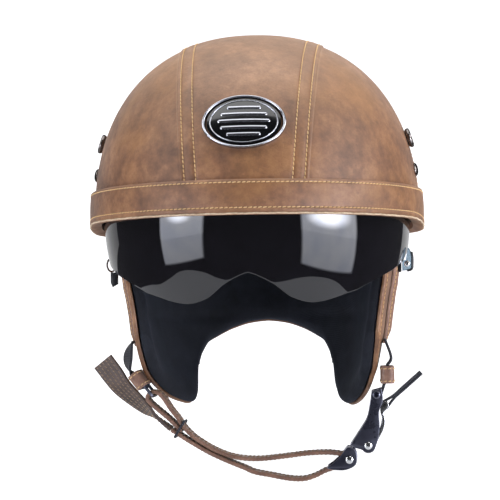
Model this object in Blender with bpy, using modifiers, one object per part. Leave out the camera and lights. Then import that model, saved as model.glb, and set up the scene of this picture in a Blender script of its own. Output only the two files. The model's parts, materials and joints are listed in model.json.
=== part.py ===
"""Open-face motorcycle helmet: a leather-covered half shell with a drop-down smoked visor,
lined ear flaps, a nape curtain, a leather chin strap and a steel quick-release buckle.

Metres, +Z up. The helmet faces -Y and +X is the wearer's left. The origin is the centre of
the head opening in the plane of the rim, where a head carries the helmet.
"""

import math
from typing import NamedTuple

import bmesh
import bpy
from mathutils import Matrix, Vector

OBJECT_NAME = "open_face_helmet"

# Driving dimensions: the dome's plan, and the visor's swing, which sets its front and height
COVER_HALF_WIDTH = 0.1193
COVER_REAR_LENGTH = 0.1430
VISOR_RADIUS = 0.1220
DOME_POWER_SHARE = 2.3
PLAN_POWER_SHARE = 2.15
CLEARANCE = 0.0003
OVERRUN = 0.010

# Layers of the wall, from the leather inwards
COVER_THICKNESS = 0.0015
RAISED_STEP = 0.0008
COVER_TO_SHELL = 0.0009
SHELL_WALL = 0.0026
BAND_THICKNESS = 0.0020
BAND_GAP = 0.0006
BAND_HEIGHT = 0.0215
BAND_DROP = 0.0022
BAND_SIDE_DROP = 0.0050
BAND_FALL_START_Y = -0.0650
BAND_FALL_LENGTH = 0.0850
PANEL_TUCK = 0.0060
HEM_THICKNESS = 0.0018
SEAM_GAP = 0.0009
STRIP_HALF_WIDTH = 0.0428
STRIP_CROWN_HALF_WIDTH = 0.0515
REAR_SEAM_Y = 0.0060

# Visor: a sheet turned about the line through its two ears
VISOR_WALL = 0.0020
VISOR_SIDE_CLEARANCE = 0.0018
VISOR_FRONT_CLEARANCE = 0.0125
VISOR_CROWN_CLEARANCE = 0.0010
VISOR_PIVOT_HEIGHT = 0.0080
EAR_RADIUS = 0.0110
PIVOT_SHANK_RADIUS = 0.0024
PIVOT_HEAD_RADIUS = 0.0044
PIVOT_HEAD_HEIGHT = 0.0013
BRACKET_THICKNESS = 0.0048
BRACKET_HALF_LENGTH = 0.0090
BRACKET_HEIGHT = 0.0165
BRACKET_CORNER = 0.0008
TAB_LENGTH = 0.0200
TAB_THICKNESS = 0.0016
TAB_BLOCK_WIDTH = 0.0042
TAB_SCREW_RADIUS = 0.0022
TAB_SCREW_HEIGHT = 0.0012
STOP_LENGTH = 0.0105

# Liner and padding
POCKET_CLEARANCE = 0.0025
LINER_SHELL_GAP = 0.0006
LINER_SIDE_WALL = 0.0165
LINER_FRONT_WALL = 0.0115
LINER_REAR_WALL = 0.0294
LINER_CROWN_WALL = 0.0075
LINING_THICKNESS = 0.0040
LINING_GAP = 0.0006
BROW_PAD_THICKNESS = 0.0090
BROW_PAD_HEIGHT = 0.0300
BROW_PAD_BASE = 0.0015

# Ear flaps and nape curtain
SKIRT_REAR_LENGTH = 0.1220
FLAP_DROP = 0.1350
NAPE_SPLIT_Y = 0.0680
FLAP_LEATHER = 0.0028
FLAP_LINING = 0.0085
SKIRT_TOP_GAP = 0.0006
PATCH_THICKNESS = 0.0055
PATCH_FRONT_Y = 0.0020
PATCH_LENGTH = 0.0440
PATCH_TOP_DROP = 0.0200
PATCH_HEIGHT = 0.0700

# Chin strap and its fittings
STRAP_WIDTH = 0.0180
STRAP_THICKNESS = 0.0026
STRAP_CENTRE_Y = -0.0100
WEBBING_WIDTH = 0.0170
WEBBING_THICKNESS = 0.0020
LOOP_WALL = 0.0016
LOOP_LENGTH = 0.0125
LOOP_INNER_WIDTH = 0.0262
LOOP_INNER_DEPTH = 0.0057
LEFT_LOOP_INNER_DEPTH = 0.0068
RING_WIRE_RADIUS = 0.0012
RING_HEIGHT = 0.0110
RING_SLACK = 0.0006
KEEPER_WIRE_RADIUS = 0.0010
KEEPER_REACH = 0.0050
KEEPER_SLACK = 0.0005
LAYER_STEP = 0.0036
JOIN_GAP = 0.0007
SEWN_END_LENGTH = 0.0018
SIDE_RING_RADIUS = 0.0055
SIDE_RING_WIRE_RADIUS = 0.0006
LUG_RADIUS = 0.0022
LUG_THICKNESS = 0.0016

# Buckle
BUCKLE_LENGTH = 0.0380
BUCKLE_INNER_WIDTH = 0.0176
BUCKLE_WALL = 0.0018
TONGUE_LENGTH = 0.0190
TONGUE_WALL = 0.0016
BLADE_WIDTH = 0.0156
BLADE_THICKNESS = 0.0024
LEVER_LENGTH = 0.0312
LEVER_WIDTH = 0.0160
RIVET_SHANK_RADIUS = 0.0019
RIVET_HEAD_RADIUS = 0.0028
RIVET_HEAD_HEIGHT = 0.0010
PIN_RADIUS = 0.0015
RIBBON_WIDTH = 0.0110
RIBBON_THICKNESS = 0.0016
RIBBON_LENGTH = 0.0360
SPRING_WIRE_RADIUS = 0.0004
SPRING_COIL_RADIUS = 0.0030

# Badge and the caps on the sides
BADGE_HALF_WIDTH = 0.0285
BADGE_HALF_HEIGHT = 0.0195
BADGE_CENTRE_HEIGHT = 0.0602
BADGE_THICKNESS = 0.0020
BADGE_RIM_WIDTH = 0.0017
BADGE_RIM_STEP = 0.0012
STUD_RADIUS = 0.0072
STUD_HEIGHT = 0.0034
LOWER_STUD_RADIUS = 0.0050
LOWER_STUD_HEIGHT = 0.0024
STUD_Y = -0.0220
UPPER_STUD_Z = 0.0580
LOWER_STUD_Z = 0.0355

# Shares chosen by hand: of the skirt's half width against the depth below the rim
FLAP_DEPTH_SHARES = (0.0, 0.35, 0.48, 0.64, 0.80, 0.91, 1.02)
FLAP_WIDTH_SHARES = {
    "right": (1.0, 0.938, 0.906, 0.878, 0.822, 0.740, 0.645),
    "left": (1.0, 0.935, 0.905, 0.875, 0.833, 0.775, 0.722),
}
SKIRT_LENGTH_SHARES = (1.0, 0.96, 0.93, 0.89, 0.80, 0.72, 0.64)

# Lower edge of the skirt: plan angle from the side in degrees, and share of the drop
FLAP_EDGE_ANGLE_SHARES = (
    -17.0, -12.0, -6.0, 2.0, 12.0, 24.0, 33.0, 39.0, 43.0, 47.0, 51.0, 57.0, 64.0, 71.0, 80.0, 90.0,
)
FLAP_EDGE_DROP_SHARES = {
    "right": (
        0.6, 0.74, 0.84, 0.9, 0.955, 0.99, 1.0, 0.965, 0.905, 0.83, 0.755, 0.675, 0.63, 0.59, 0.555, 0.54,
    ),
    "left": (
        0.6, 0.76, 0.87, 0.93, 0.985, 1.015, 1.0, 0.955, 0.9, 0.83, 0.755, 0.675, 0.63, 0.59, 0.555, 0.54,
    ),
}

# Lower edge of the visor: shares of its half width, and of its radius below the pivot
VISOR_EDGE_WIDTH_SHARES = (0.0, 0.14, 0.265, 0.41, 0.65, 0.77, 0.87, 0.945, 0.99)
VISOR_EDGE_DROP_SHARES = (0.394, 0.451, 0.536, 0.561, 0.496, 0.435, 0.382, 0.323, 0.245)
VISOR_TOP_ANGLE_SHARE = 8.0
LENS_WIDTH_SHARE = 0.999

# Plan angles in degrees, from ahead about the visor's pivot or from the side of the skirt
POCKET_END_SHARES = (62.0, 92.0)
FLAP_LAST_ANGLE_SHARE = 72.0
NAPE_FIRST_ANGLE_SHARE = 24.0

# Powers that round the pad's section and space the rows of the skirt
PAD_LIFT_POWER_SHARE = 0.5
PAD_DEPTH_POWER_SHARE = 0.6
SKIRT_ROW_POWER_SHARE = 0.85

# Sections of the side caps: shares of the radius and of the height
ROLLED_CAP_SHARES = (
    (0, 0.55), (0.45, 0.50), (0.70, 0.42), (0.78, 0.85), (0.90, 1.0), (1.0, 0.75), (0.98, 0.35),
    (0.86, 0), (0, 0),
)
DOMED_CAP_SHARES = ((0, 1.0), (0.45, 0.92), (0.8, 0.65), (1.0, 0.25), (1.0, 0), (0, 0))

# Flap patch: how much of its height is the leather, and how far in from its edges it swells
PATCH_LAYER_SHARE = 0.42
PATCH_EDGE_SHARES = (0.25, 0.17)
STOP_OUTLINE_SHARES = ((-0.25, 0), (-0.25, 0.7), (-0.125, 1.0), (0.25, 0.8), (0.25, 0))

# Finger tab: shares of its length, above the visor's corner or out from it
TAB_PLACE_SHARE = 0.96
TAB_INNER_RISE_SHARES = (-0.02, 0.15, 0.33)
TAB_OUTER_SHARES = (
    (0.14, 0.33), (0.24, 0.10), (0.25, -0.25), (0.20, -0.45), (-0.12, -0.50), (-0.12, -0.11), (0.015, -0.11),
)
TAB_SCREW_SHARES = (0.065, -0.24)
BLOCK_SHARES = ((-0.14, -0.11), (-0.14, -0.53), (-0.24, -0.55), (-0.28, -0.50), (-0.28, -0.15), (-0.24, -0.11))
STOP_PLACE_SHARE = 0.90

# Places on the skirt: shares of its half width and of the drop
RING_PLACE_SHARES = (-0.7450, 0.9390)
KEEPER_PLACE_SHARES = (-0.5605, 1.1204)
BUCKLE_PLACE_SHARES = (0.7590, 1.2160)

# Strap loop round the ring: shares of the way to the keeper, along it and outwards from it
LOOP_OUTER_SHARES = ((0.66, 0.045), (0.34, 0.11), (0.07, 0.16), (-0.045, 0.145), (-0.10, 0.045))
LOOP_INNER_SHARES = ((-0.075, -0.055), (0.03, -0.135), (0.21, -0.155), (0.50, -0.13), (0.77, -0.13))

# Strap runs from the keeper to the tongue's rivet: shares of that way, along it and below it
UPPER_RUN_SHARES = (
    (0.0626, 0.0147), (0.1252, 0.0475), (0.2292, 0.0848), (0.3459, 0.1036), (0.4731, 0.0922),
    (0.6116, 0.0543), (0.7491, 0.0110), (0.8577, -0.0139), (0.9172, -0.0207),
)
LOWER_RUN_SHARES = (
    (0.9430, 0.0535), (0.8766, 0.0877), (0.8195, 0.1290), (0.7602, 0.1578), (0.6817, 0.1706),
    (0.5685, 0.1707), (0.4700, 0.1690), (0.4106, 0.1553), (0.3316, 0.1389), (0.2547, 0.1207),
    (0.1698, 0.0964), (0.0951, 0.0694), (0.0387, 0.0478),
)

# Strap's free tail: shares of the drop, out from and above its start
TAIL_SHARES = ((-0.090, 0.0715), (-0.144, 0.116), (-0.262, 0.222), (-0.320, 0.298), (-0.375, 0.372))
TAIL_TWIST_SHARE = 68.0

# Buckle receiver: shares of its length about the lever's rivet
RECEIVER_INNER_SHARES = ((-0.345, 0.016), (-0.124, 0.347), (-0.016, 0.532), (0.045, 0.808), (0.080, 1.040))
RECEIVER_OUTER_SHARES = ((0.270, 1.090), (0.290, 0.870), (0.215, 0.640), (0.222, 0.374), (0.187, 0.111))
RECEIVER_MOUTH_SHARES = ((-0.121, -0.079), (-0.226, -0.047))
HANGER_PLACE_SHARES = (0.171, 0.966)

# Release lever: shares of its length about its rivet
LEVER_PIN_SHARES = (0.391, 0.920)
LEVER_OUTER_SHARES = ((0.221, 0.103), (0.365, 0.375), (0.407, 0.599), (0.365, 0.744), (0.446, 0.836))
LEVER_TIP_SHARES = ((0.490, 0.940), (0.413, 1.026), (0.315, 0.974))
LEVER_INNER_SHARES = ((0.292, 0.776), (0.327, 0.615), (0.279, 0.391), (0.131, 0.173))

# Tongue: shares of its length about its rivet, and the rivet's place about the lever's rivet
TONGUE_PLACE_SHARES = (-0.3632, -0.2632)
TONGUE_OUTLINE_SHARES = (
    (-0.384, 0.089), (-0.121, 0.432), (0.011, 0.474), (0.221, 0.358), (0.290, 0.037),
    (0.184, -0.240), (-0.253, -0.400), (-0.847, -0.316), (-0.595, -0.105),
)
TONGUE_HOLLOW_SHARES = (
    (-1.437, -1.358), (-1.437, 0.747), (-0.205, 0.747), (-0.205, 0.305), (0.400, 0.305), (0.400, -1.358),
)
BLADE_SHARES = ((0.105, 0.321), (0.458, 0.847))
RIBBON_LEAN_SHARE = 41.0
WEBBING_ANGLE_SHARE = -4.0
WEBBING_TOP_SHARE = 0.64
BULGE_SHARES = (0.045, 0.045)
RING_TURN_SHARE = 57.0

SIDES = {"right": -1, "left": 1}

# Worked out from the sizes above
SHELL_OFFSET = -(COVER_THICKNESS + COVER_TO_SHELL)
SHELL_INNER_OFFSET = SHELL_OFFSET - SHELL_WALL
BAND_OFFSET = RAISED_STEP + BAND_GAP + BAND_THICKNESS
PANEL_BASE = BAND_HEIGHT - PANEL_TUCK
COVER_FRONT_LENGTH = VISOR_RADIUS + VISOR_FRONT_CLEARANCE - SHELL_INNER_OFFSET
COVER_HEIGHT = VISOR_RADIUS + VISOR_PIVOT_HEIGHT + VISOR_CROWN_CLEARANCE - SHELL_INNER_OFFSET
VISOR_HALF_WIDTH = COVER_HALF_WIDTH + SHELL_INNER_OFFSET - VISOR_SIDE_CLEARANCE
EAR_INNER_X = VISOR_HALF_WIDTH - VISOR_WALL
BRACKET_OUTER_X = EAR_INNER_X - 3 * CLEARANCE
POCKET_HALF_WIDTH = BRACKET_OUTER_X - BRACKET_THICKNESS - CLEARANCE
POCKET_RADIUS = VISOR_RADIUS - VISOR_WALL - POCKET_CLEARANCE
POCKET_HEIGHT = VISOR_RADIUS - POCKET_CLEARANCE
LINER_REAR_LENGTH = COVER_REAR_LENGTH + SHELL_INNER_OFFSET - LINER_SHELL_GAP
SKIRT_HALF_WIDTH = POCKET_HALF_WIDTH - CLEARANCE
LINING_INSET = 1.35 * FLAP_LEATHER + CLEARANCE
PIVOT_HOLE_RADIUS = PIVOT_SHANK_RADIUS + CLEARANCE + CLEARANCE


class Dome(NamedTuple):
    """Half sizes of a rounded dome over the rim plane."""

    half_width: float
    front: float
    rear: float
    height: float

    def grown(self, offset):
        return Dome(*(size + offset for size in self))

    def scale(self, direction):
        length = self.front if direction.y < 0 else self.rear
        plan = (
            abs(direction.x / self.half_width) ** PLAN_POWER_SHARE
            + abs(direction.y / length) ** PLAN_POWER_SHARE
        )
        total = plan ** (DOME_POWER_SHARE / PLAN_POWER_SHARE)
        total += abs(direction.z / self.height) ** DOME_POWER_SHARE
        return total ** (-1 / DOME_POWER_SHARE)

    def on(self, direction):
        """The point of the dome in this direction from the origin."""
        return direction * self.scale(direction)

    def at_height(self, angle, z):
        """The point at this height and plan angle, where 0 is +X and 90 degrees is +Y."""
        flat = self.on(Vector((math.cos(angle), math.sin(angle), 0)))
        shrink = (1 - min(abs(z / self.height), 1) ** DOME_POWER_SHARE) ** (1 / DOME_POWER_SHARE)
        return Vector((flat.x * shrink, flat.y * shrink, z))

    def front_at(self, x, z):
        """The point in front of (x, z)."""
        rest = max(1 - abs(z / self.height) ** DOME_POWER_SHARE, 0)
        plan = rest ** (PLAN_POWER_SHARE / DOME_POWER_SHARE) - abs(x / self.half_width) ** PLAN_POWER_SHARE
        return Vector((x, -self.front * max(plan, 0) ** (1 / PLAN_POWER_SHARE), z))

    def side_at(self, side, y, z):
        """The point beside (y, z)."""
        length = self.front if y < 0 else self.rear
        rest = max(1 - abs(z / self.height) ** DOME_POWER_SHARE, 0)
        plan = rest ** (PLAN_POWER_SHARE / DOME_POWER_SHARE) - abs(y / length) ** PLAN_POWER_SHARE
        return Vector((side * self.half_width * max(plan, 0) ** (1 / PLAN_POWER_SHARE), y, z))

    def normal(self, point):
        """Outward normal, from how the point's scale changes about it."""
        step = self.height / 1000
        base = 1 / self.scale(point)
        slope = []
        for axis in range(3):
            moved = point.copy()
            moved[axis] += step
            slope.append(1 / self.scale(moved) - base)
        return Vector(slope).normalized()


COVER = Dome(COVER_HALF_WIDTH, COVER_FRONT_LENGTH, COVER_REAR_LENGTH, COVER_HEIGHT)
LINER_INNER = Dome(
    POCKET_HALF_WIDTH - LINER_SIDE_WALL,
    POCKET_RADIUS - LINER_FRONT_WALL,
    LINER_REAR_LENGTH - LINER_REAR_WALL,
    POCKET_HEIGHT - LINER_CROWN_WALL,
)
POCKET = Dome(POCKET_HALF_WIDTH, POCKET_RADIUS, LINER_REAR_LENGTH + LINER_SHELL_GAP, POCKET_HEIGHT)


# Materials: colour, roughness, metallic
FINISHES = {
    "leather": ((0.33, 0.18, 0.11, 1), 0.55, 0.0),
    "strap_leather": ((0.38, 0.22, 0.14, 1), 0.55, 0.0),
    "lining": ((0.012, 0.013, 0.018, 1), 0.9, 0.0),
    "shell_plastic": ((0.02, 0.02, 0.022, 1), 0.4, 0.0),
    "foam": ((0.05, 0.05, 0.05, 1), 0.8, 0.0),
    "smoked_lens": ((0.02, 0.02, 0.03, 0.6), 0.05, 0.0),
    "clear_tab": ((0.35, 0.42, 0.5, 0.6), 0.1, 0.0),
    "black_plastic": ((0.015, 0.015, 0.02, 1), 0.35, 0.0),
    "black_steel": ((0.02, 0.02, 0.035, 1), 0.3, 0.6),
    "bright_steel": ((0.7, 0.7, 0.72, 1), 0.15, 1.0),
    "gunmetal": ((0.1, 0.09, 0.09, 1), 0.25, 1.0),
    "webbing": ((0.02, 0.02, 0.03, 1), 0.85, 0.0),
    "enamel": ((0.01, 0.01, 0.012, 1), 0.2, 0.0),
}


def start_scene():
    for obj in list(bpy.data.objects):
        bpy.data.objects.remove(obj, do_unlink=True)
    parts = bpy.data.collections.new(OBJECT_NAME)
    cutters = bpy.data.collections.new("cutters")
    for collection in (parts, cutters):
        bpy.context.scene.collection.children.link(collection)
    return parts, cutters


PARTS, CUTTERS = start_scene()


def finish_material(name):
    material = bpy.data.materials.get(name)
    if material is None:
        colour, roughness, metallic = FINISHES[name]
        material = bpy.data.materials.new(name)
        material.use_nodes = True
        shader = material.node_tree.nodes["Principled BSDF"]
        shader.inputs["Base Color"].default_value = colour[:3] + (1,)
        shader.inputs["Roughness"].default_value = roughness
        shader.inputs["Metallic"].default_value = metallic
        shader.inputs["Alpha"].default_value = colour[3]
    return material


def add_part(name, data, finish, cutter=False):
    """Puts a mesh or curve in the scene under its own name."""
    obj = bpy.data.objects.new(name, data)
    (CUTTERS if cutter else PARTS).objects.link(obj)
    if cutter:
        obj.hide_render = True
        obj.display_type = "WIRE"
    else:
        data.materials.append(finish_material(finish))
    return obj


def mesh_from(name, bm, smooth_angle=40):
    mesh = bpy.data.meshes.new(name)
    bm.to_mesh(mesh)
    bm.free()
    mesh.shade_smooth()
    mesh.set_sharp_from_angle(angle=math.radians(smooth_angle))
    return mesh


def sheet_mesh(name, columns, rows, place, joined=False, outward=None):
    """An open surface: a flat grid whose points go to place(u, v), with u and v from 0 to 1.

    outward(centre of a face) gives a direction that the faces have to point along.
    """
    bm = bmesh.new()
    bmesh.ops.create_grid(bm, x_segments=columns, y_segments=rows, size=0.5)
    for vert in bm.verts:
        vert.co = place(vert.co.x + 0.5, vert.co.y + 0.5)
    if joined:
        bmesh.ops.remove_doubles(bm, verts=bm.verts, dist=CLEARANCE / 10)
    bm.normal_update()
    face = max(bm.faces, key=lambda item: item.calc_area())
    if outward is not None and face.normal.dot(outward(face.calc_center_median())) < 0:
        bmesh.ops.reverse_faces(bm, faces=bm.faces)
    return mesh_from(name, bm)


def add_shell(name, mesh, finish, thickness, cutter=False, offset=-1.0):
    """An open surface given its wall, inwards from the surface unless offset says otherwise."""
    obj = add_part(name, mesh, finish, cutter)
    wall = obj.modifiers.new("wall", "SOLIDIFY")
    wall.thickness = thickness
    wall.offset = offset
    return obj


def dome_mesh(name, radial, segments=28, rings=16, closed=False, floor=0.0):
    """The upper half of a UV sphere carried to radial(direction), cut flat at the floor."""
    bm = bmesh.new()
    bmesh.ops.create_uvsphere(bm, u_segments=segments, v_segments=rings, radius=1)
    low = [vert for vert in bm.verts if vert.co.z < -1 / 1000]
    bmesh.ops.delete(bm, geom=low, context="VERTS")
    for vert in bm.verts:
        vert.co = radial(vert.co.normalized())
    if floor > 0:
        bmesh.ops.bisect_plane(
            bm,
            geom=bm.verts[:] + bm.edges[:] + bm.faces[:],
            dist=CLEARANCE / 100,
            plane_co=(0, 0, floor),
            plane_no=(0, 0, -1),
            clear_outer=True,
        )
    if closed:
        edge = [item for item in bm.edges if item.is_boundary]
        bmesh.ops.contextual_create(bm, geom=edge)
        bmesh.ops.recalc_face_normals(bm, faces=bm.faces)
    return mesh_from(name, bm)


def profile_mesh(name, profile):
    """The profile of a turned shape: points (radius, height) from the top to the bottom."""
    bm = bmesh.new()
    verts = [bm.verts.new((radius, 0, height)) for radius, height in profile]
    for one, two in zip(verts, verts[1:]):
        bm.edges.new((one, two))
    mesh = bpy.data.meshes.new(name)
    bm.to_mesh(mesh)
    bm.free()
    return mesh


def add_turned(name, profile, finish, matrix, steps=20, cutter=False):
    obj = add_part(name, profile_mesh(name, profile), finish, cutter)
    obj.matrix_world = matrix
    turn = obj.modifiers.new("turn", "SCREW")
    turn.axis = "Z"
    turn.angle = math.tau
    turn.steps = steps
    turn.render_steps = steps
    turn.use_merge_vertices = True
    turn.merge_threshold = CLEARANCE / 10
    turn.use_smooth_shade = True
    return obj


def along(point, direction):
    """A frame at the point whose Z runs along the direction."""
    turn = Vector(direction).to_track_quat("Z", "Y").to_matrix().to_4x4()
    return Matrix.Translation(point) @ turn


def cylinder_profile(radius, low, high):
    return ((0, high), (radius, high), (radius, low), (0, low))


def realised(obj):
    """The object as a mesh of its own, with its modifiers applied and its ends welded."""
    graph = bpy.context.evaluated_depsgraph_get()
    mesh = bpy.data.meshes.new_from_object(obj.evaluated_get(graph))
    bm = bmesh.new()
    bm.from_mesh(mesh)
    bmesh.ops.remove_doubles(bm, verts=bm.verts, dist=CLEARANCE / 100)
    bmesh.ops.recalc_face_normals(bm, faces=bm.faces)
    bm.to_mesh(mesh)
    bm.free()
    mesh.materials.clear()
    for material in obj.data.materials:
        mesh.materials.append(material)
    name = obj.name
    cutter = obj.name in CUTTERS.objects
    matrix = obj.matrix_world.copy()
    bpy.data.objects.remove(obj, do_unlink=True)
    new = bpy.data.objects.new(name, mesh)
    (CUTTERS if cutter else PARTS).objects.link(new)
    if cutter:
        new.hide_render = True
        new.display_type = "WIRE"
    new.matrix_world = matrix
    mesh.shade_smooth()
    mesh.set_sharp_from_angle(angle=math.radians(40))
    return new


def add_plate(name, outline, finish, centre_y, width, cutter=False):
    """A flat outline in X and Z, filled and extruded along Y, as a mesh."""
    curve = bpy.data.curves.new(name, "CURVE")
    curve.dimensions = "2D"
    curve.fill_mode = "BOTH"
    curve.extrude = width / 2
    spline = curve.splines.new("POLY")
    spline.points.add(len(outline) - 1)
    for point, (x, z) in zip(spline.points, outline):
        point.co = (x, z, 0, 1)
    spline.use_cyclic_u = True
    obj = add_part(name, curve, finish, cutter)
    obj.matrix_world = Matrix.Translation((0, centre_y, 0)) @ Matrix.Rotation(math.radians(90), 4, "X")
    bpy.context.view_layer.update()
    return realised(obj)


def add_wire(name, points, radius, finish, closed=False, sides=2):
    """A round wire or tube along the points, with filled ends."""
    curve = bpy.data.curves.new(name, "CURVE")
    curve.dimensions = "3D"
    curve.bevel_depth = radius
    curve.bevel_resolution = sides
    curve.use_fill_caps = not closed
    spline = curve.splines.new("POLY")
    spline.points.add(len(points) - 1)
    for point, co in zip(spline.points, points):
        point.co = (*co, 1)
    spline.use_cyclic_u = closed
    obj = add_part(name, curve, finish)
    bpy.context.view_layer.update()
    return realised(obj)


def boolean(obj, cutter, operation):
    step = obj.modifiers.new(operation.lower(), "BOOLEAN")
    step.operation = operation
    step.object = cutter
    step.solver = "EXACT"
    return obj


def box_cutter(name, low, high):
    bm = bmesh.new()
    bmesh.ops.create_cube(bm, size=1)
    for vert in bm.verts:
        vert.co = [low[i] if vert.co[i] < 0 else high[i] for i in range(3)]
    mesh = bpy.data.meshes.new(name)
    bm.to_mesh(mesh)
    bm.free()
    return add_part(name, mesh, "", cutter=True)


def smooth_path(points, each):
    """Points on one smooth curve through the given points (Catmull-Rom), each per stretch."""
    points = [Vector(point) for point in points]
    ends = [2 * points[0] - points[1]] + points + [2 * points[-1] - points[-2]]
    path = []
    for one, two, three, four in zip(ends, ends[1:], ends[2:], ends[3:]):
        for step in range(each):
            t = step / each
            path.append(
                0.5
                * (
                    2 * two
                    + (three - one) * t
                    + (2 * one - 5 * two + 4 * three - four) * t**2
                    + (3 * two - one - 3 * three + four) * t**3
                )
            )
    path.append(points[-1])
    return path


def arc(centre, radius, first, last, steps):
    """Points of an arc in X and Z, with angles in degrees from +X towards +Z."""
    angles = [math.radians(first + (last - first) * step / steps) for step in range(steps + 1)]
    return [
        (centre[0] + radius * math.cos(angle), centre[1] + radius * math.sin(angle)) for angle in angles
    ]


def add_ribbon(name, path, width, thickness, finish, turn=lambda share: 0.0, across=1):
    """A flat band along a path in the plane of X and Z; turn(share) rolls its width off Y."""
    path = [Vector(point) for point in path]
    last = len(path) - 1

    def place(u, v):
        index = round(u * last)
        ahead = path[min(index + 1, last)]
        behind = path[max(index - 1, 0)]
        run = (ahead - behind).normalized()
        side = Matrix.Rotation(turn(index / last), 3, run) @ Vector((0, 1, 0))
        return path[index] + side * (v - 0.5) * width

    mesh = sheet_mesh(name, last, across, place)
    return add_shell(name, mesh, finish, thickness, offset=0.0)


def from_table(value, places, values):
    """Smooth value between the table's places, with the end values beyond them."""
    if value <= places[0]:
        return values[0]
    for index in range(1, len(places)):
        if value <= places[index]:
            low, high = index - 1, index
            t = (value - places[low]) / (places[high] - places[low])
            before = values[max(low - 1, 0)]
            after = values[min(high + 1, len(values) - 1)]
            return 0.5 * (
                2 * values[low]
                + (values[high] - before) * t
                + (2 * before - 5 * values[low] + 4 * values[high] - after) * t**2
                + (3 * values[low] - before - 3 * values[high] + after) * t**3
            )
    return values[-1]


def smoothstep(value):
    value = min(max(value, 0), 1)
    return value * value * (3 - 2 * value)


# Shell, liner and padding
def add_outer_shell():
    dome = COVER.grown(SHELL_OFFSET)
    mesh = dome_mesh("outer_shell", dome.on)
    add_shell("outer_shell", mesh, "shell_plastic", SHELL_WALL)


def liner_outer(direction):
    """The liner's outside: close under the shell, but drawn in where the visor swings."""
    full = COVER.grown(SHELL_INNER_OFFSET - LINER_SHELL_GAP).on(direction)
    pocket = POCKET.on(direction)
    pocket_start, pocket_end = (math.radians(degrees) for degrees in POCKET_END_SHARES)
    swing = math.atan2(full.z - VISOR_PIVOT_HEIGHT, -full.y)
    behind = smoothstep((abs(swing) - pocket_start) / (pocket_end - pocket_start))
    reach = math.hypot(pocket.y, pocket.z - VISOR_PIVOT_HEIGHT)
    bracket_reach = math.hypot(BRACKET_HALF_LENGTH, BRACKET_HEIGHT)
    clear = smoothstep((reach - bracket_reach) / (EAR_RADIUS + BRACKET_HEIGHT))
    return pocket.lerp(full, behind * clear)


def add_liner():
    obj = add_part("eps_liner", dome_mesh("eps_liner", liner_outer, closed=True), "foam")
    inner = dome_mesh("liner_cavity", LINER_INNER.on)
    bm = bmesh.new()
    bm.from_mesh(inner)
    edge = [item for item in bm.edges if item.is_boundary]
    below = bmesh.ops.extrude_edge_only(bm, edges=edge)
    moved = [item for item in below["geom"] if isinstance(item, bmesh.types.BMVert)]
    bmesh.ops.translate(bm, verts=moved, vec=(0, 0, -OVERRUN))
    bmesh.ops.contextual_create(bm, geom=[item for item in bm.edges if item.is_boundary])
    bmesh.ops.recalc_face_normals(bm, faces=bm.faces)
    cavity = add_part("liner_cavity", mesh_from("liner_cavity", bm), "", cutter=True)
    boolean(obj, cavity, "DIFFERENCE")


def add_crown_lining():
    dome = LINER_INNER.grown(-LINING_GAP)
    floor = BROW_PAD_BASE + BROW_PAD_HEIGHT + LINING_GAP + LINING_THICKNESS / 4
    mesh = dome_mesh("crown_lining", dome.on, floor=floor)
    add_shell("crown_lining", mesh, "lining", LINING_THICKNESS)


def add_brow_pad():
    """A ring of padding round the head opening: rounded section, crowned on the head's side."""
    dome = LINER_INNER.grown(-LINING_GAP)
    middle = BROW_PAD_BASE + BROW_PAD_HEIGHT / 2

    def place(u, v):
        turn = math.tau * v
        sine, cosine = math.sin(turn), math.cos(turn)
        lift = math.copysign(abs(sine) ** PAD_LIFT_POWER_SHARE, sine) * BROW_PAD_HEIGHT / 2
        depth = (1 - math.copysign(abs(cosine) ** PAD_DEPTH_POWER_SHARE, cosine)) * BROW_PAD_THICKNESS / 2
        return dome.grown(-depth).at_height(math.tau * u, middle + lift)

    bm = bmesh.new()
    bmesh.ops.create_grid(bm, x_segments=28, y_segments=8, size=0.5)
    for vert in bm.verts:
        vert.co = place(vert.co.x + 0.5, vert.co.y + 0.5)
    bmesh.ops.remove_doubles(bm, verts=bm.verts, dist=CLEARANCE / 10)
    bmesh.ops.recalc_face_normals(bm, faces=bm.faces)
    add_part("brow_pad", mesh_from("brow_pad", bm), "lining")


# Leather cover
def strip_half_width(share):
    """Half width of the centre strip, from the brow (0) over the crown (half way) to the back."""
    return STRIP_HALF_WIDTH + (STRIP_CROWN_HALF_WIDTH - STRIP_HALF_WIDTH) * math.sin(math.pi * share)


def arc_point(dome, share, x):
    """A point of the dome at this x, from the brow (share 0) over the crown to the back (1)."""
    low_front = dome.front_at(x, PANEL_BASE)
    first = math.atan2(low_front.z, -low_front.y)
    last = math.pi - first * dome.front / dome.rear
    turn = first + (last - first) * share
    direction = Vector((0, -math.cos(turn), math.sin(turn)))
    for _ in range(6):
        scale = dome.scale(direction)
        direction.x = x / scale
    point = dome.on(direction)
    return Vector((x, point.y, max(point.z, PANEL_BASE)))


def add_centre_strip():
    dome = COVER.grown(RAISED_STEP)

    def place(u, v):
        half = strip_half_width(u)
        return arc_point(dome, u, (2 * v - 1) * half)

    mesh = sheet_mesh("cover_centre_strip", 24, 5, place, outward=lambda centre: centre)
    add_shell("cover_centre_strip", mesh, "leather", COVER_THICKNESS + RAISED_STEP)


def edge_pair(dome, side, share):
    """The panel's two edges at this share of the way from brow to back."""
    upper = arc_point(dome, share, strip_half_width(share) + SEAM_GAP)
    front = arc_point(dome, 0, strip_half_width(0) + SEAM_GAP)
    back = arc_point(dome, 1, strip_half_width(1) + SEAM_GAP)
    first = math.atan2(front.y, front.x)
    last = math.atan2(back.y, back.x)
    angle = first + (last - first) * share
    lower = dome.at_height(angle, PANEL_BASE)
    return (
        Vector((side * upper.x, upper.y, upper.z)),
        Vector((side * lower.x, lower.y, lower.z)),
    )


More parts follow.
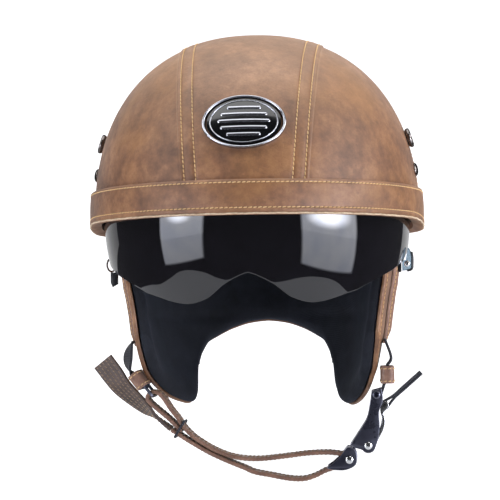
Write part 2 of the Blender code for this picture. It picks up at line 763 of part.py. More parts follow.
def seam_share(dome, side):
    """Share at which the panel's lower edge reaches the rear seam."""
    low, high = 0.0, 1.0
    for _ in range(30):
        middle = (low + high) / 2
        lower = edge_pair(dome, side, middle)[1]
        if lower.y < REAR_SEAM_Y:
            low = middle
        else:
            high = middle
    return low


def add_side_panels():
    """Front panel from the brow to the side seam, and a raised rear panel behind the seam."""
    for word, side in SIDES.items():
        for place_word, offset, columns in (("front", 0.0, 14), ("rear", RAISED_STEP, 12)):
            dome = COVER.grown(offset)
            seam = seam_share(dome, side)
            gap_share = SEAM_GAP / (2 * COVER_FRONT_LENGTH)
            first, last = (0.0, seam - gap_share) if place_word == "front" else (seam + gap_share, 1.0)

            def place(u, v, first=first, last=last, dome=dome, side=side):
                share = first + (last - first) * u
                upper, lower = edge_pair(dome, side, share)
                point = dome.on(lower.lerp(upper, v))
                return Vector((point.x, point.y, max(point.z, PANEL_BASE)))

            name = f"cover_{place_word}_{word}"
            mesh = sheet_mesh(name, columns, 7, place, joined=True, outward=lambda centre: centre)
            add_shell(name, mesh, "leather", COVER_THICKNESS + offset)


def add_brim_band():
    """The band round the rim, whose lower edge falls further beside and behind the visor."""
    dome = COVER.grown(BAND_OFFSET)

    def place(u, v):
        along_side = dome.at_height(math.tau * u, 0).y - BAND_FALL_START_Y
        low = -BAND_DROP - BAND_SIDE_DROP * smoothstep(along_side / BAND_FALL_LENGTH)
        return dome.at_height(math.tau * u, low + (BAND_HEIGHT - low) * v)

    mesh = sheet_mesh("brim_band", 48, 3, place, joined=True, outward=lambda centre: centre)
    add_shell("brim_band", mesh, "leather", BAND_THICKNESS)


def add_brim_hem():
    """The band's lower edge turned in under the shell's edge."""
    outer = COVER.grown(BAND_OFFSET - BAND_THICKNESS - CLEARANCE)
    inner = COVER.grown(SHELL_INNER_OFFSET)

    def place(u, v):
        angle = math.tau * u
        return inner.at_height(angle, -CLEARANCE).lerp(outer.at_height(angle, -CLEARANCE), v)

    mesh = sheet_mesh("brim_hem", 48, 1, place, joined=True, outward=lambda centre: Vector((0, 0, 1)))
    add_shell("brim_hem", mesh, "leather", HEM_THICKNESS)


# Badge and side caps
def badge_point(x_share, z_share, offset):
    dome = COVER.grown(RAISED_STEP + offset)
    base = COVER.grown(RAISED_STEP).front_at(0, BADGE_CENTRE_HEIGHT)
    normal = COVER.normal(base)
    up = Vector((0, normal.z, -normal.y))
    point = base + Vector((1, 0, 0)) * x_share * BADGE_HALF_WIDTH + up * z_share * BADGE_HALF_HEIGHT
    return dome.on(point)


def add_badge():
    lift = CLEARANCE + CLEARANCE
    inner = 1 - BADGE_RIM_WIDTH / BADGE_HALF_HEIGHT
    gap = CLEARANCE / BADGE_HALF_HEIGHT

    def plate(u, v):
        x, z = 2 * u - 1, 2 * v - 1
        reach = inner - gap
        return badge_point(
            reach * x * math.sqrt(1 - z * z / 2), reach * z * math.sqrt(1 - x * x / 2), lift + BADGE_THICKNESS
        )

    def rim(u, v):
        turn = math.tau * u
        reach = inner + (1 - inner) * v
        return badge_point(
            reach * math.cos(turn), reach * math.sin(turn), lift + BADGE_THICKNESS + BADGE_RIM_STEP
        )

    mesh = sheet_mesh("badge_plate", 8, 6, plate, outward=lambda centre: Vector((0, -1, 0)))
    add_shell("badge_plate", mesh, "enamel", BADGE_THICKNESS)
    mesh = sheet_mesh("badge_rim", 24, 1, rim, joined=True, outward=lambda centre: Vector((0, -1, 0)))
    add_shell("badge_rim", mesh, "bright_steel", BADGE_THICKNESS + BADGE_RIM_STEP)


def add_side_caps():
    """A press stud with a rolled rim above, and a plain rivet below, on each side."""
    for word, side in SIDES.items():
        for name, shape, radius, height, z in (
            ("press_stud", ROLLED_CAP_SHARES, STUD_RADIUS, STUD_HEIGHT, UPPER_STUD_Z),
            ("side_rivet", DOMED_CAP_SHARES, LOWER_STUD_RADIUS, LOWER_STUD_HEIGHT, LOWER_STUD_Z),
        ):
            normal = COVER.normal(COVER.side_at(side, STUD_Y, z))
            seat = COVER.side_at(side, STUD_Y, z) + normal * CLEARANCE
            profile = [(r * radius, h * height) for r, h in shape]
            add_turned(f"{name}_{word}", profile, "gunmetal", along(seat, normal))


# Visor
def visor_reach(x):
    share = min(abs(x) / VISOR_HALF_WIDTH, 1)
    return VISOR_RADIUS * max(1 - share**DOME_POWER_SHARE, 0) ** (1 / DOME_POWER_SHARE)


def visor_point(x, angle):
    """A point of the visor's outside, its angle measured down from straight ahead."""
    reach = visor_reach(x)
    return Vector((x, -reach * math.cos(angle), VISOR_PIVOT_HEIGHT - reach * math.sin(angle)))


def visor_low_angle(x):
    share = abs(x) / VISOR_HALF_WIDTH
    drop = from_table(share, VISOR_EDGE_WIDTH_SHARES, VISOR_EDGE_DROP_SHARES) * VISOR_RADIUS
    return math.asin(min(drop / visor_reach(x), 1))


def pivot_hole(name):
    return add_turned(
        name,
        cylinder_profile(PIVOT_HOLE_RADIUS, -COVER_HALF_WIDTH, COVER_HALF_WIDTH),
        "",
        along((0, 0, VISOR_PIVOT_HEIGHT), (1, 0, 0)),
        16,
        cutter=True,
    )


def add_visor():
    """The lens sheet from ear to ear, joined to a round ear at each end."""
    def place(u, v):
        across = math.sin(math.pi * (u - 0.5))
        x = LENS_WIDTH_SHARE * VISOR_HALF_WIDTH * across
        top = math.radians(-VISOR_TOP_ANGLE_SHARE)
        return visor_point(x, top + (visor_low_angle(x) - top) * v)

    mesh = sheet_mesh("visor_lens", 28, 5, place, outward=lambda centre: Vector((0, centre.y, centre.z)))
    lens = add_shell("visor_lens", mesh, "smoked_lens", VISOR_WALL)
    for word, side in SIDES.items():
        low, high = sorted((side * EAR_INNER_X, side * VISOR_HALF_WIDTH))
        ear = add_turned(
            f"visor_ear_{word}",
            cylinder_profile(EAR_RADIUS, low, high),
            "",
            along((0, 0, VISOR_PIVOT_HEIGHT), (1, 0, 0)),
            20,
            cutter=True,
        )
        boolean(lens, ear, "UNION")
    boolean(lens, pivot_hole("pivot_hole"), "DIFFERENCE")


def add_visor_mounts():
    for word, side in SIDES.items():
        inner = side * (BRACKET_OUTER_X - BRACKET_THICKNESS)
        outer = side * BRACKET_OUTER_X
        bm = bmesh.new()
        bmesh.ops.create_cube(bm, size=1)
        low = Vector((min(inner, outer), -BRACKET_HALF_LENGTH, CLEARANCE))
        size = Vector((BRACKET_THICKNESS, 2 * BRACKET_HALF_LENGTH, BRACKET_HEIGHT))
        for vert in bm.verts:
            vert.co = [low[i] + (vert.co[i] + 0.5) * size[i] for i in range(3)]
        bracket = add_part(f"visor_bracket_{word}", mesh_from("visor_bracket", bm), "black_plastic")
        corners = bracket.modifiers.new("corners", "BEVEL")
        corners.width = BRACKET_CORNER
        corners.segments = 1
        boolean(bracket, bpy.data.objects["pivot_hole"], "DIFFERENCE")
        sink = add_turned(
            f"head_sink_{word}",
            cylinder_profile(PIVOT_HEAD_RADIUS + CLEARANCE, -OVERRUN, PIVOT_HEAD_HEIGHT + CLEARANCE),
            "",
            along((inner, 0, VISOR_PIVOT_HEIGHT), (side, 0, 0)),
            20,
            cutter=True,
        )
        boolean(bracket, sink, "DIFFERENCE")
        length = BRACKET_THICKNESS + VISOR_WALL + VISOR_SIDE_CLEARANCE - CLEARANCE
        profile = (
            (0, length),
            (PIVOT_SHANK_RADIUS, length),
            (PIVOT_SHANK_RADIUS, PIVOT_HEAD_HEIGHT),
            (PIVOT_HEAD_RADIUS, PIVOT_HEAD_HEIGHT),
            (PIVOT_HEAD_RADIUS, 0),
            (0, 0),
        )
        add_turned(
            f"pivot_screw_{word}",
            profile,
            "bright_steel",
            along((inner, 0, VISOR_PIVOT_HEIGHT), (side, 0, 0)),
            16,
        )


def visor_beside(y, z):
    """How far out the visor's outside is beside (y, z)."""
    share = min(math.hypot(y, z - VISOR_PIVOT_HEIGHT) / VISOR_RADIUS, 1)
    return VISOR_HALF_WIDTH * (1 - share**DOME_POWER_SHARE) ** (1 / DOME_POWER_SHARE)


def visor_corner(share):
    """The point of the visor's lower edge at this share of its half width."""
    x = share * VISOR_HALF_WIDTH
    return visor_point(x, visor_low_angle(x))


def add_visor_fittings():
    """Finger tab with its block and screw on the left, and an end stop on the right."""
    seam = CLEARANCE + CLEARANCE
    root = visor_corner(TAB_PLACE_SHARE)
    inner_edge = []
    for rise in TAB_INNER_RISE_SHARES:
        z = root.z + rise * TAB_LENGTH
        inner_edge.append((visor_beside(root.y, z) + seam, z))
    outer_edge = [(root.x + x * TAB_LENGTH, root.z + z * TAB_LENGTH) for x, z in TAB_OUTER_SHARES]
    tab_y = root.y - TAB_THICKNESS / 2
    add_plate("visor_tab", inner_edge + outer_edge, "clear_tab", tab_y, TAB_THICKNESS)
    block = [(root.x + x * TAB_LENGTH, root.z + z * TAB_LENGTH) for x, z in BLOCK_SHARES]
    add_plate("tab_block", block, "black_plastic", root.y + TAB_BLOCK_WIDTH / 2, TAB_BLOCK_WIDTH)
    profile = (
        (0, TAB_SCREW_HEIGHT),
        (TAB_SCREW_RADIUS / 2, TAB_SCREW_HEIGHT),
        (TAB_SCREW_RADIUS, TAB_SCREW_HEIGHT / 2),
        (TAB_SCREW_RADIUS, 0),
        (0, 0),
    )
    across, above = TAB_SCREW_SHARES
    seat = (root.x + across * TAB_LENGTH, root.y - TAB_THICKNESS - CLEARANCE, root.z + above * TAB_LENGTH)
    add_turned("tab_screw", profile, "bright_steel", along(seat, (0, -1, 0)), 12)
    corner = visor_corner(STOP_PLACE_SHARE)
    outline = [
        (-corner.x + x * STOP_LENGTH, corner.z - seam - z * STOP_LENGTH) for x, z in STOP_OUTLINE_SHARES
    ]
    add_plate("visor_stop", outline, "black_plastic", corner.y + VISOR_WALL / 2, 2 * VISOR_WALL)


# Ear flaps and nape curtain
def skirt_edge_drop(word, angle):
    share = from_table(math.degrees(angle), FLAP_EDGE_ANGLE_SHARES, FLAP_EDGE_DROP_SHARES[word])
    return share * FLAP_DROP


def skirt_point(word, angle, depth, inset):
    """A point of the skirt's outside: plan angle from the side, 90 degrees at the back."""
    share = depth / FLAP_DROP
    half_width = from_table(share, FLAP_DEPTH_SHARES, FLAP_WIDTH_SHARES[word]) * SKIRT_HALF_WIDTH - inset
    length = from_table(share, FLAP_DEPTH_SHARES, SKIRT_LENGTH_SHARES) * SKIRT_REAR_LENGTH - inset
    return Vector(
        (
            SIDES[word] * half_width * math.cos(angle),
            length * math.sin(angle),
            -SKIRT_TOP_GAP - depth,
        )
    )


def skirt_mesh(name, word, inset, columns, rows, trim, last=90.0):
    first_angle = math.radians(FLAP_EDGE_ANGLE_SHARES[0])
    last_angle = math.radians(last)
    trim_angle = trim / SKIRT_REAR_LENGTH

    def place(u, v):
        angle = first_angle + trim_angle + (last_angle - first_angle - trim_angle) * u
        depth = (skirt_edge_drop(word, angle) - trim) * v**SKIRT_ROW_POWER_SHARE
        return skirt_point(word, angle, depth, inset)

    return sheet_mesh(
        name, columns, rows, place, outward=lambda centre: Vector((centre.x, centre.y, 0))
    )


def add_skirt():
    """Each side's curtain, divided by a plane across the helmet into the flap and the nape."""
    far = 2 * FLAP_DROP
    above = box_cutter("above_skirt", (-far, -far, -SKIRT_TOP_GAP), (far, far, far))
    for word, side in SIDES.items():
        behind = box_cutter(f"behind_{word}", (-far, NAPE_SPLIT_Y - CLEARANCE / 2, -far), (far, far, far))
        for layer, finish, inset, thickness, trim in (
            ("leather", "leather", 0.0, FLAP_LEATHER, 0.0),
            ("lining", "lining", LINING_INSET, FLAP_LINING, FLAP_LEATHER / 2),
        ):
            mesh = skirt_mesh(f"flap_{layer}_{word}", word, inset, 12, 7, trim, last=FLAP_LAST_ANGLE_SHARE)
            flap = add_shell(f"flap_{layer}_{word}", mesh, finish, thickness)
            boolean(flap, behind, "DIFFERENCE")
            boolean(flap, above, "DIFFERENCE")
    before = box_cutter("before_nape", (-far, -far, -far), (far, NAPE_SPLIT_Y + CLEARANCE / 2, far))
    for layer, finish, inset, thickness, trim in (
        ("leather", "leather", 0.0, FLAP_LEATHER, 0.0),
        ("lining", "lining", LINING_INSET, FLAP_LINING, FLAP_LEATHER / 2),
    ):

        def place(u, v, inset=inset, trim=trim):
            turn = math.radians(NAPE_FIRST_ANGLE_SHARE + 2 * (90 - NAPE_FIRST_ANGLE_SHARE) * u)
            word = "left" if turn < math.pi / 2 else "right"
            angle = turn if word == "left" else math.pi - turn
            depth = (skirt_edge_drop(word, angle) - trim) * v**SKIRT_ROW_POWER_SHARE
            return skirt_point(word, angle, depth, inset)

        name = f"nape_{layer}"
        mesh = sheet_mesh(name, 18, 5, place, outward=lambda centre: Vector((centre.x, centre.y, 0)))
        nape = add_shell(name, mesh, finish, thickness)
        boolean(nape, before, "DIFFERENCE")
        boolean(nape, above, "DIFFERENCE")


def add_patches():
    """A raised leather patch on the outside of each flap, over the webbing's anchorage."""
    for word, side in SIDES.items():

        def place(u, v, word=word):
            y = PATCH_FRONT_Y + PATCH_LENGTH * u
            depth = PATCH_TOP_DROP + PATCH_HEIGHT * v
            share = depth / FLAP_DROP
            length = from_table(share, FLAP_DEPTH_SHARES, SKIRT_LENGTH_SHARES) * SKIRT_REAR_LENGTH
            angle = math.asin(y / length)
            edge = min(min(u, 1 - u) / PATCH_EDGE_SHARES[0], min(v, 1 - v) / PATCH_EDGE_SHARES[1])
            rise = PATCH_LAYER_SHARE + (1 - PATCH_LAYER_SHARE) * smoothstep(edge)
            return skirt_point(word, angle, depth, -(CLEARANCE * 2 + rise * PATCH_THICKNESS))

        name = f"flap_patch_{word}"
        mesh = sheet_mesh(name, 8, 8, place, outward=lambda centre: Vector((centre.x, 0, 0)))
        add_shell(name, mesh, "strap_leather", PATCH_THICKNESS * PATCH_LAYER_SHARE)


# Places that the strap and the buckle share, in X and Z
def on_skirt(shares):
    return Vector((shares[0] * SKIRT_HALF_WIDTH, 0, -shares[1] * FLAP_DROP))


def offset_by(point, length, shares):
    return point + Vector((shares[0] * length, 0, shares[1] * length))


RING_BAR = on_skirt(RING_PLACE_SHARES)
KEEPER = on_skirt(KEEPER_PLACE_SHARES)
LEVER_RIVET = on_skirt(BUCKLE_PLACE_SHARES)
TONGUE_RIVET = offset_by(LEVER_RIVET, BUCKLE_LENGTH, TONGUE_PLACE_SHARES)
HANGER_PIN = offset_by(LEVER_RIVET, BUCKLE_LENGTH, HANGER_PLACE_SHARES)
LEVER_PIN = offset_by(LEVER_RIVET, LEVER_LENGTH, LEVER_PIN_SHARES)
Y_AXIS = Vector((0, 1, 0))
STRAP_RADIUS = RIVET_SHANK_RADIUS + CLEARANCE + STRAP_THICKNESS / 2


def flat(points):
    return [(point.x, point.z) for point in points]


def way(start, end, shares):
    """Points beside the way from start to end: shares of its length along it and to its left."""
    run = end - start
    left = Vector((run.z, 0, -run.x))
    return [start + run * ahead + left * aside for ahead, aside in shares]


def on_strap(point):
    return point + Y_AXIS * STRAP_CENTRE_Y


def loop_points(centre, one, two, half_one, half_two, corner_share=0.35, each=3):
    """A closed rounded rectangle with half sizes along two directions."""
    corner = corner_share * min(half_one, half_two)
    points = []
    for quarter, (s1, s2) in enumerate(((1, 1), (-1, 1), (-1, -1), (1, -1))):
        middle = centre + one * s1 * (half_one - corner) + two * s2 * (half_two - corner)
        for step in range(each + 1):
            turn = math.radians(90 * (quarter + step / each))
            points.append(middle + one * corner * math.cos(turn) + two * corner * math.sin(turn))
    return points


def add_sleeve(name, centre, run, out, inner_depth):
    """A flat leather loop: a band along run, closed round the webbing."""
    half_out = (inner_depth + LOOP_WALL) / 2
    half_wide = (LOOP_INNER_WIDTH + LOOP_WALL) / 2
    ring = loop_points(on_strap(centre), out, Y_AXIS, half_out, half_wide, corner_share=0.6)
    ring.append(ring[0])
    last = len(ring) - 1

    def place(u, v):
        return ring[round(u * last)] + run * (v - 0.5) * LOOP_LENGTH

    middle = on_strap(centre)
    mesh = sheet_mesh(name, last, 1, place, joined=True, outward=lambda point: point - middle)
    add_shell(name, mesh, "strap_leather", LOOP_WALL, offset=0.0)


def add_right_fittings():
    """Webbing, leather loop and ring on the right flap, in line with the strap's first run."""
    run = (KEEPER - RING_BAR).normalized()
    out = Vector((run.z, 0, -run.x))
    upper_bar = RING_BAR - run * RING_HEIGHT
    half_wide = STRAP_WIDTH / 2 + RING_SLACK + RING_WIRE_RADIUS
    middle = on_strap((RING_BAR + upper_bar) / 2)
    ring = loop_points(middle, run, Y_AXIS, RING_HEIGHT / 2, half_wide, corner_share=0.3, each=2)
    add_wire("strap_ring", ring, RING_WIRE_RADIUS, "black_steel", closed=True, sides=1)
    webbing_out = RING_WIRE_RADIUS + CLEARANCE + WEBBING_THICKNESS / 2
    wrap = [
        upper_bar + out * webbing_out * math.cos(turn) + run * webbing_out * math.sin(turn)
        for turn in (math.radians(step * 22.5) for step in range(5))
    ]
    loop_middle = upper_bar - run * (LOOP_LENGTH / 2 - RING_WIRE_RADIUS - CLEARANCE)
    loop_middle += out * (webbing_out + WEBBING_THICKNESS / 2 - RING_WIRE_RADIUS) / 2
    add_sleeve("leather_loop_right", loop_middle, run, out, LOOP_INNER_DEPTH)
    top = skirt_point("right", math.radians(WEBBING_ANGLE_SHARE), WEBBING_TOP_SHARE * FLAP_DROP, 0)
    top.x -= CLEARANCE + WEBBING_THICKNESS / 2
    rise = wrap[0] - Vector((top.x, 0, top.z))
    lead = wrap[0] - run * LOOP_LENGTH
    points = [
        Vector((top.x, 0, top.z)),
        Vector((top.x, 0, top.z)) + rise * 0.3 + out * BULGE_SHARES[0] * FLAP_DROP,
        lead,
        wrap[0] - run * LOOP_LENGTH / 2,
    ]
    path = [on_strap(point) for point in smooth_path(points, 3)] + [on_strap(point) for point in wrap]
    add_ribbon("webbing_right", path, WEBBING_WIDTH, WEBBING_THICKNESS, "webbing")


def add_left_fittings():
    """Webbing and leather loop on the left flap, down to the pin that the buckle hangs from."""
    webbing_out = RIVET_SHANK_RADIUS + CLEARANCE + WEBBING_THICKNESS / 2
    flap_out = skirt_point("left", 0, -HANGER_PIN.z - 2 * LOOP_LENGTH, 0).x
    inner_wall = flap_out + 2 * CLEARANCE + LOOP_WALL
    centre = Vector((inner_wall + LEFT_LOOP_INNER_DEPTH / 2, 0, HANGER_PIN.z + 1.15 * LOOP_LENGTH))
    run = (HANGER_PIN - centre).normalized()
    out = Vector((-run.z, 0, run.x))
    add_sleeve("leather_loop_left", centre, Vector((0, 0, -1)), Vector((1, 0, 0)), LEFT_LOOP_INNER_DEPTH)
    wrap = [
        HANGER_PIN + out * webbing_out * math.cos(turn) + run * webbing_out * math.sin(turn)
        for turn in (math.radians(step * 22.5) for step in range(5))
    ]
    top = skirt_point("left", math.radians(WEBBING_ANGLE_SHARE), WEBBING_TOP_SHARE * FLAP_DROP, 0)
    start = Vector((top.x + CLEARANCE + WEBBING_THICKNESS / 2, 0, top.z))
    points = [
        start,
        Vector((centre.x + BULGE_SHARES[1] * FLAP_DROP, 0, centre.z + LOOP_LENGTH)),
        Vector((centre.x, 0, centre.z + LOOP_LENGTH / 2)),
        centre,
    ]
    path = [on_strap(point) for point in smooth_path(points, 3)] + [on_strap(point) for point in wrap]
    add_ribbon("webbing_left", path, WEBBING_WIDTH, WEBBING_THICKNESS, "webbing")


def add_side_ring():
    """A thin wire ring that swings in a lug on the right flap's patch."""
    depth = PATCH_TOP_DROP + SIDE_RING_RADIUS * 1.6
    share = depth / FLAP_DROP
    length = from_table(share, FLAP_DEPTH_SHARES, SKIRT_LENGTH_SHARES) * SKIRT_REAR_LENGTH
    angle = math.asin((PATCH_FRONT_Y + PATCH_LENGTH * 0.28) / length)
    face = skirt_point("right", angle, depth, -(2 * CLEARANCE + PATCH_THICKNESS))
    eye = face - Vector((CLEARANCE + 1.1 * LUG_RADIUS, 0, 0))
    bm = bmesh.new()
    bmesh.ops.create_cone(
        bm, cap_ends=True, segments=16, radius1=LUG_RADIUS, radius2=LUG_RADIUS, depth=LUG_THICKNESS
    )
    for vert in bm.verts:
        if vert.co.x > LUG_RADIUS / 2:
            vert.co.x = 1.1 * LUG_RADIUS
            vert.co.y *= 1.6
    mesh = mesh_from("ring_lug", bm)
    lug = add_part("ring_lug", mesh, "gunmetal")
    lug.location = eye
    hole_radius = SIDE_RING_WIRE_RADIUS + CLEARANCE + CLEARANCE
    hole = add_turned(
        "lug_hole",
        cylinder_profile(hole_radius, -OVERRUN, OVERRUN),
        "",
        Matrix.Translation(eye - Vector((SIDE_RING_WIRE_RADIUS, 0, 0))),
        12,
        cutter=True,
    )
    boolean(lug, hole, "DIFFERENCE")
    lean = math.radians(RING_TURN_SHARE)
    reach = Vector((-math.cos(lean), -math.sin(lean), 0))
    eye = eye - Vector((SIDE_RING_WIRE_RADIUS, 0, 0))
    middle = eye + reach * (SIDE_RING_RADIUS - SIDE_RING_WIRE_RADIUS)
    points = [
        middle
        + reach * (SIDE_RING_RADIUS - SIDE_RING_WIRE_RADIUS) * math.cos(math.tau * step / 20)
        + Vector((0, 0, 1)) * (SIDE_RING_RADIUS - SIDE_RING_WIRE_RADIUS) * math.sin(math.tau * step / 20)
        for step in range(20)
    ]
    add_wire("side_ring", points, SIDE_RING_WIRE_RADIUS, "gunmetal", closed=True, sides=1)


def strap_frame():
    """Directions at the keeper: along the strap, and out through its layers."""
    along_strap = (way(KEEPER, TONGUE_RIVET, [UPPER_RUN_SHARES[1]])[0] - KEEPER).normalized()
    through = Vector((-along_strap.z, 0, along_strap.x))
    return along_strap, through


def add_chin_strap():
    """One strap: from its sewn end round the ring, to the tongue's rivet and back to the keeper."""
    along_strap, through = strap_frame()
    upper = KEEPER + through * LAYER_STEP
    lower = KEEPER - through * LAYER_STEP
    arc_points = [
        TONGUE_RIVET + Vector((math.cos(turn), 0, math.sin(turn))) * STRAP_RADIUS
        for turn in (math.radians(115 - 230 * step / 8) for step in range(9))
    ]
    points = [KEEPER + along_strap * SEWN_END_LENGTH, KEEPER]
    points += way(RING_BAR, KEEPER, LOOP_OUTER_SHARES) + way(RING_BAR, KEEPER, LOOP_INNER_SHARES)
    points += [upper]
    points += way(KEEPER, TONGUE_RIVET, UPPER_RUN_SHARES)
    first = smooth_path(points + arc_points[:1], 2)
    back = smooth_path(
        arc_points[-1:] + way(KEEPER, TONGUE_RIVET, LOWER_RUN_SHARES) + [lower, lower - along_strap * KEEPER_REACH], 2
    )
    path = [on_strap(point) for point in first + arc_points[1:-1] + back]
    add_ribbon("chin_strap", path, STRAP_WIDTH, STRAP_THICKNESS, "strap_leather")


def tail_start():
    along_strap, through = strap_frame()
    return KEEPER - through * LAYER_STEP - along_strap * (KEEPER_REACH + JOIN_GAP)


def add_strap_tail():
    """The strap's free end beyond the keeper, turning over so that its underside faces forward."""
    start = tail_start()
    along_strap, _through = strap_frame()
    points = [start]
    points += [offset_by(start, FLAP_DROP, shares) for shares in TAIL_SHARES]
    path = [on_strap(point) for point in smooth_path(points, 4)]

    def turn(share):
        return math.radians(TAIL_TWIST_SHARE) * smoothstep((share - 0.2) / 0.8)

    add_ribbon("strap_tail", path, STRAP_WIDTH, STRAP_THICKNESS, "strap_leather", turn, across=2)


def add_keeper():
    _along, through = strap_frame()
    half_out = LAYER_STEP + STRAP_THICKNESS / 2 + KEEPER_SLACK + KEEPER_WIRE_RADIUS
    half_wide = STRAP_WIDTH / 2 + KEEPER_SLACK + KEEPER_WIRE_RADIUS
    points = loop_points(on_strap(KEEPER), through, Y_AXIS, half_out, half_wide, corner_share=0.25, each=2)
    add_wire("strap_keeper", points, KEEPER_WIRE_RADIUS, "webbing", closed=True, sides=1)


# Buckle
def rivet_profile(half_length):
    return (
        (0, half_length + RIVET_HEAD_HEIGHT),
        (0.6 * RIVET_HEAD_RADIUS, half_length + RIVET_HEAD_HEIGHT),
        (RIVET_HEAD_RADIUS, half_length + RIVET_HEAD_HEIGHT / 2),
        (RIVET_HEAD_RADIUS, half_length),
        (RIVET_SHANK_RADIUS, half_length),
        (RIVET_SHANK_RADIUS, -half_length),
        (RIVET_HEAD_RADIUS, -half_length),
        (RIVET_HEAD_RADIUS, -half_length - RIVET_HEAD_HEIGHT / 2),
        (0.6 * RIVET_HEAD_RADIUS, -half_length - RIVET_HEAD_HEIGHT),
        (0, -half_length - RIVET_HEAD_HEIGHT),
    )


def add_rivet(name, point, half_length, finish="bright_steel"):
    add_turned(name, rivet_profile(half_length + CLEARANCE), finish, along(on_strap(point), Y_AXIS), 12)


def rivet_hole(name, point, radius, half_length):
    profile = cylinder_profile(radius, -half_length, half_length)
    return add_turned(name, profile, "", along(on_strap(point), Y_AXIS), 12, cutter=True)


def offset_line(points, distance):
    """The line of points moved to its right by the distance."""
    moved = []
    for index, (x, z) in enumerate(points):
        before = points[max(index - 1, 0)]
        after = points[min(index + 1, len(points) - 1)]
        run = Vector((after[0] - before[0], after[1] - before[1])).normalized()
        moved.append((x + run.y * distance, z - run.x * distance))
    return moved


def add_receiver():
    """A channel of steel sheet: its base on the chin's side and a wall on each side of the tongue."""
    half_wide = BUCKLE_INNER_WIDTH / 2 + BUCKLE_WALL
    inner = flat(offset_by(LEVER_RIVET, BUCKLE_LENGTH, shares) for shares in RECEIVER_INNER_SHARES)
    outer = flat(offset_by(LEVER_RIVET, BUCKLE_LENGTH, shares) for shares in RECEIVER_OUTER_SHARES)
    mouth = flat(offset_by(LEVER_RIVET, BUCKLE_LENGTH, shares) for shares in RECEIVER_MOUTH_SHARES)
    round_end = arc((LEVER_RIVET.x, LEVER_RIVET.z), 1.9 * RIVET_HEAD_RADIUS, -25, -145, 5)
    outline = inner + outer + round_end + mouth
    receiver = add_plate("buckle_receiver", outline, "black_steel", STRAP_CENTRE_Y, 2 * half_wide)
    base = offset_line(inner, BUCKLE_WALL)
    far = BUCKLE_LENGTH
    hollow = [(base[0][0], base[0][1] - far), *base, (base[-1][0], base[-1][1] + far)]
    hollow += [(base[-1][0] + far, base[-1][1] + far), (base[-1][0] + far, base[0][1] - far)]
    cutter = add_plate("receiver_hollow", hollow, "", STRAP_CENTRE_Y, BUCKLE_INNER_WIDTH, cutter=True)
    boolean(receiver, cutter, "DIFFERENCE")
    lever_hole = rivet_hole("lever_hole", LEVER_RIVET, RIVET_SHANK_RADIUS + CLEARANCE, BUCKLE_LENGTH)
    hanger_hole = rivet_hole("hanger_hole", HANGER_PIN, RIVET_SHANK_RADIUS + CLEARANCE, BUCKLE_LENGTH)
    boolean(receiver, lever_hole, "DIFFERENCE")
    boolean(receiver, hanger_hole, "DIFFERENCE")
    add_rivet("lever_rivet", LEVER_RIVET, half_wide)
    add_rivet("hanger_pin", HANGER_PIN, half_wide, "black_steel")


def add_lever():
    hub = arc((LEVER_RIVET.x, LEVER_RIVET.z), 1.9 * RIVET_SHANK_RADIUS, 120, 300, 8)
    outline = hub + flat(
        offset_by(LEVER_RIVET, LEVER_LENGTH, shares)
        for shares in LEVER_OUTER_SHARES + LEVER_TIP_SHARES + LEVER_INNER_SHARES
    )
    lever = add_plate("release_lever", outline, "bright_steel", STRAP_CENTRE_Y, LEVER_WIDTH)
    boolean(lever, bpy.data.objects["lever_hole"], "DIFFERENCE")
    slot = SPRING_COIL_RADIUS + SPRING_WIRE_RADIUS + 2 * CLEARANCE
    spring_slot = rivet_hole("spring_slot", LEVER_RIVET, slot, LEVER_WIDTH / 5)
    boolean(lever, spring_slot, "DIFFERENCE")
    half = RIBBON_WIDTH / 2 + CLEARANCE
    reach = PIN_RADIUS + RIBBON_THICKNESS + 3 * CLEARANCE
    fork = box_cutter(
        "lever_fork",
        (LEVER_PIN.x - 2 * reach, STRAP_CENTRE_Y - half, LEVER_PIN.z - reach),
        (LEVER_PIN.x + 2 * reach, STRAP_CENTRE_Y + half, LEVER_PIN.z + 2 * reach),
    )
    boolean(lever, fork, "DIFFERENCE")
    boolean(lever, rivet_hole("pin_hole", LEVER_PIN, PIN_RADIUS + CLEARANCE, LEVER_WIDTH), "DIFFERENCE")
    profile = cylinder_profile(PIN_RADIUS, -LEVER_WIDTH / 2, LEVER_WIDTH / 2)
    add_turned("lever_pin", profile, "bright_steel", along(on_strap(LEVER_PIN), Y_AXIS), 12)
    turns, each = 3, 10
    coil = []
    for step in range(turns * each + 1):
        turn = math.tau * step / each
        lift = (step / (turns * each) - 0.5) * LEVER_WIDTH / 4
        coil.append(
            on_strap(LEVER_RIVET)
            + Vector((math.cos(turn) * SPRING_COIL_RADIUS, lift, math.sin(turn) * SPRING_COIL_RADIUS))
        )
    add_wire("lever_spring", coil, SPRING_WIRE_RADIUS, "bright_steel", sides=0)


def add_pull_ribbon():
    """A ribbon folded round the lever's pin, its two layers together along the tail."""
    lean = math.radians(RIBBON_LEAN_SHARE)
    run = Vector((math.cos(lean), 0, math.sin(lean)))
    left = Vector((-run.z, 0, run.x))
    radius = PIN_RADIUS + CLEARANCE + RIBBON_THICKNESS / 2
    half = RIBBON_THICKNESS / 2 + CLEARANCE
    tail_shares = (1.0, 0.75, 0.5, 0.25)
    outward = [LEVER_PIN + run * RIBBON_LENGTH * share + left * half for share in tail_shares]
    turns = [math.radians(RIBBON_LEAN_SHARE + 75 + 210 * step / 10) for step in range(11)]
    round_pin = [LEVER_PIN + Vector((math.cos(turn), 0, math.sin(turn))) * radius for turn in turns]
    inward = [LEVER_PIN + run * RIBBON_LENGTH * share - left * half for share in reversed(tail_shares)]
    path = [on_strap(point) for point in outward + round_pin + inward]
    add_ribbon("pull_ribbon", path, RIBBON_WIDTH, RIBBON_THICKNESS, "webbing")


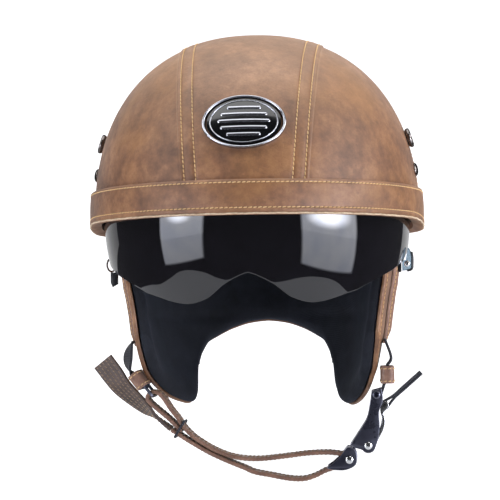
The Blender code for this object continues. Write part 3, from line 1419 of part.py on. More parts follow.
def add_tongue():
    """Side walls and a bridge round the strap's end, with a blade that enters the receiver."""
    inner_width = STRAP_WIDTH + 2 * KEEPER_SLACK
    half_wide = inner_width / 2 + TONGUE_WALL
    outline = flat(offset_by(TONGUE_RIVET, TONGUE_LENGTH, shares) for shares in TONGUE_OUTLINE_SHARES)
    tongue = add_plate("buckle_tongue", outline, "black_steel", STRAP_CENTRE_Y, 2 * half_wide)
    hollow = flat(offset_by(TONGUE_RIVET, TONGUE_LENGTH, shares) for shares in TONGUE_HOLLOW_SHARES)
    cutter = add_plate("tongue_hollow", hollow, "", STRAP_CENTRE_Y, inner_width, cutter=True)
    boolean(tongue, cutter, "DIFFERENCE")
    start, end = (offset_by(TONGUE_RIVET, TONGUE_LENGTH, shares) for shares in BLADE_SHARES)
    side = Vector((end.z - start.z, 0, start.x - end.x)).normalized() * BLADE_THICKNESS / 2
    blade_outline = flat((start - side, end - side, end + side, start + side))
    blade = add_plate("tongue_blade", blade_outline, "", STRAP_CENTRE_Y, BLADE_WIDTH, cutter=True)
    boolean(tongue, blade, "UNION")
    hole = rivet_hole("tongue_hole", TONGUE_RIVET, RIVET_SHANK_RADIUS + CLEARANCE, BUCKLE_LENGTH)
    boolean(tongue, hole, "DIFFERENCE")
    add_rivet("tongue_rivet", TONGUE_RIVET, half_wide)


def build():
    add_outer_shell()
    add_liner()
    add_crown_lining()
    add_brow_pad()
    add_centre_strip()
    add_side_panels()
    add_brim_band()
    add_brim_hem()
    add_badge()
    add_side_caps()
    add_visor()
    add_visor_mounts()
    add_visor_fittings()
    add_skirt()
    add_patches()
    add_right_fittings()
    add_left_fittings()
    add_side_ring()
    add_chin_strap()
    add_strap_tail()
    add_keeper()
    add_receiver()
    add_lever()
    add_pull_ribbon()
    add_tongue()


build()
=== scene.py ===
"""Looks of an open-face leather helmet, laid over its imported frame, and the studio round it.

Metres, +Z up. The helmet faces -Y and +X is the wearer's left. Every finished piece stays at
the origin, unturned and unscaled, so Object coordinates are places on the real helmet.
"""

import sys

import json
import logging
import math
from collections.abc import Callable, Sequence
from dataclasses import dataclass
from enum import Enum

import bmesh
import bpy
import numpy as np
from mathutils import Matrix, Vector

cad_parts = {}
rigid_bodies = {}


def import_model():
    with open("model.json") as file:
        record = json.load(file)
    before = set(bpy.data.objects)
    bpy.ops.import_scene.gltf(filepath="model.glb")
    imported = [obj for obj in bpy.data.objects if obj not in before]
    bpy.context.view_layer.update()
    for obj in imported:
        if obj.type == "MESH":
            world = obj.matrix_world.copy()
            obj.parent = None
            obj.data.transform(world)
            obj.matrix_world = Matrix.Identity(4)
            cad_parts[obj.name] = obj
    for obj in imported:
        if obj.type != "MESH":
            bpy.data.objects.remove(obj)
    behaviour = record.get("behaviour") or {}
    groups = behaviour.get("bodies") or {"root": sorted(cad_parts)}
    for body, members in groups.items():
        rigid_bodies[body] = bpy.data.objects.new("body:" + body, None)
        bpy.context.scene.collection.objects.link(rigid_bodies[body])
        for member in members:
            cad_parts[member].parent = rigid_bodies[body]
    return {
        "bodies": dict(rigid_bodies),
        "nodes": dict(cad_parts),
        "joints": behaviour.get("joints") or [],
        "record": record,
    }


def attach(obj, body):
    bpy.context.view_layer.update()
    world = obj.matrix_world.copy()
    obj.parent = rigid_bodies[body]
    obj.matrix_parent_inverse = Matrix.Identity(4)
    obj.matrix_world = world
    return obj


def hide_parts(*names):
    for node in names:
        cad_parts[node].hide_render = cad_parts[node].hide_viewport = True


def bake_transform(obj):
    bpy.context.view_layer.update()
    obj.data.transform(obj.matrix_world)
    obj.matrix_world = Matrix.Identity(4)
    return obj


log = logging.getLogger("helmet")

Array = np.ndarray
Piece = bpy.types.Object
Y_AXIS = np.array((0.0, 1.0, 0.0))
Z_AXIS = np.array((0.0, 0.0, 1.0))
X_AXIS = np.array((1.0, 0.0, 0.0))
# Clearance between two pieces that don't touch
GAP = 0.0003
# Height that the lights are aimed at
AIM_Z = -0.02


class Side(Enum):
    """A side of the helmet: the wearer's, with the sign of its X."""

    RIGHT = -1
    LEFT = 1

    @property
    def word(self) -> str:
        """The side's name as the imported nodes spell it."""
        return self.name.lower()


# Arrays ------------------------------------------------------------------------------------


def unit(vectors: Array) -> Array:
    """Vectors along the last axis, each divided by its length."""
    return vectors / np.maximum(np.linalg.norm(vectors, axis=-1, keepdims=True), 1e-12)


def ease(value: Array) -> Array:
    """Smooth step: 0 below 0, 1 above 1 and 3v^2 - 2v^3 between."""
    value = np.clip(value, 0, 1)
    return value * value * (3 - 2 * value)


def rounding(distance: Array, radius: float) -> Array:
    """How far a surface falls at this distance from an edge rounded to a quarter circle."""
    inside = np.clip(radius - distance, 0, radius)
    return radius - np.sqrt(radius**2 - inside**2)


def circle(radius: float, count: int) -> Array:
    """Points of a circle about nought, from its first direction to its second and on round."""
    turn = np.linspace(0, math.tau, count, endpoint=False)
    return radius * np.stack([np.cos(turn), np.sin(turn)], -1)


def round_y(turn: Array) -> Array:
    """Unit directions at angles about Y, from +X towards +Z, for a column of angles."""
    return np.cos(turn) * X_AXIS + np.sin(turn) * Z_AXIS


def towards(azimuth: float, elevation: float) -> Array:
    """Unit direction from the helmet, in degrees: 0 is straight ahead, 90 the wearer's left."""
    turn, rise = math.radians(azimuth), math.radians(elevation)
    return np.array((math.sin(turn) * math.cos(rise), -math.cos(turn) * math.cos(rise), math.sin(rise)))


def furrow(distance: Array, depth: float, width: float) -> Array:
    """Depth of a sewn furrow at this distance from its line: a bell curve."""
    return depth * np.exp(-((distance / width) ** 2))


def hermite(low: Array, here: Array, there: Array, high: Array, t: Array) -> Array:
    """Catmull-Rom: the cubic from here to there, its slopes taken from the points before and after.

    Args:
        low: values before `here`.
        here: values at the start.
        there: values at the end.
        high: values after `there`.
        t: share of the way, 0 to 1.

    Returns:
        The values at that share.
    """
    return 0.5 * (
        2 * here
        + (there - low) * t
        + (2 * low - 5 * here + 4 * there - high) * t**2
        + (3 * here - low - 3 * there + high) * t**3
    )


def from_table(value: Array, places: Sequence[float], values: Sequence[float]) -> Array:
    """Smooth values between a table's places, held beyond its ends.

    Args:
        value: where to read the table.
        places: the table's places, rising.
        values: the value at each place.

    Returns:
        The values read, shaped as value is.
    """
    x, y = np.asarray(places, float), np.asarray(values, float)
    value = np.clip(value, x[0], x[-1])
    low = np.clip(np.searchsorted(x, value) - 1, 0, len(x) - 2)
    t = (value - x[low]) / (x[low + 1] - x[low])
    return hermite(y[np.maximum(low - 1, 0)], y[low], y[low + 1], y[np.minimum(low + 2, len(y) - 1)], t)


def smooth_path(points: Array, each: int) -> Array:
    """One smooth line through the given points.

    Args:
        points: the points, one row each.
        each: how many steps go between two of them.

    Returns:
        The line's points.
    """
    points = np.asarray(points, float)
    ends = np.vstack([2 * points[:1] - points[1:2], points, 2 * points[-1:] - points[-2:-1]])
    t = (np.arange(each) / each)[None, :, None]
    low, here, there, high = (ends[i : len(ends) - 3 + i, None] for i in range(4))
    curve = hermite(low, here, there, high, t).reshape(-1, points.shape[1])
    return np.vstack([curve, points[-1:]])


def lengths(path: Array) -> Array:
    """Length along a path at each of its points."""
    return np.concatenate([[0.0], np.cumsum(np.linalg.norm(np.diff(path, axis=0), axis=1))])


def read_path(path: Array, wanted: Array, values: Array) -> Array:
    """Values given at a path's points, read at the wanted lengths along it."""
    known = lengths(path)
    return np.stack([np.interp(wanted, known, values[:, i]) for i in range(values.shape[1])], 1)


def grid_normals(points: Array) -> Array:
    """Normals of a grid of points: the cross product of its slopes along rows and columns."""
    return unit(np.cross(np.gradient(points, axis=1), np.gradient(points, axis=0)))


def with_edges(steps: int, fine: Sequence[float], span: float, both: bool = True) -> Array:
    """Shares from 0 to 1, closer together at the ends.

    Args:
        steps: even steps in the middle.
        fine: the fine places near an end, as lengths from it.
        span: the whole length that 1 stands for.
        both: whether the start is fine too, and not only the end.

    Returns:
        The shares, rising.
    """
    near = np.asarray(fine) / span
    first = near.max() if both else 0.0
    middle = np.linspace(first, 1 - near.max(), steps)
    return np.unique(np.concatenate([near if both else [0.0], middle, 1 - near, [0.0, 1.0]]).round(7))


# Dome --------------------------------------------------------------------------------------


@dataclass(frozen=True)
class Dome:
    """Half sizes of a rounded dome over the rim plane, with the powers that round it."""

    half_width: float
    front: float
    rear: float
    height: float
    power: float = 2.3
    plan_power: float = 2.15

    def grown(self, offset: float) -> "Dome":
        """The dome with this much added to every half size."""
        return Dome(self.half_width + offset, self.front + offset, self.rear + offset, self.height + offset)

    def level(self, point: Array) -> Array:
        """1 on the dome and less inside: each coordinate over its half size, raised and summed.

        Args:
            point: places to measure.

        Returns:
            The level of each place.
        """
        length = np.where(point[..., 1] < 0, self.front, self.rear)
        plan = np.abs(point[..., 0] / self.half_width) ** self.plan_power
        plan = plan + np.abs(point[..., 1] / length) ** self.plan_power
        total = plan ** (self.power / self.plan_power) + np.abs(point[..., 2] / self.height) ** self.power
        return total ** (1 / self.power)

    def on(self, direction: Array) -> Array:
        """Points of the dome in these directions from the origin."""
        return direction / np.maximum(self.level(direction), 1e-9)[..., None]

    def normals(self, point: Array) -> Array:
        """Outward normals: the slope of the level along each axis."""
        steps = np.eye(3) * 1e-5
        return unit(np.stack([self.level(point + step) - self.level(point - step) for step in steps], -1))

    def shrink(self, z: Array) -> Array:
        """How much of the plan is left at this height."""
        return np.clip(1 - np.abs(z / self.height) ** self.power, 0, 1) ** (1 / self.power)

    def at_height(self, angle: Array, z: Array) -> Array:
        """Points at these heights and plan angles, where 0 is +X and a quarter turn is +Y.

        Args:
            angle: plan angles in radians.
            z: heights.

        Returns:
            The places on the dome.
        """
        angle, z = np.broadcast_arrays(angle, z)
        flat = self.on(np.stack([np.cos(angle), np.sin(angle), np.zeros_like(angle)], -1))
        return np.stack([flat[..., 0] * self.shrink(z), flat[..., 1] * self.shrink(z), z], -1)

    def front_at(self, x: Array, z: Array) -> Array:
        """Points in front of (x, z).

        Args:
            x: distance to the wearer's left.
            z: height.

        Returns:
            The places on the dome's front.
        """
        rest = self.shrink(z) ** self.plan_power - np.abs(x / self.half_width) ** self.plan_power
        y = -self.front * np.clip(rest, 0, 1) ** (1 / self.plan_power)
        return np.stack(np.broadcast_arrays(x, y, z), -1)

    def side_at(self, side: int, y: float, z: float) -> Array:
        """The point beside (y, z).

        Args:
            side: which side.
            y: distance to the back.
            z: height.

        Returns:
            The place on the dome's side.
        """
        length = self.front if y < 0 else self.rear
        rest = self.shrink(np.array(z)) ** self.plan_power - abs(y / length) ** self.plan_power
        return np.array((side * self.half_width * rest ** (1 / self.plan_power), y, z))


# The leather's outside and the foam's inside
COVER = Dome(0.1193, 0.1395, 0.1430, 0.1360)
LINER_INNER = Dome(0.0880, 0.1060, 0.1080, 0.1120)
# Offsets from the cover: a panel that laps another, the shell's two faces, the band's outside
RAISED = 0.0008
SHELL_OUTER = -0.0024
SHELL_INNER = -0.0050
BAND_OUTER = 0.0034


# Meshes ------------------------------------------------------------------------------------


def grid_quads(rows: int, columns: int, wrap_rows: bool = False, wrap_columns: bool = False) -> Array:
    """Corner numbers of the quads of a grid of points, row after row.

    Args:
        rows: rows of points.
        columns: points in each row.
        wrap_rows: whether the last row joins the first.
        wrap_columns: whether the last column joins the first.

    Returns:
        One row of four corner numbers for each quad.
    """
    row = np.arange(rows if wrap_rows else rows - 1)[:, None]
    column = np.arange(columns if wrap_columns else columns - 1)[None, :]
    below, right = (row + 1) % rows, (column + 1) % columns
    here, there = row * columns, below * columns
    corners = np.broadcast_arrays(here + column, here + right, there + right, there + column)
    return np.stack(corners, -1).reshape(-1, 4)


def new_piece(name: str, points: Array, faces: list, uv: Array | None = None, sharp: float = 40) -> Piece:
    """A smooth-shaded mesh object at the origin.

    Args:
        name: the piece's name.
        points: its points, any shape that ends in 3.
        faces: corner numbers of each face.
        uv: places on the flat piece for each point, in metres.
        sharp: edges bent more than this many degrees stay sharp.

    Returns:
        The object, linked to the scene.
    """
    mesh = bpy.data.meshes.new(name)
    mesh.from_pydata(np.asarray(points, float).reshape(-1, 3).tolist(), [], faces)
    if uv is not None:
        corner = np.empty(len(mesh.loops), np.int32)
        mesh.loops.foreach_get("vertex_index", corner)
        layer = mesh.uv_layers.new(name="flat")
        layer.data.foreach_set("uv", uv.reshape(-1, 2)[corner].astype(np.float32).ravel())
    bm = bmesh.new()
    bm.from_mesh(mesh)
    bmesh.ops.remove_doubles(bm, verts=bm.verts, dist=1e-7)
    bmesh.ops.recalc_face_normals(bm, faces=bm.faces)
    bm.to_mesh(mesh)
    bm.free()
    mesh.shade_smooth()
    mesh.set_sharp_from_angle(angle=math.radians(sharp))
    obj = bpy.data.objects.new(name, mesh)
    bpy.context.scene.collection.objects.link(obj)
    return obj


def slab(name: str, top: Array, under: Array, sharp: float = 40) -> Piece:
    """A closed wall between two grids of points with the same rows and columns.

    Args:
        name: the piece's name.
        top: the outer grid of points.
        under: the inner grid of points.
        sharp: angle in degrees from which an edge stays sharp.

    Returns:
        The closed piece.
    """
    rows, columns = top.shape[:2]
    count = rows * columns
    number = np.arange(count).reshape(rows, columns)
    border = np.concatenate([number[0], number[1:, -1], number[-1, -2::-1], number[-2:0:-1, 0]])
    following = np.roll(border, -1)
    sides = np.stack([border, following, following + count, border + count], -1)
    quads = grid_quads(rows, columns)
    faces = np.vstack([quads, quads[:, ::-1] + count, sides])
    points = np.concatenate([top.reshape(-1, 3), under.reshape(-1, 3)])
    return new_piece(name, points, faces.tolist(), sharp=sharp)


def rings(name: str, points: Array, sharp: float = 40) -> Piece:
    """A closed skin from a grid whose rows and columns both run round and meet."""
    rows, columns = points.shape[:2]
    return new_piece(name, points, grid_quads(rows, columns, True, True).tolist(), sharp=sharp)


def sweep(
    name: str, path: Array, side: Array, up: Array, section: Array, closed: bool = False, sharp: float = 40
) -> Piece:
    """A section carried along a path: path + across times side + rise times up.

    Args:
        name: the piece's name.
        path: the points that it follows.
        side: the section's first direction at each point.
        up: its second direction at each point.
        section: (across, rise) of its outline, a closed loop.
        closed: whether the path runs round and meets itself.
        sharp: edges bent more than this many degrees stay sharp.

    Returns:
        The swept object, its UV map being (length along, place across) in metres.
    """
    points = path[:, None] + section[None, :, :1] * side[:, None] + section[None, :, 1:] * up[:, None]
    count = len(section)
    faces = grid_quads(len(path), count, closed, True).tolist()
    if not closed:
        faces += [list(range(count)), [len(path) * count - 1 - i for i in range(count)]]
    flat = np.stack(np.broadcast_arrays(lengths(path)[:, None], section[None, :, 0]), -1)
    return new_piece(name, points, faces, uv=flat, sharp=sharp)


def rounded_section(width: float, thickness: float, radius: float, each: int = 5) -> Array:
    """A closed rectangle whose corners are quarter circles, with a few points along its long sides.

    Args:
        width: its width in metres.
        thickness: its thickness in metres.
        radius: of the corners.
        each: points in each corner.

    Returns:
        Places across and up, one row for each point.
    """
    turn = np.linspace(0, math.pi / 2, each)
    corners = []
    for quarter, (across, rise) in enumerate(((1, 1), (-1, 1), (-1, -1), (1, -1))):
        middle = np.array((across * (width / 2 - radius), rise * (thickness / 2 - radius)))
        angle = turn + quarter * math.pi / 2
        corners.append(middle + radius * np.stack([np.cos(angle), np.sin(angle)], -1))
        if quarter in (0, 2):
            span = np.linspace(1, -1, 8)[1:-1] * across * (width / 2 - radius)
            corners.append(np.stack([span, np.full_like(span, rise * thickness / 2)], -1))
    return np.concatenate(corners)


def frames(path: Array, side: Array = Y_AXIS) -> tuple[Array, Array]:
    """Side and up directions along a path that lies across the given side.

    Args:
        path: points of the path.
        side: the direction that lies across it.

    Returns:
        Unit directions across and up at each point.
    """
    run = unit(np.gradient(path, axis=0))
    side = np.broadcast_to(side, path.shape)
    return side, unit(np.cross(run, side))


def revolve(
    name: str, profile: Array, seat: Array, axis: Array, segments: int = 48, sharp: float = 35
) -> Piece:
    """A turned shape: each (radius, height) of the profile carried round the axis at the seat.

    Args:
        name: the piece's name.
        profile: (radius, height) rows from one end to the other.
        seat: where the axis starts.
        axis: the direction of the axis.
        segments: steps round the axis.
        sharp: angle in degrees from which an edge stays sharp.

    Returns:
        The turned piece.
    """
    turn = np.linspace(0, math.tau, segments, endpoint=False)
    frame = np.array(Vector(axis).to_track_quat("Z", "Y").to_matrix())
    radius, height = np.maximum(profile[:, 0], 0)[:, None], profile[:, 1][:, None]
    local = np.stack(np.broadcast_arrays(radius * np.cos(turn), radius * np.sin(turn), height), -1)
    faces = grid_quads(len(profile), segments, False, True).tolist()
    return new_piece(name, seat + local @ frame.T, faces, sharp=sharp)


def wire(name: str, points: Array, radius: float, closed: bool, sides: int = 12) -> Piece:
    """A round wire: a circle swept along the path, its frame carried on from point to point.

    Args:
        name: the piece's name.
        points: of its middle line.
        radius: of the wire.
        closed: whether it joins its own start.
        sides: points round the wire.

    Returns:
        The wire.
    """
    run = np.roll(points, -1, 0) - np.roll(points, 1, 0) if closed else np.gradient(points, axis=0)
    run = unit(run)
    middle = points.mean(0)
    side = unit(np.cross(run, np.linalg.svd(points - middle)[2][2]))
    up = np.cross(side, run)
    return sweep(name, points, side, up, circle(radius, sides), closed)


def plate(
    name: str, outline: Array, centre_y: float, width: float, bevel: float, holes: Sequence = ()
) -> Piece:
    """A flat outline in X and Z, filled, given its width along Y and its edges rounded.

    Args:
        name: the piece's name.
        outline: (x, z) of its edge.
        centre_y: the middle of its width.
        width: its size along Y.
        bevel: radius of its edges.
        holes: (x, z, radius) of each round hole.

    Returns:
        The plate as a mesh object.
    """
    curve = bpy.data.curves.new(name, "CURVE")
    curve.dimensions = "2D"
    curve.fill_mode = "BOTH"
    curve.extrude = width / 2 - bevel
    curve.bevel_depth = bevel
    curve.bevel_resolution = 2
    curve.offset = -bevel
    loops = [np.asarray(outline, float), *((x, z) + circle(radius, 28) for x, z, radius in holes)]
    for loop in loops:
        spline = curve.splines.new("POLY")
        spline.points.add(len(loop) - 1)
        spline.points.foreach_set("co", np.insert(loop, (2, 2), (0.0, 1.0), axis=1).ravel())
        spline.use_cyclic_u = True
    drawn = bpy.data.objects.new(name, curve)
    bpy.context.scene.collection.objects.link(drawn)
    mesh = bpy.data.meshes.new_from_object(drawn.evaluated_get(bpy.context.evaluated_depsgraph_get()))
    bpy.data.objects.remove(drawn)
    bpy.data.curves.remove(curve)
    mesh.transform(Matrix.Translation((0, centre_y, 0)) @ Matrix.Rotation(math.pi / 2, 4, "X"))
    flat = np.empty(len(mesh.vertices) * 3)
    mesh.vertices.foreach_get("co", flat)
    faces = [list(face.vertices) for face in mesh.polygons]
    obj = new_piece(name, flat.reshape(-1, 3), faces, sharp=50)
    bpy.data.meshes.remove(mesh)
    return obj


def smooth_outline(points: Array, each: int = 4) -> Array:
    """A closed outline through the points, its corners softened by a smooth line.

    Args:
        points: corners, one (x, y) row each.
        each: points drawn from corner to corner.

    Returns:
        The points of the smooth outline.
    """
    points = np.asarray(points, float)
    ring = np.vstack([points[-2:], points, points[:2]])
    return smooth_path(ring, each)[2 * each : -2 * each - 1]


# Finishes ----------------------------------------------------------------------------------


def linear(colour: str) -> tuple[float, float, float, float]:
    """An sRGB hex colour as linear RGBA.

    Args:
        colour: such as #7f5539.

    Returns:
        Red, green, blue and alpha.
    """
    parts = [int(colour[i : i + 2], 16) / 255 for i in (1, 3, 5)]
    red, green, blue = (c / 12.92 if c <= 0.04045 else ((c + 0.055) / 1.055) ** 2.4 for c in parts)
    return red, green, blue, 1.0


# Noise mostly stays between these two values
NOISE_RANGE = (0.3, 0.7)


class Sketch:
    """Node tree of one material, with its shader at hand."""

    def __init__(self, name: str) -> None:
        """Starts a material that holds the standard shader alone.

        Args:
            name: the material's name.
        """
        self.material = bpy.data.materials.new(name)
        self.material.use_nodes = True
        self.tree = self.material.node_tree
        self.shader = self.tree.nodes["Principled BSDF"]

    def add(self, kind: str, output: int | str = 0, inputs: dict | None = None, **settings: object) -> object:
        """Adds a node with its settings and links.

        Args:
            kind: the node's type without its ShaderNode start.
            output: which of its outputs is wanted.
            inputs: a value or another node's output for each named or numbered input.
            settings: the node's own properties.

        Returns:
            The wanted output.
        """
        node = self.tree.nodes.new("ShaderNode" + kind)
        for name, value in settings.items():
            setattr(node, name, value)
        for name, value in (inputs or {}).items():
            if isinstance(value, bpy.types.NodeSocket):
                self.tree.links.new(value, node.inputs[name])
            else:
                node.inputs[name].default_value = value
        return node.outputs[output]

    def ramp(self, factor: object, stops: Sequence[tuple[float, str]]) -> object:
        """Colours from hex stops along the factor.

        Args:
            factor: the output that drives it.
            stops: (position, hex colour) rows.

        Returns:
            The colour output.
        """
        colour = self.add("ValToRGB", inputs={"Fac": factor})
        elements = colour.node.color_ramp.elements
        while len(elements) < len(stops):
            elements.new(0.5)
        for element, (place, value) in zip(elements, stops):
            element.position = place
            element.color = linear(value)
        return colour

    def surface(self, **values: object) -> bpy.types.Material:
        """Sets the shader's sockets, and links those that are given as outputs.

        Args:
            values: a value or an output for each socket, its spaces as underscores.

        Returns:
            The finished material.
        """
        for name, value in values.items():
            socket = self.shader.inputs[name.replace("_", " ")]
            if isinstance(value, bpy.types.NodeSocket):
                self.tree.links.new(value, socket)
            else:
                socket.default_value = value
        return self.material

    def bump(self, height: object, distance: float, strength: float = 1.0, below: object = None) -> object:
        """Bump of this height in metres, over another bump if one is given.

        Args:
            height: the output that drives it.
            distance: height in metres for a change of 1.
            strength: 0 to 1.
            below: the normal that it lies on.

        Returns:
            The normal output.
        """
        inputs = {"Height": height, "Distance": distance, "Strength": strength}
        if below is not None:
            inputs["Normal"] = below
        return self.add("Bump", inputs=inputs)

    def noise(self, place: object, size: float, detail: float = 3, roughness: float = 0.55) -> object:
        """Cloudy noise whose patches are about this size in metres."""
        inputs = {"Vector": place, "Scale": 1 / size, "Detail": detail, "Roughness": roughness}
        return self.add("TexNoise", inputs=inputs)

    def span(
        self, value: object, start: float, end: float, low: float = 0.0, high: float = 1.0, soft: bool = False
    ) -> object:
        """The value's way from start to end, as a way from low to high.

        Args:
            value: the output that drives it.
            start: value that gives `low`.
            end: value that gives `high`.
            low: result at the start.
            high: result at the end.
            soft: ease in and out rather than go straight.

        Returns:
            The mapped output.
        """
        inputs = {"Value": value, "From Min": start, "From Max": end, "To Min": low, "To Max": high}
        return self.add("MapRange", inputs=inputs, interpolation_type="SMOOTHSTEP" if soft else "LINEAR")

    def mix(self, factor: object, one: object, other: object) -> object:
        """One colour, or the other where the factor is 1."""
        return self.add("Mix", 2, {"Factor": factor, 6: one, 7: other}, data_type="RGBA")

    def cells(self, place: object, size: float, feature: str = "DISTANCE_TO_EDGE") -> object:
        """Cells about this size in metres, as the distance to their edges or centres."""
        return self.add("TexVoronoi", inputs={"Vector": place, "Scale": 1 / size}, feature=feature)


@dataclass(frozen=True)
class PullUpLeather:
    """Waxed pull-up cowhide: warm brown, cloudy where the wax has moved, rubbed pale at edges."""

    name: str = "pull_up_leather"
    deep: str = "#5f3d29"
    body: str = "#82583b"
    rubbed: str = "#a37450"
    edge: str = "#c2a084"
    # Heights over which the leather pales upwards, and by how much: partly fading, partly painted sheen of
    # the overhead light
    fade_low: float = 0.030
    fade_high: float = 0.140
    fade: float = 0.42
    cloud: float = 0.034
    grain: float = 0.0011
    ochre: str = "#9c6c3c"
    tint: float = 0.38
    roughness: tuple[float, float] = (0.40, 0.60)
    scuff: float = 0.42
    wear: float = 0.7
    speck: float = 0.0012
    crease: float = 0.0052
    pore_depth: float = 0.00010
    swell: float = 0.011
    swell_height: float = 0.0007

    def material(self) -> bpy.types.Material:
        """Cloudy waxed colour over fine pebbled grain, paler on folds, paler at the crown by fading and
        painted sheen.

        Returns:
            The finished material.
        """
        s = Sketch(self.name)
        place = s.add("TexCoord", "Object")
        clouds = s.noise(place, self.cloud, 5, 0.62)
        patches = s.noise(place, self.cloud / 5, 4, 0.6)
        blend = s.add("Mix", inputs={"Factor": 0.34, "A": clouds, "B": patches}, data_type="FLOAT")
        colour = s.ramp(blend, ((0.36, self.deep), (0.50, self.body), (0.63, self.rubbed)))
        warm = s.span(s.noise(place, self.cloud * 1.3, 4, 0.6), 0.48, 0.66, high=self.tint, soft=True)
        colour = s.mix(warm, colour, linear(self.ochre))
        scuffs = s.span(s.noise(place, self.cloud * 0.42, 6, 0.72), 0.54, 0.68, high=self.scuff, soft=True)
        colour = s.mix(scuffs, colour, linear(self.deep))
        # Painted highlight: paler towards the crown by height, the overhead light's sheen painted in along
        # with real fading
        height = s.add("SeparateXYZ", "Z", {"Vector": place})
        fade_and_painted_sheen = s.span(height, self.fade_low, self.fade_high, high=self.fade, soft=True)
        colour = s.mix(fade_and_painted_sheen, colour, linear(self.edge))
        worn = s.span(s.add("NewGeometry", "Pointiness"), 0.515, 0.60, high=self.wear)
        colour = s.mix(worn, colour, linear(self.edge))
        speck = s.span(s.noise(place, self.speck, 2, 0.6), *NOISE_RANGE, 0.9, 1.07)
        colour = s.add("VectorMath", inputs={0: colour, "Scale": speck}, operation="SCALE")
        shift = s.add("VectorMath", inputs={0: s.noise(place, 0.004), "Scale": 0.0012}, operation="SCALE")
        bent = s.add("VectorMath", inputs={0: place, 1: shift})
        pebbles = s.cells(bent, self.grain, "SMOOTH_F1")
        creases = s.span(s.cells(bent, self.crease), 0.0, 0.09)
        pores = s.add("Math", inputs={0: pebbles, 1: -0.55, 2: creases}, operation="MULTIPLY_ADD")
        fine = s.bump(pores, self.pore_depth, 0.55)
        swell = s.bump(s.noise(place, self.swell, 3), self.swell_height, 0.35, fine)
        low, high = self.roughness
        gloss = s.span(blend, *NOISE_RANGE, high, low)
        return s.surface(
            Base_Color=colour, Roughness=gloss, Normal=swell, Specular_IOR_Level=0.5, Sheen_Weight=0.06,
            Sheen_Roughness=0.5,
        )


@dataclass(frozen=True)
class BrushedLining:
    """Brushed nylon jersey bonded to foam: blue-black, soft and matt, with a pale nap at grazing light."""

    name: str = "brushed_nylon_lining"
    deep: str = "#14161d"
    light: str = "#272b36"
    rib: float = 0.0011

    def material(self) -> bpy.types.Material:
        """Blue-black knit with fine ribs, faint clouds of nap and a weak sheen.

        Returns:
            The finished material.
        """
        s = Sketch(self.name)
        place = s.add("TexCoord", "Object")
        nap = s.noise(place, 0.019, 4, 0.6)
        fibre = s.noise(place, 0.0007, 2, 0.7)
        tone = s.add("Mix", inputs={"Factor": 0.4, "A": nap, "B": fibre}, data_type="FLOAT")
        colour = s.ramp(tone, ((0.32, self.deep), (0.68, self.light)))
        ribs = s.add(
            "TexWave",
            "Fac",
            {"Vector": place, "Scale": math.tau / 20 / self.rib, "Distortion": 0.6, "Detail": 1},
            wave_type="BANDS",
            bands_direction="DIAGONAL",
        )
        knit = s.bump(ribs, 0.00008, 0.6)
        soft = s.bump(nap, 0.0012, 0.5, knit)
        return s.surface(
            Base_Color=colour, Roughness=0.86, Normal=soft, Sheen_Weight=0.22, Sheen_Roughness=0.45,
            Sheen_Tint=linear("#7b86a3"), Specular_IOR_Level=0.25,
        )


@dataclass(frozen=True)
class Webbing:
    """Woven nylon webbing: blue-black, ribbed across, each rib a row of thread ends."""

    name: str = "woven_nylon_webbing"
    deep: str = "#12131a"
    light: str = "#343748"
    rib: float = 0.0012
    thread: float = 0.0016

    def material(self) -> bpy.types.Material:
        """Ribs across the tape and threads along it, both on the piece's own flat map.

        Returns:
            The finished material.
        """
        s = Sketch(self.name)
        flat = s.add("TexCoord", "UV")
        bands = {"Vector": flat, "Scale": math.tau / 20 / self.rib}
        ribs = s.add("TexWave", "Fac", bands, bands_direction="X")
        bands = {"Vector": flat, "Scale": math.tau / 20 / self.thread}
        threads = s.add("TexWave", "Fac", bands, bands_direction="Y")
        weave = s.add("Math", inputs={0: ribs, 1: threads}, operation="MULTIPLY")
        colour = s.ramp(weave, ((0.1, self.deep), (0.9, self.light)))
        return s.surface(
            Base_Color=colour, Roughness=0.78, Normal=s.bump(weave, 0.00025, 0.8), Sheen_Weight=0.15,
            Sheen_Roughness=0.4,
        )


@dataclass(frozen=True)
class Metal:
    """Formed or turned metal: its own colour, fine handling scratches and soft clouds of polish."""

    name: str
    colour: str
    worn: str
    roughness: float
    scratch: float = 0.0011
    metallic: float = 1.0

    def material(self) -> bpy.types.Material:
        """Edges worn bright, scratches one way and a roughness that drifts.

        Returns:
            The finished material.
        """
        s = Sketch(self.name)
        place = s.add("TexCoord", "Object")
        stretched = s.add("Mapping", inputs={"Vector": place, "Scale": (1, 9, 9)})
        lines = s.noise(stretched, self.scratch, 3, 0.7)
        drift = s.noise(place, 0.006, 2)
        edge = s.span(s.add("NewGeometry", "Pointiness"), 0.52, 0.58)
        colour = s.mix(edge, linear(self.colour), linear(self.worn))
        low, high = self.roughness * 0.75, self.roughness * 1.35
        gloss = s.span(drift, *NOISE_RANGE, low, high)
        return s.surface(
            Base_Color=colour, Metallic=self.metallic, Roughness=gloss, Normal=s.bump(lines, 0.00002, 0.5)
        )


@dataclass(frozen=True)
class Moulded:
    """Moulded plastic, foam or enamel: one colour with a fine texture and a slow drift of gloss."""

    name: str
    colour: str
    light: str
    roughness: float
    grit: float = 0.0009
    depth: float = 0.00003
    coat: float = 0.0
    ior: float = 1.5
    transmission: float = 0.0

    def material(self) -> bpy.types.Material:
        """Fine grit under the gloss, clear where light goes through.

        Returns:
            The finished material.
        """
        s = Sketch(self.name)
        place = s.add("TexCoord", "Object")
        grit = s.noise(place, self.grit, 2)
        drift = s.noise(place, 0.012, 3)
        colour = s.ramp(drift, ((0.35, self.colour), (0.70, self.light)))
        low, high = self.roughness * 0.85, self.roughness * 1.2
        gloss = s.span(drift, *NOISE_RANGE, low, high)
        return s.surface(
            Base_Color=colour, Roughness=gloss, Normal=s.bump(grit, self.depth, 0.4), Coat_Weight=self.coat,
            Coat_Roughness=0.06, IOR=self.ior, Transmission_Weight=self.transmission,
        )


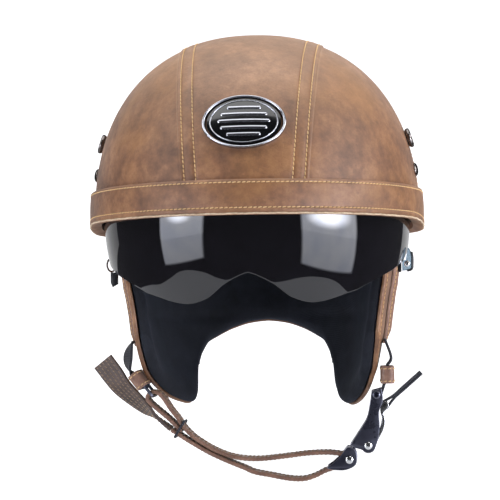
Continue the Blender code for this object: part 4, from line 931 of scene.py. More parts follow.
@dataclass(frozen=True)
class BeadedFoam:
    """Moulded polystyrene liner: dark grey beads pressed together, matt, with fine joints."""

    name: str = "moulded_bead_foam"
    bead: float = 0.0032

    def material(self) -> bpy.types.Material:
        """Beads as cells, each a touch lighter or darker, with sunk joints.

        Returns:
            The finished material.
        """
        s = Sketch(self.name)
        place = s.add("TexCoord", "Object")
        shade = s.add("TexVoronoi", "Color", {"Vector": place, "Scale": 1 / self.bead})
        joint = s.span(s.cells(place, self.bead), 0.0, 0.12)
        colour = s.ramp(shade, ((0.0, "#222326"), (1.0, "#34363a")))
        return s.surface(Base_Color=colour, Roughness=0.85, Normal=s.bump(joint, 0.00025, 0.7))


@dataclass(frozen=True)
class SewingThread:
    """Bonded polyester thread: honey yellow with a dull shine and a tight twist."""

    name: str = "bonded_sewing_thread"
    colour: str = "#d8ac74"
    light: str = "#f2cf9a"

    def material(self) -> bpy.types.Material:
        """Honey thread, lighter along the twist, with a soft sheen.

        Returns:
            The finished material.
        """
        s = Sketch(self.name)
        place = s.add("TexCoord", "Object")
        twist = s.noise(place, 0.0011, 1)
        colour = s.ramp(twist, ((0.3, self.colour), (0.7, self.light)))
        return s.surface(
            Base_Color=colour, Roughness=0.55, Normal=s.bump(twist, 0.00006, 0.6), Sheen_Weight=0.2
        )


@dataclass(frozen=True)
class FloorPaper:
    """Seamless studio paper: pale, matt and even, with a faint tooth."""

    name: str = "seamless_paper"
    glow: float = 0.19
    shades: tuple[str, str] = ("#e6e9f0", "#eef1f7")

    def material(self) -> bpy.types.Material:
        """Near-white paper with a faint tooth.

        Returns:
            The finished material.
        """
        s = Sketch(self.name)
        place = s.add("TexCoord", "Object")
        tooth = s.noise(place, 0.004, 2)
        colour = s.ramp(tooth, tuple(zip((0.3, 0.7), self.shades)))
        return s.surface(
            Base_Color=colour, Roughness=0.9, Normal=s.bump(tooth, 0.0001, 0.2),
            Emission_Color=linear("#ffffff"), Emission_Strength=self.glow,
        )


@dataclass(frozen=True)
class Backdrop:
    """White backdrop paper lit evenly from below: the pale edge in the visor's mirror image."""

    name: str = "lit_backdrop"
    glow: float = 0.20

    def material(self) -> bpy.types.Material:
        """White and glowing a little, as a lit backdrop does, with a slow drift.

        Returns:
            The finished material.
        """
        s = Sketch(self.name)
        drift = s.ramp(s.noise(s.add("TexCoord", "Object"), 0.6, 1), ((0.3, "#f2f3f6"), (0.7, "#ffffff")))
        return s.surface(Base_Color=drift, Roughness=0.9, Emission_Color=drift, Emission_Strength=self.glow)


@dataclass(frozen=True)
class Diffuser:
    """Diffusing cloth of a tall softbox: cool white, brightest where the lamp is near, dimmer downwards."""

    name: str
    glow: float
    lamp: float
    centre: tuple[float, float]
    spread: tuple[float, float]

    def material(self) -> bpy.types.Material:
        """A glow that fades downwards and at the edges, with the lamp's soft patch near the top.

        Returns:
            The finished material.
        """
        s = Sketch(self.name)
        across, up = (s.add("SeparateXYZ", axis, {"Vector": s.add("TexCoord", "UV")}) for axis in "XY")
        fade = s.span(up, 0.0, 1.0, 0.72 * self.glow, 1.30 * self.glow)
        sides = ((across, 0.0, 0.06), (across, 1.0, 0.94), (up, 0.0, 0.05))
        left, right, foot = (s.span(value, start, end, soft=True) for value, start, end in sides)
        edge = s.add("Math", inputs={0: left, 1: right}, operation="MULTIPLY")
        edge = s.add("Math", inputs={0: edge, 1: foot}, operation="MULTIPLY")
        near = s.add("CombineXYZ", inputs={"X": across, "Y": up})
        near = s.add("VectorMath", inputs={0: near, 1: (*self.centre, 0)}, operation="SUBTRACT")
        near = s.add("VectorMath", inputs={0: near, 1: (*self.spread, 1)}, operation="DIVIDE")
        near = s.add("VectorMath", "Value", {0: near}, operation="LENGTH")
        patch = s.span(near, 1.25, 0.25, high=self.lamp, soft=True)
        total = s.add("Math", inputs={0: fade, 1: patch})
        total = s.add("Math", inputs={0: total, 1: edge}, operation="MULTIPLY")
        cloth = s.ramp(s.noise(s.add("TexCoord", "Object"), 0.25, 2), ((0.3, "#dfe4f4"), (0.7, "#f4f6ff")))
        return s.surface(Base_Color=cloth, Roughness=0.9, Emission_Color=cloth, Emission_Strength=total)


class Palette:
    """Every finish of the helmet, made once."""

    def __init__(self) -> None:
        """Makes the materials that the sub-assemblies share."""
        self.leather = PullUpLeather().material()
        # The strap and patch leather pales a little upwards from -0.16 to 0.02 high: painted top light
        self.strap = PullUpLeather(
            "waxed_strap_leather", "#69493e", "#86604f", "#a17a67", "#bd9a86",
            -0.16, 0.02, 0.12, 0.021, 0.0009,
            "#8d6248",
        ).material()
        self.underside = PullUpLeather(
            "strap_flesh_side", "#382b27", "#4b3b35", "#5f4c43", "#7d6657", -0.3, -0.2, 0.0, 0.012, 0.0008,
            "#54402f",
        ).material()
        self.raw_edge = PullUpLeather(
            "raw_cut_leather_edge", "#a98b6d", "#c8ad90", "#dcc6ab", "#e6d6c0",
            -0.3, -0.2, 0.0, 0.006, 0.0006,
            "#bb9468", 0.3, (0.7, 0.85),
        ).material()
        self.lining = BrushedLining().material()
        self.webbing = Webbing().material()
        self.thread = SewingThread().material()
        self.strap_thread = SewingThread("waxed_strap_thread", "#957a62", "#b89c80").material()
        self.shell = Moulded("moulded_abs_shell", "#16171a", "#202226", 0.38, 0.0008).material()
        self.foam = BeadedFoam().material()
        clear = {"depth": 0.0, "ior": 1.58}
        self.lens = Moulded(
            "smoked_polycarbonate", "#121116", "#16151b", 0.03, 0.02, transmission=0.10, **clear
        ).material()
        self.tab = Moulded(
            "tinted_polycarbonate", "#8ea4b6", "#9fb4c4", 0.06, 0.01, transmission=0.75, **clear
        ).material()
        self.plastic = Moulded("moulded_black_nylon", "#101116", "#1a1c22", 0.34).material()
        self.enamel = Moulded(
            "fired_black_enamel", "#07080b", "#0c0d11", 0.12, 0.004, 0.00001, 0.6
        ).material()
        self.steel = Metal("chromed_steel", "#c9cacd", "#f1f2f4", 0.16).material()
        self.nickel = Metal("polished_nickel", "#a9aab2", "#e4e6ee", 0.20).material()
        self.black_steel = Metal(
            "black_lacquered_steel", "#16172a", "#9a9cae", 0.30, metallic=0.55
        ).material()
        self.gunmetal = Metal("gunmetal_brass", "#4c4748", "#a39b95", 0.24).material()


def dress(obj: Piece, material: bpy.types.Material, body: str, nodes: Sequence[str] = ()) -> Piece:
    """Gives a piece its material, the body that it rides on and the nodes that it stands for.

    Args:
        obj: the finished piece.
        material: its material.
        body: the frame's body.
        nodes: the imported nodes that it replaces.

    Returns:
        The piece.
    """
    obj.data.materials.append(material)
    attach(obj, body)
    if nodes:
        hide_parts(*nodes)
    log.info("%s: %d faces, rides on %s", obj.name, len(obj.data.polygons), body)
    return obj


@dataclass(frozen=True)
class Seam:
    """A row of lockstitches: how far apart, how long, how thick and how much each one slants."""

    pitch: float = 0.0032
    stitch: float = 0.0025
    radius: float = 0.00040
    slant: float = 0.14

    def sew(self, name: str, runs: Sequence[tuple[Array, Array]]) -> Piece:
        """One mesh of stitches along the runs.

        A stitch is a six-sided rod of five rings that bows up in the middle and dips into the
        leather at its ends; it is repeated at every pitch along each run.

        Args:
            name: the piece's name.
            runs: (points, outward normals) of each row.

        Returns:
            The stitches as one object.
        """
        t = np.array((-0.5, -0.38, 0.0, 0.38, 0.5))
        fat = np.array((0.35, 0.95, 1.0, 0.95, 0.35)) * self.radius
        bow = self.radius * (0.75 - 2.6 * t**2)
        turn = np.linspace(0, math.tau, 6, endpoint=False)
        x = np.repeat(t * self.stitch, 6)
        y = (fat[:, None] * np.cos(turn)).ravel()
        z = (bow[:, None] + fat[:, None] * np.sin(turn)).ravel()
        placed = []
        for path, outward in runs:
            total = lengths(path)[-1]
            count = max(int(total / self.pitch), 1)
            middle = (np.arange(count) + 0.5) * total / count
            centre = read_path(path, middle, path)
            normal = unit(read_path(path, middle, outward))
            ahead = read_path(path, np.minimum(middle + self.stitch / 2, total), path)
            run = unit(ahead - read_path(path, np.maximum(middle - self.stitch / 2, 0), path))
            side = np.cross(normal, run)
            run, side = run + side * self.slant, side - run * self.slant
            points = centre[:, None] + run[:, None] * x[:, None] + side[:, None] * y[:, None]
            placed.append(points + normal[:, None] * z[:, None])
        points = np.concatenate(placed)
        start = (np.arange(len(points)) * points.shape[1])[:, None, None]
        faces = (grid_quads(5, 6, False, True) + start).reshape(-1, 4).tolist()
        first = np.arange(6)
        caps = np.stack([first[::-1], first + 24])
        faces += (caps + start).reshape(-1, 6).tolist()
        return new_piece(name, points, faces, sharp=80)


# Leather cover -----------------------------------------------------------------------------


@dataclass
class LeatherCover:
    """Five leather panels over the shell: a raised strip from brow to nape, and two each side."""

    palette: Palette
    thickness: float = 0.0015
    base: float = 0.0155
    low_half_width: float = 0.0428
    crown_half_width: float = 0.0515
    seam_gap: float = 0.0009
    seam_y: float = 0.0060
    edge_radius: float = 0.0008
    stitch_inset: float = 0.0030
    second_inset: float = 0.0110
    furrow_depth: float = 0.00038
    furrow_width: float = 0.0008
    tuck: float = 0.0014
    row_length: float = 0.26
    strip_columns_mm: tuple[float, ...] = (
        0, 0.1, 0.25, 0.5, 0.8, 1.3, 1.9, 2.3, 2.6, 2.8, 3, 3.2, 3.4, 3.7, 4.4, 5.5, 7, 8.5, 9.7,
        10.2, 10.5, 10.8, 11, 11.2, 11.5, 11.8, 12.4, 13.6,
    )
    panel_columns_mm: tuple[float, ...] = (0, 0.1, 0.25, 0.5, 0.8, 1.3, 2, 2.5, 2.8, 3, 3.2, 3.5, 4, 5)
    seam: Seam = Seam()

    def half_width(self, share: Array) -> Array:
        """Half width of the strip, widest at the crown as a sine."""
        return self.low_half_width + (self.crown_half_width - self.low_half_width) * np.sin(np.pi * share)

    def arc_point(self, dome: Dome, share: Array, x: Array) -> Array:
        """Points of the dome at this x, from the brow (share 0) over the crown to the back (1).

        The share turns a direction in the plane of Y and Z; its x is corrected until the
        point of the dome in that direction has the wanted x.

        Args:
            dome: the surface that carries them.
            share: shares of the way over the crown.
            x: distances to the wearer's left.

        Returns:
            The points.
        """
        share, x = np.broadcast_arrays(share, x)
        low = dome.front_at(x, np.full_like(x, self.base))
        first = np.arctan2(low[..., 2], -low[..., 1])
        last = np.pi - first * dome.front / dome.rear
        turn = first + (last - first) * share
        direction = np.stack([np.zeros_like(turn), -np.cos(turn), np.sin(turn)], -1)
        for _ in range(8):
            direction[..., 0] = x * dome.level(direction)
        point = dome.on(direction)
        return np.stack([x, point[..., 1], np.maximum(point[..., 2], self.base)], -1)

    def folds(self, inset: Array) -> Array:
        """Rise of a folded edge over its panel: two puffs between furrows, and a rounded edge.

        Args:
            inset: distance in from the panel's edge.

        Returns:
            The rise at each distance.
        """
        puff = 0.00024 * np.sin(np.pi * np.clip(inset / self.stitch_inset, 0, 1))
        span = (inset - self.stitch_inset) / (self.second_inset - self.stitch_inset)
        puff = puff + 0.00028 * np.sin(np.pi * np.clip(span, 0, 1))
        for line in (self.stitch_inset, self.second_inset):
            puff = puff - furrow(inset - line, self.furrow_depth, self.furrow_width)
        return puff - rounding(inset, self.edge_radius)

    def strip(self) -> Piece:
        """The centre strip: rows along the arc, columns across, fine near its edges.

        Returns:
            The closed strip.
        """
        dome = COVER.grown(RAISED)
        fine = np.array(self.strip_columns_mm) / 1000
        share = np.linspace(0, 1, 150)[:, None]
        half = self.half_width(share)
        middle = (half - fine[-1]) * np.linspace(-1, 1, 22)[1:-1]
        x = np.concatenate([-(half - fine), middle, (half - fine)[:, ::-1]], 1)
        surface = self.arc_point(dome, share, x)
        normal = dome.normals(surface)
        top = surface + normal * self.folds(half - np.abs(x))[..., None]
        under = surface - normal * (self.thickness + RAISED)
        return slab("centre_strip", top, under)

    def strip_rows(self) -> list[tuple[Array, Array]]:
        """Paths of the four rows of stitches along the strip.

        Returns:
            Path and outward directions of each row.
        """
        dome = COVER.grown(RAISED)
        share = np.linspace(0.004, 0.996, 300)
        rows = []
        for inset in (self.stitch_inset, self.second_inset):
            for side in Side:
                path = self.arc_point(dome, share, side.value * (self.half_width(share) - inset))
                normal = dome.normals(path)
                rows.append((path - normal * self.furrow_depth * 0.55, normal))
        return rows

    def panel_edges(self, dome: Dome, side: int, share: Array, tuck: float) -> tuple[Array, Array]:
        """A side panel's upper and lower edges at these shares of the way from brow to back.

        Args:
            dome: the surface that carries them.
            side: which side.
            share: shares of the way.
            tuck: how far the upper edge lies under the strip.

        Returns:
            Points of the upper edge and of the lower edge.
        """
        half = self.half_width(share) + self.seam_gap
        upper = self.arc_point(dome, share, half - tuck)
        ends = np.array((0.0, 1.0))
        corner = self.arc_point(dome, ends, self.half_width(ends) + self.seam_gap)
        first, last = np.arctan2(corner[:, 1], corner[:, 0])
        lower = dome.at_height(first + (last - first) * share, np.full_like(share, self.base))
        flip = np.array((side, 1, 1))
        return upper * flip, lower * flip

    def seam_share(self, dome: Dome) -> float:
        """Share at which a panel's lower edge reaches the side seam.

        Args:
            dome: the surface that carries the seam.

        Returns:
            The share.
        """
        share = np.linspace(0, 1, 4000)
        lower = self.panel_edges(dome, 1, share, 0.0)[1]
        return float(np.interp(self.seam_y, lower[:, 1], share))

    def panel(self, side: Side, rear: bool) -> Piece:
        """A side panel: the dome's points between its lower edge and the strip.

        The front panel runs on a little under the rear one, and both under the strip.

        Args:
            side: which side.
            rear: whether it lies behind the side seam.

        Returns:
            The closed panel.
        """
        dome = COVER.grown(RAISED if rear else 0.0)
        seam = self.seam_share(dome)
        fine = np.array(self.panel_columns_mm) / 1000
        if rear:
            columns = np.concatenate([seam + fine / self.row_length, np.linspace(seam + 0.026, 1, 70)])
        else:
            columns = np.linspace(0, seam + 0.008, 90)
        rows = np.linspace(0, 1, 60)[:, None, None]
        upper, lower = self.panel_edges(dome, side.value, columns, self.tuck)
        surface = dome.on(lower + (upper - lower) * rows)
        surface[..., 2] = np.maximum(surface[..., 2], self.base)
        normal = dome.normals(surface)
        rise = np.zeros(surface.shape[:2])
        if rear:
            inset = np.linalg.norm(surface - surface[:, :1], axis=-1)
            rise = -rounding(inset, self.edge_radius)
            rise = rise - furrow(inset - self.stitch_inset, self.furrow_depth, self.furrow_width)
        top = surface + normal * rise[..., None]
        under = surface - normal * (self.thickness + (RAISED if rear else 0.0))
        return slab(f"{'rear' if rear else 'front'}_panel_{side.word}", top, under)

    def seam_row(self, side: Side) -> tuple[Array, Array]:
        """Path of the row of stitches behind the side seam.

        Args:
            side: which side.

        Returns:
            Its points and their outward directions.
        """
        dome = COVER.grown(RAISED)
        share = np.array([self.seam_share(dome) + self.stitch_inset / self.row_length])
        upper, lower = self.panel_edges(dome, side.value, share, 0.0)
        path = dome.on(lower + (upper - lower) * np.linspace(0.06, 0.985, 200)[:, None])
        normal = dome.normals(path)
        return path - normal * self.furrow_depth * 0.55, normal

    def build(self) -> None:
        """Builds and dresses the five panels and their stitches."""
        dress(self.strip(), self.palette.leather, "helmet", ["cover_centre_strip"])
        for side in Side:
            for rear, word in ((False, "front"), (True, "rear")):
                piece = self.panel(side, rear)
                dress(piece, self.palette.leather, "helmet", [f"cover_{word}_{side.word}"])
        rows = self.strip_rows() + [self.seam_row(side) for side in Side]
        dress(self.seam.sew("cover_stitches", rows), self.palette.thread, "helmet")


# Band round the rim ------------------------------------------------------------------------


@dataclass
class BrimBand:
    """A leather band round the rim, turned in under the shell, lower beside and behind the visor."""

    palette: Palette
    height: float = 0.0215
    drop: float = 0.0022
    side_drop: float = 0.0050
    fall_start_y: float = -0.0650
    fall_length: float = 0.0850
    upper_stitch: float = 0.0193
    lower_stitch: float = 0.0047
    furrow_depth: float = 0.0004
    steps: int = 300
    behind: float = -0.0003
    seam: Seam = Seam(radius=0.00037)
    top_mm: tuple = ((0.6, 0.0), (1.8, 0.0), (2.7, 0.15), (3.15, 0.5), (3.35, 1.0), (3.42, 1.4))
    upper_groove_mm: tuple = ((0.5, 0.12), (0.2, 0.3), (0, 0.4), (-0.2, 0.3), (-0.5, 0.12), (-1.0, 0.0))
    lower_groove_mm: tuple = ((1.0, 0.0), (0.5, 0.12), (0.2, 0.34), (0, 0.45), (-0.2, 0.34), (-0.5, 0.1))
    lip_mm: tuple = (
        (3.55, 4.05), (3.68, 3.7), (3.74, 3.2), (3.66, 2.5), (3.4, 1.7), (2.95, 0.95), (2.3, 0.35),
        (1.5, 0.05), (0.6, 0.0), (-0.4, 0.1), (-1.6, 0.4), (-2.8, 0.8), (-4.0, 1.3), (-4.8, 1.75),
    )

    def low(self, angle: Array) -> Array:
        """Height of the lower edge at these plan angles."""
        y = COVER.grown(BAND_OUTER).at_height(angle, np.zeros_like(angle))[..., 1]
        return -self.drop - self.side_drop * ease((y - self.fall_start_y) / self.fall_length)

    def section(self, low: Array) -> tuple[Array, Array]:
        """Offset from the cover and height of the band's section where its lower edge is this low.

        Down the outside from the top, with a furrow at each row of stitches, round a padded
        lip, in under the shell's edge and back up behind.

        Args:
            low: height of the lower edge.

        Returns:
            Offset and height of each point of the section.
        """
        outer = BAND_OUTER * 1000
        upper, lower = self.upper_stitch * 1000, self.lower_stitch * 1000
        fixed = [(offset, self.height * 1000 - fall) for offset, fall in self.top_mm]
        fixed += [(outer - depth, upper + step) for step, depth in self.upper_groove_mm]
        moving = [(outer - depth, lower + step) for step, depth in self.lower_groove_mm] + list(self.lip_mm)
        start, end = fixed[-1][1], moving[0][1]
        rows = [(offset, z, 0.0) for offset, z in fixed]
        for share in np.linspace(0.08, 0.92, 8):
            rows.append((outer + 0.18 * math.sin(math.pi * share), start + (end - start) * share, share))
        rows += [(offset, z, 1.0) for offset, z in moving]
        rows += [(offset, self.behind * 1000, 0.0) for offset in (-4.9, 0.4)]
        offset, z, follows = np.array(rows).T / np.array((1000, 1000, 1))[:, None]
        return np.broadcast_to(offset, (len(low), len(rows))), z + follows * low[:, None]

    def place(self, angle: Array, offset: Array, z: Array) -> Array:
        """Points at these plan angles and heights, this far outside the cover's plan.

        Args:
            angle: plan angles in radians.
            offset: distances outside the cover.
            z: heights.

        Returns:
            The points.
        """
        flat = np.stack(np.broadcast_arrays(np.cos(angle), np.sin(angle), np.zeros_like(angle)), -1)
        base = COVER.at_height(angle, z)
        out = COVER.normals(COVER.on(flat))
        return base + out * offset[..., None]

    def build(self) -> None:
        """Builds the band and its two rows of stitches."""
        angle = np.linspace(0, math.tau, self.steps, endpoint=False)
        low = self.low(angle)
        offset, z = self.section(low)
        points = self.place(angle[:, None] + np.zeros_like(z), offset, z)
        band = rings("brim_band_and_hem", points)
        dress(band, self.palette.leather, "helmet", ["brim_band", "brim_hem"])
        rows = []
        angle = np.linspace(0, math.tau, 1200)
        for z in (np.full_like(angle, self.upper_stitch), self.low(angle) + self.lower_stitch):
            path = self.place(angle, np.full_like(angle, BAND_OUTER - self.furrow_depth * 0.7), z)
            rows.append((path, COVER.normals(path)))
        dress(self.seam.sew("band_stitches", rows), self.palette.thread, "helmet")
        angle = np.linspace(0, math.tau, 720, endpoint=False)
        ruffle = 0.00012 * np.sin(angle * 190) + 0.00016 * np.sin(angle * 57)
        edge = self.place(angle, 0.0031 + ruffle, self.low(angle) + 0.0008 + ruffle / 2)
        dress(wire("brim_raw_edge", edge, 0.00055, True, 10), self.palette.raw_edge, "helmet")


# Badge -------------------------------------------------------------------------------------


@dataclass
class Badge:
    """A plain oval badge: a chromed rim, a black enamel field and plain raised ribs."""

    palette: Palette
    half_width: float = 0.0285
    half_height: float = 0.0195
    centre_height: float = 0.0602
    lift: float = 0.0006
    thickness: float = 0.0020
    rim_width: float = 0.0017
    rim_step: float = 0.0012
    rib_places: tuple[float, ...] = (-0.50, -0.25, 0.0, 0.25, 0.50)
    rib_reaches: tuple[float, ...] = (0.40, 0.55, 0.62, 0.55, 0.40)
    rib_half: float = 0.062
    rib_height: float = 0.0009

    def place(self, across: Array, up: Array, offset: Array) -> Array:
        """Points over the cover at shares of the half width and half height, this far proud.

        Args:
            across: shares of the half width.
            up: shares of the half height.
            offset: distances from the cover.

        Returns:
            The points.
        """
        base = COVER.grown(RAISED).front_at(np.array(0.0), np.array(self.centre_height))
        normal = COVER.normals(base)
        rise = np.array((0.0, normal[2], -normal[1]))
        across, up, offset = np.broadcast_arrays(across, up, offset)
        flat = np.array((1.0, 0.0, 0.0)) * across[..., None] * self.half_width
        flat = base + flat + rise * up[..., None] * self.half_height
        skin = COVER.grown(RAISED).on(flat)
        return skin + COVER.normals(skin) * offset[..., None]

    def ring(self, name: str, middle: float, half: float, low: float, high: float) -> Piece:
        """An oval ring: a rounded section carried round at this share of the oval's size.

        Args:
            name: the piece's name.
            middle: share of the oval's size at the section's middle.
            half: half the section's width, as a share.
            low: distance of its foot from the cover.
            high: distance of its top from the cover.

        Returns:
            The closed ring.
        """
        turn = np.linspace(0, math.tau, 140, endpoint=False)[:, None]
        around = np.linspace(0, math.tau, 20, endpoint=False)
        reach = middle + half * np.sign(np.cos(around)) * np.abs(np.cos(around)) ** 0.7
        rise = np.abs(np.sin(around)) ** 0.8
        offset = np.where(np.sin(around) >= -0.01, low + (high - low) * rise, low * 0.2)
        points = self.place(reach * np.cos(turn), reach * np.sin(turn), offset)
        return rings(name, points, sharp=50)

    def field(self) -> Piece:
        """The enamel field: an oval disc, slightly domed, closed underneath.

        Returns:
            The closed disc.
        """
        reach = np.concatenate([np.linspace(0, 0.86, 16), (0.872, 0.878, 0.878, 0.6, 0.0)])[:, None]
        top = self.lift + self.thickness
        dome = top - 0.0004 * (reach[:17] / 0.88) ** 2
        offset = np.vstack([dome, [[top - 0.0006]], np.full((3, 1), self.lift)])
        turn = np.linspace(0, math.tau, 96, endpoint=False)
        points = self.place(reach * np.cos(turn), reach * np.sin(turn), offset)
        return new_piece("badge_field", points, grid_quads(len(reach), 96, False, True).tolist())

    def rib(self, index: int) -> Piece:
        """A plain raised rib with rounded ends: height falls away as a power of its ends and sides.

        Args:
            index: which rib, counted from the top.

        Returns:
            The closed rib.
        """
        u = np.sin(np.linspace(-math.pi / 2, math.pi / 2, 41))[:, None]
        v = np.sin(np.linspace(-math.pi / 2, math.pi / 2, 13))[None, :]
        squeeze = np.sqrt(np.clip(1 - np.clip((np.abs(u) - 0.9) / 0.1, 0, 1) ** 2, 0, 1))
        across = self.rib_reaches[index] * u
        up = self.rib_places[index] + self.rib_half * v * squeeze
        height = self.rib_height * np.sqrt(np.clip(1 - v**2, 0, 1)) ** 0.6 * squeeze
        base = self.lift + self.thickness - 0.0005
        top = self.place(across, up, base + height + 0.0002)
        return slab(f"badge_rib_{index + 1}", top, self.place(across, up, base))

    def build(self) -> None:
        """Builds the rim, the inner line, the field and the ribs."""
        inner = 1 - self.rim_width / self.half_height
        top = self.lift + self.thickness
        rim = self.ring("badge_rim_ring", (1 + inner) / 2, (1 - inner) / 2, self.lift, top + self.rim_step)
        dress(rim, self.palette.nickel, "helmet", ["badge_rim"])
        dress(self.field(), self.palette.enamel, "helmet", ["badge_plate"])
        line = self.ring("badge_inner_line", 0.79, 0.018, top - 0.0008, top + 0.0002)
        dress(line, self.palette.nickel, "helmet")
        for index in range(len(self.rib_places)):
            dress(self.rib(index), self.palette.nickel, "helmet")


# Press studs and rivets on the sides -------------------------------------------------------


@dataclass
class SideCaps:
    """A rolled-rim press stud above a domed rivet on each side.

    A profile gives the shares of the cap's radius and height, from its middle out and under.
    """

    palette: Palette
    y: float = -0.0220
    stud_z: float = 0.0580
    stud_radius: float = 0.0072
    stud_height: float = 0.0034
    rivet_z: float = 0.0355
    rivet_radius: float = 0.0050
    rivet_height: float = 0.0024
    rolled: tuple = (
        (0, 0.55), (0.2, 0.545), (0.45, 0.50), (0.62, 0.45), (0.70, 0.42), (0.735, 0.5), (0.76, 0.75),
        (0.80, 0.93), (0.87, 1.0), (0.94, 0.93), (0.99, 0.78), (1.0, 0.6), (0.985, 0.38), (0.93, 0.15),
        (0.86, 0.0), (0.4, 0.0), (0.0, 0.0),
    )
    domed: tuple = (
        (0, 1.0), (0.2, 0.99), (0.45, 0.92), (0.66, 0.79), (0.82, 0.6), (0.94, 0.38), (1.0, 0.18),
        (0.99, 0.05), (0.95, 0.0), (0.5, 0.0), (0.0, 0.0),
    )

    def build(self) -> None:
        """Turns each cap on a smooth profile and seats it on the cover."""
        stud = np.array(self.rolled) * (self.stud_radius, self.stud_height)
        rivet = np.array(self.domed) * (self.rivet_radius, self.rivet_height)
        for side in Side:
            for name, profile, z, node in (
                ("press_stud_cap", stud, self.stud_z, "press_stud"),
                ("rivet_cap", rivet, self.rivet_z, "side_rivet"),
            ):
                point = COVER.side_at(side.value, self.y, z)
                normal = COVER.normals(point)
                cap = revolve(f"{name}_{side.word}", profile, point + normal * GAP, normal)
                dress(cap, self.palette.gunmetal, "helmet", [f"{node}_{side.word}"])


# Visor -------------------------------------------------------------------------------------


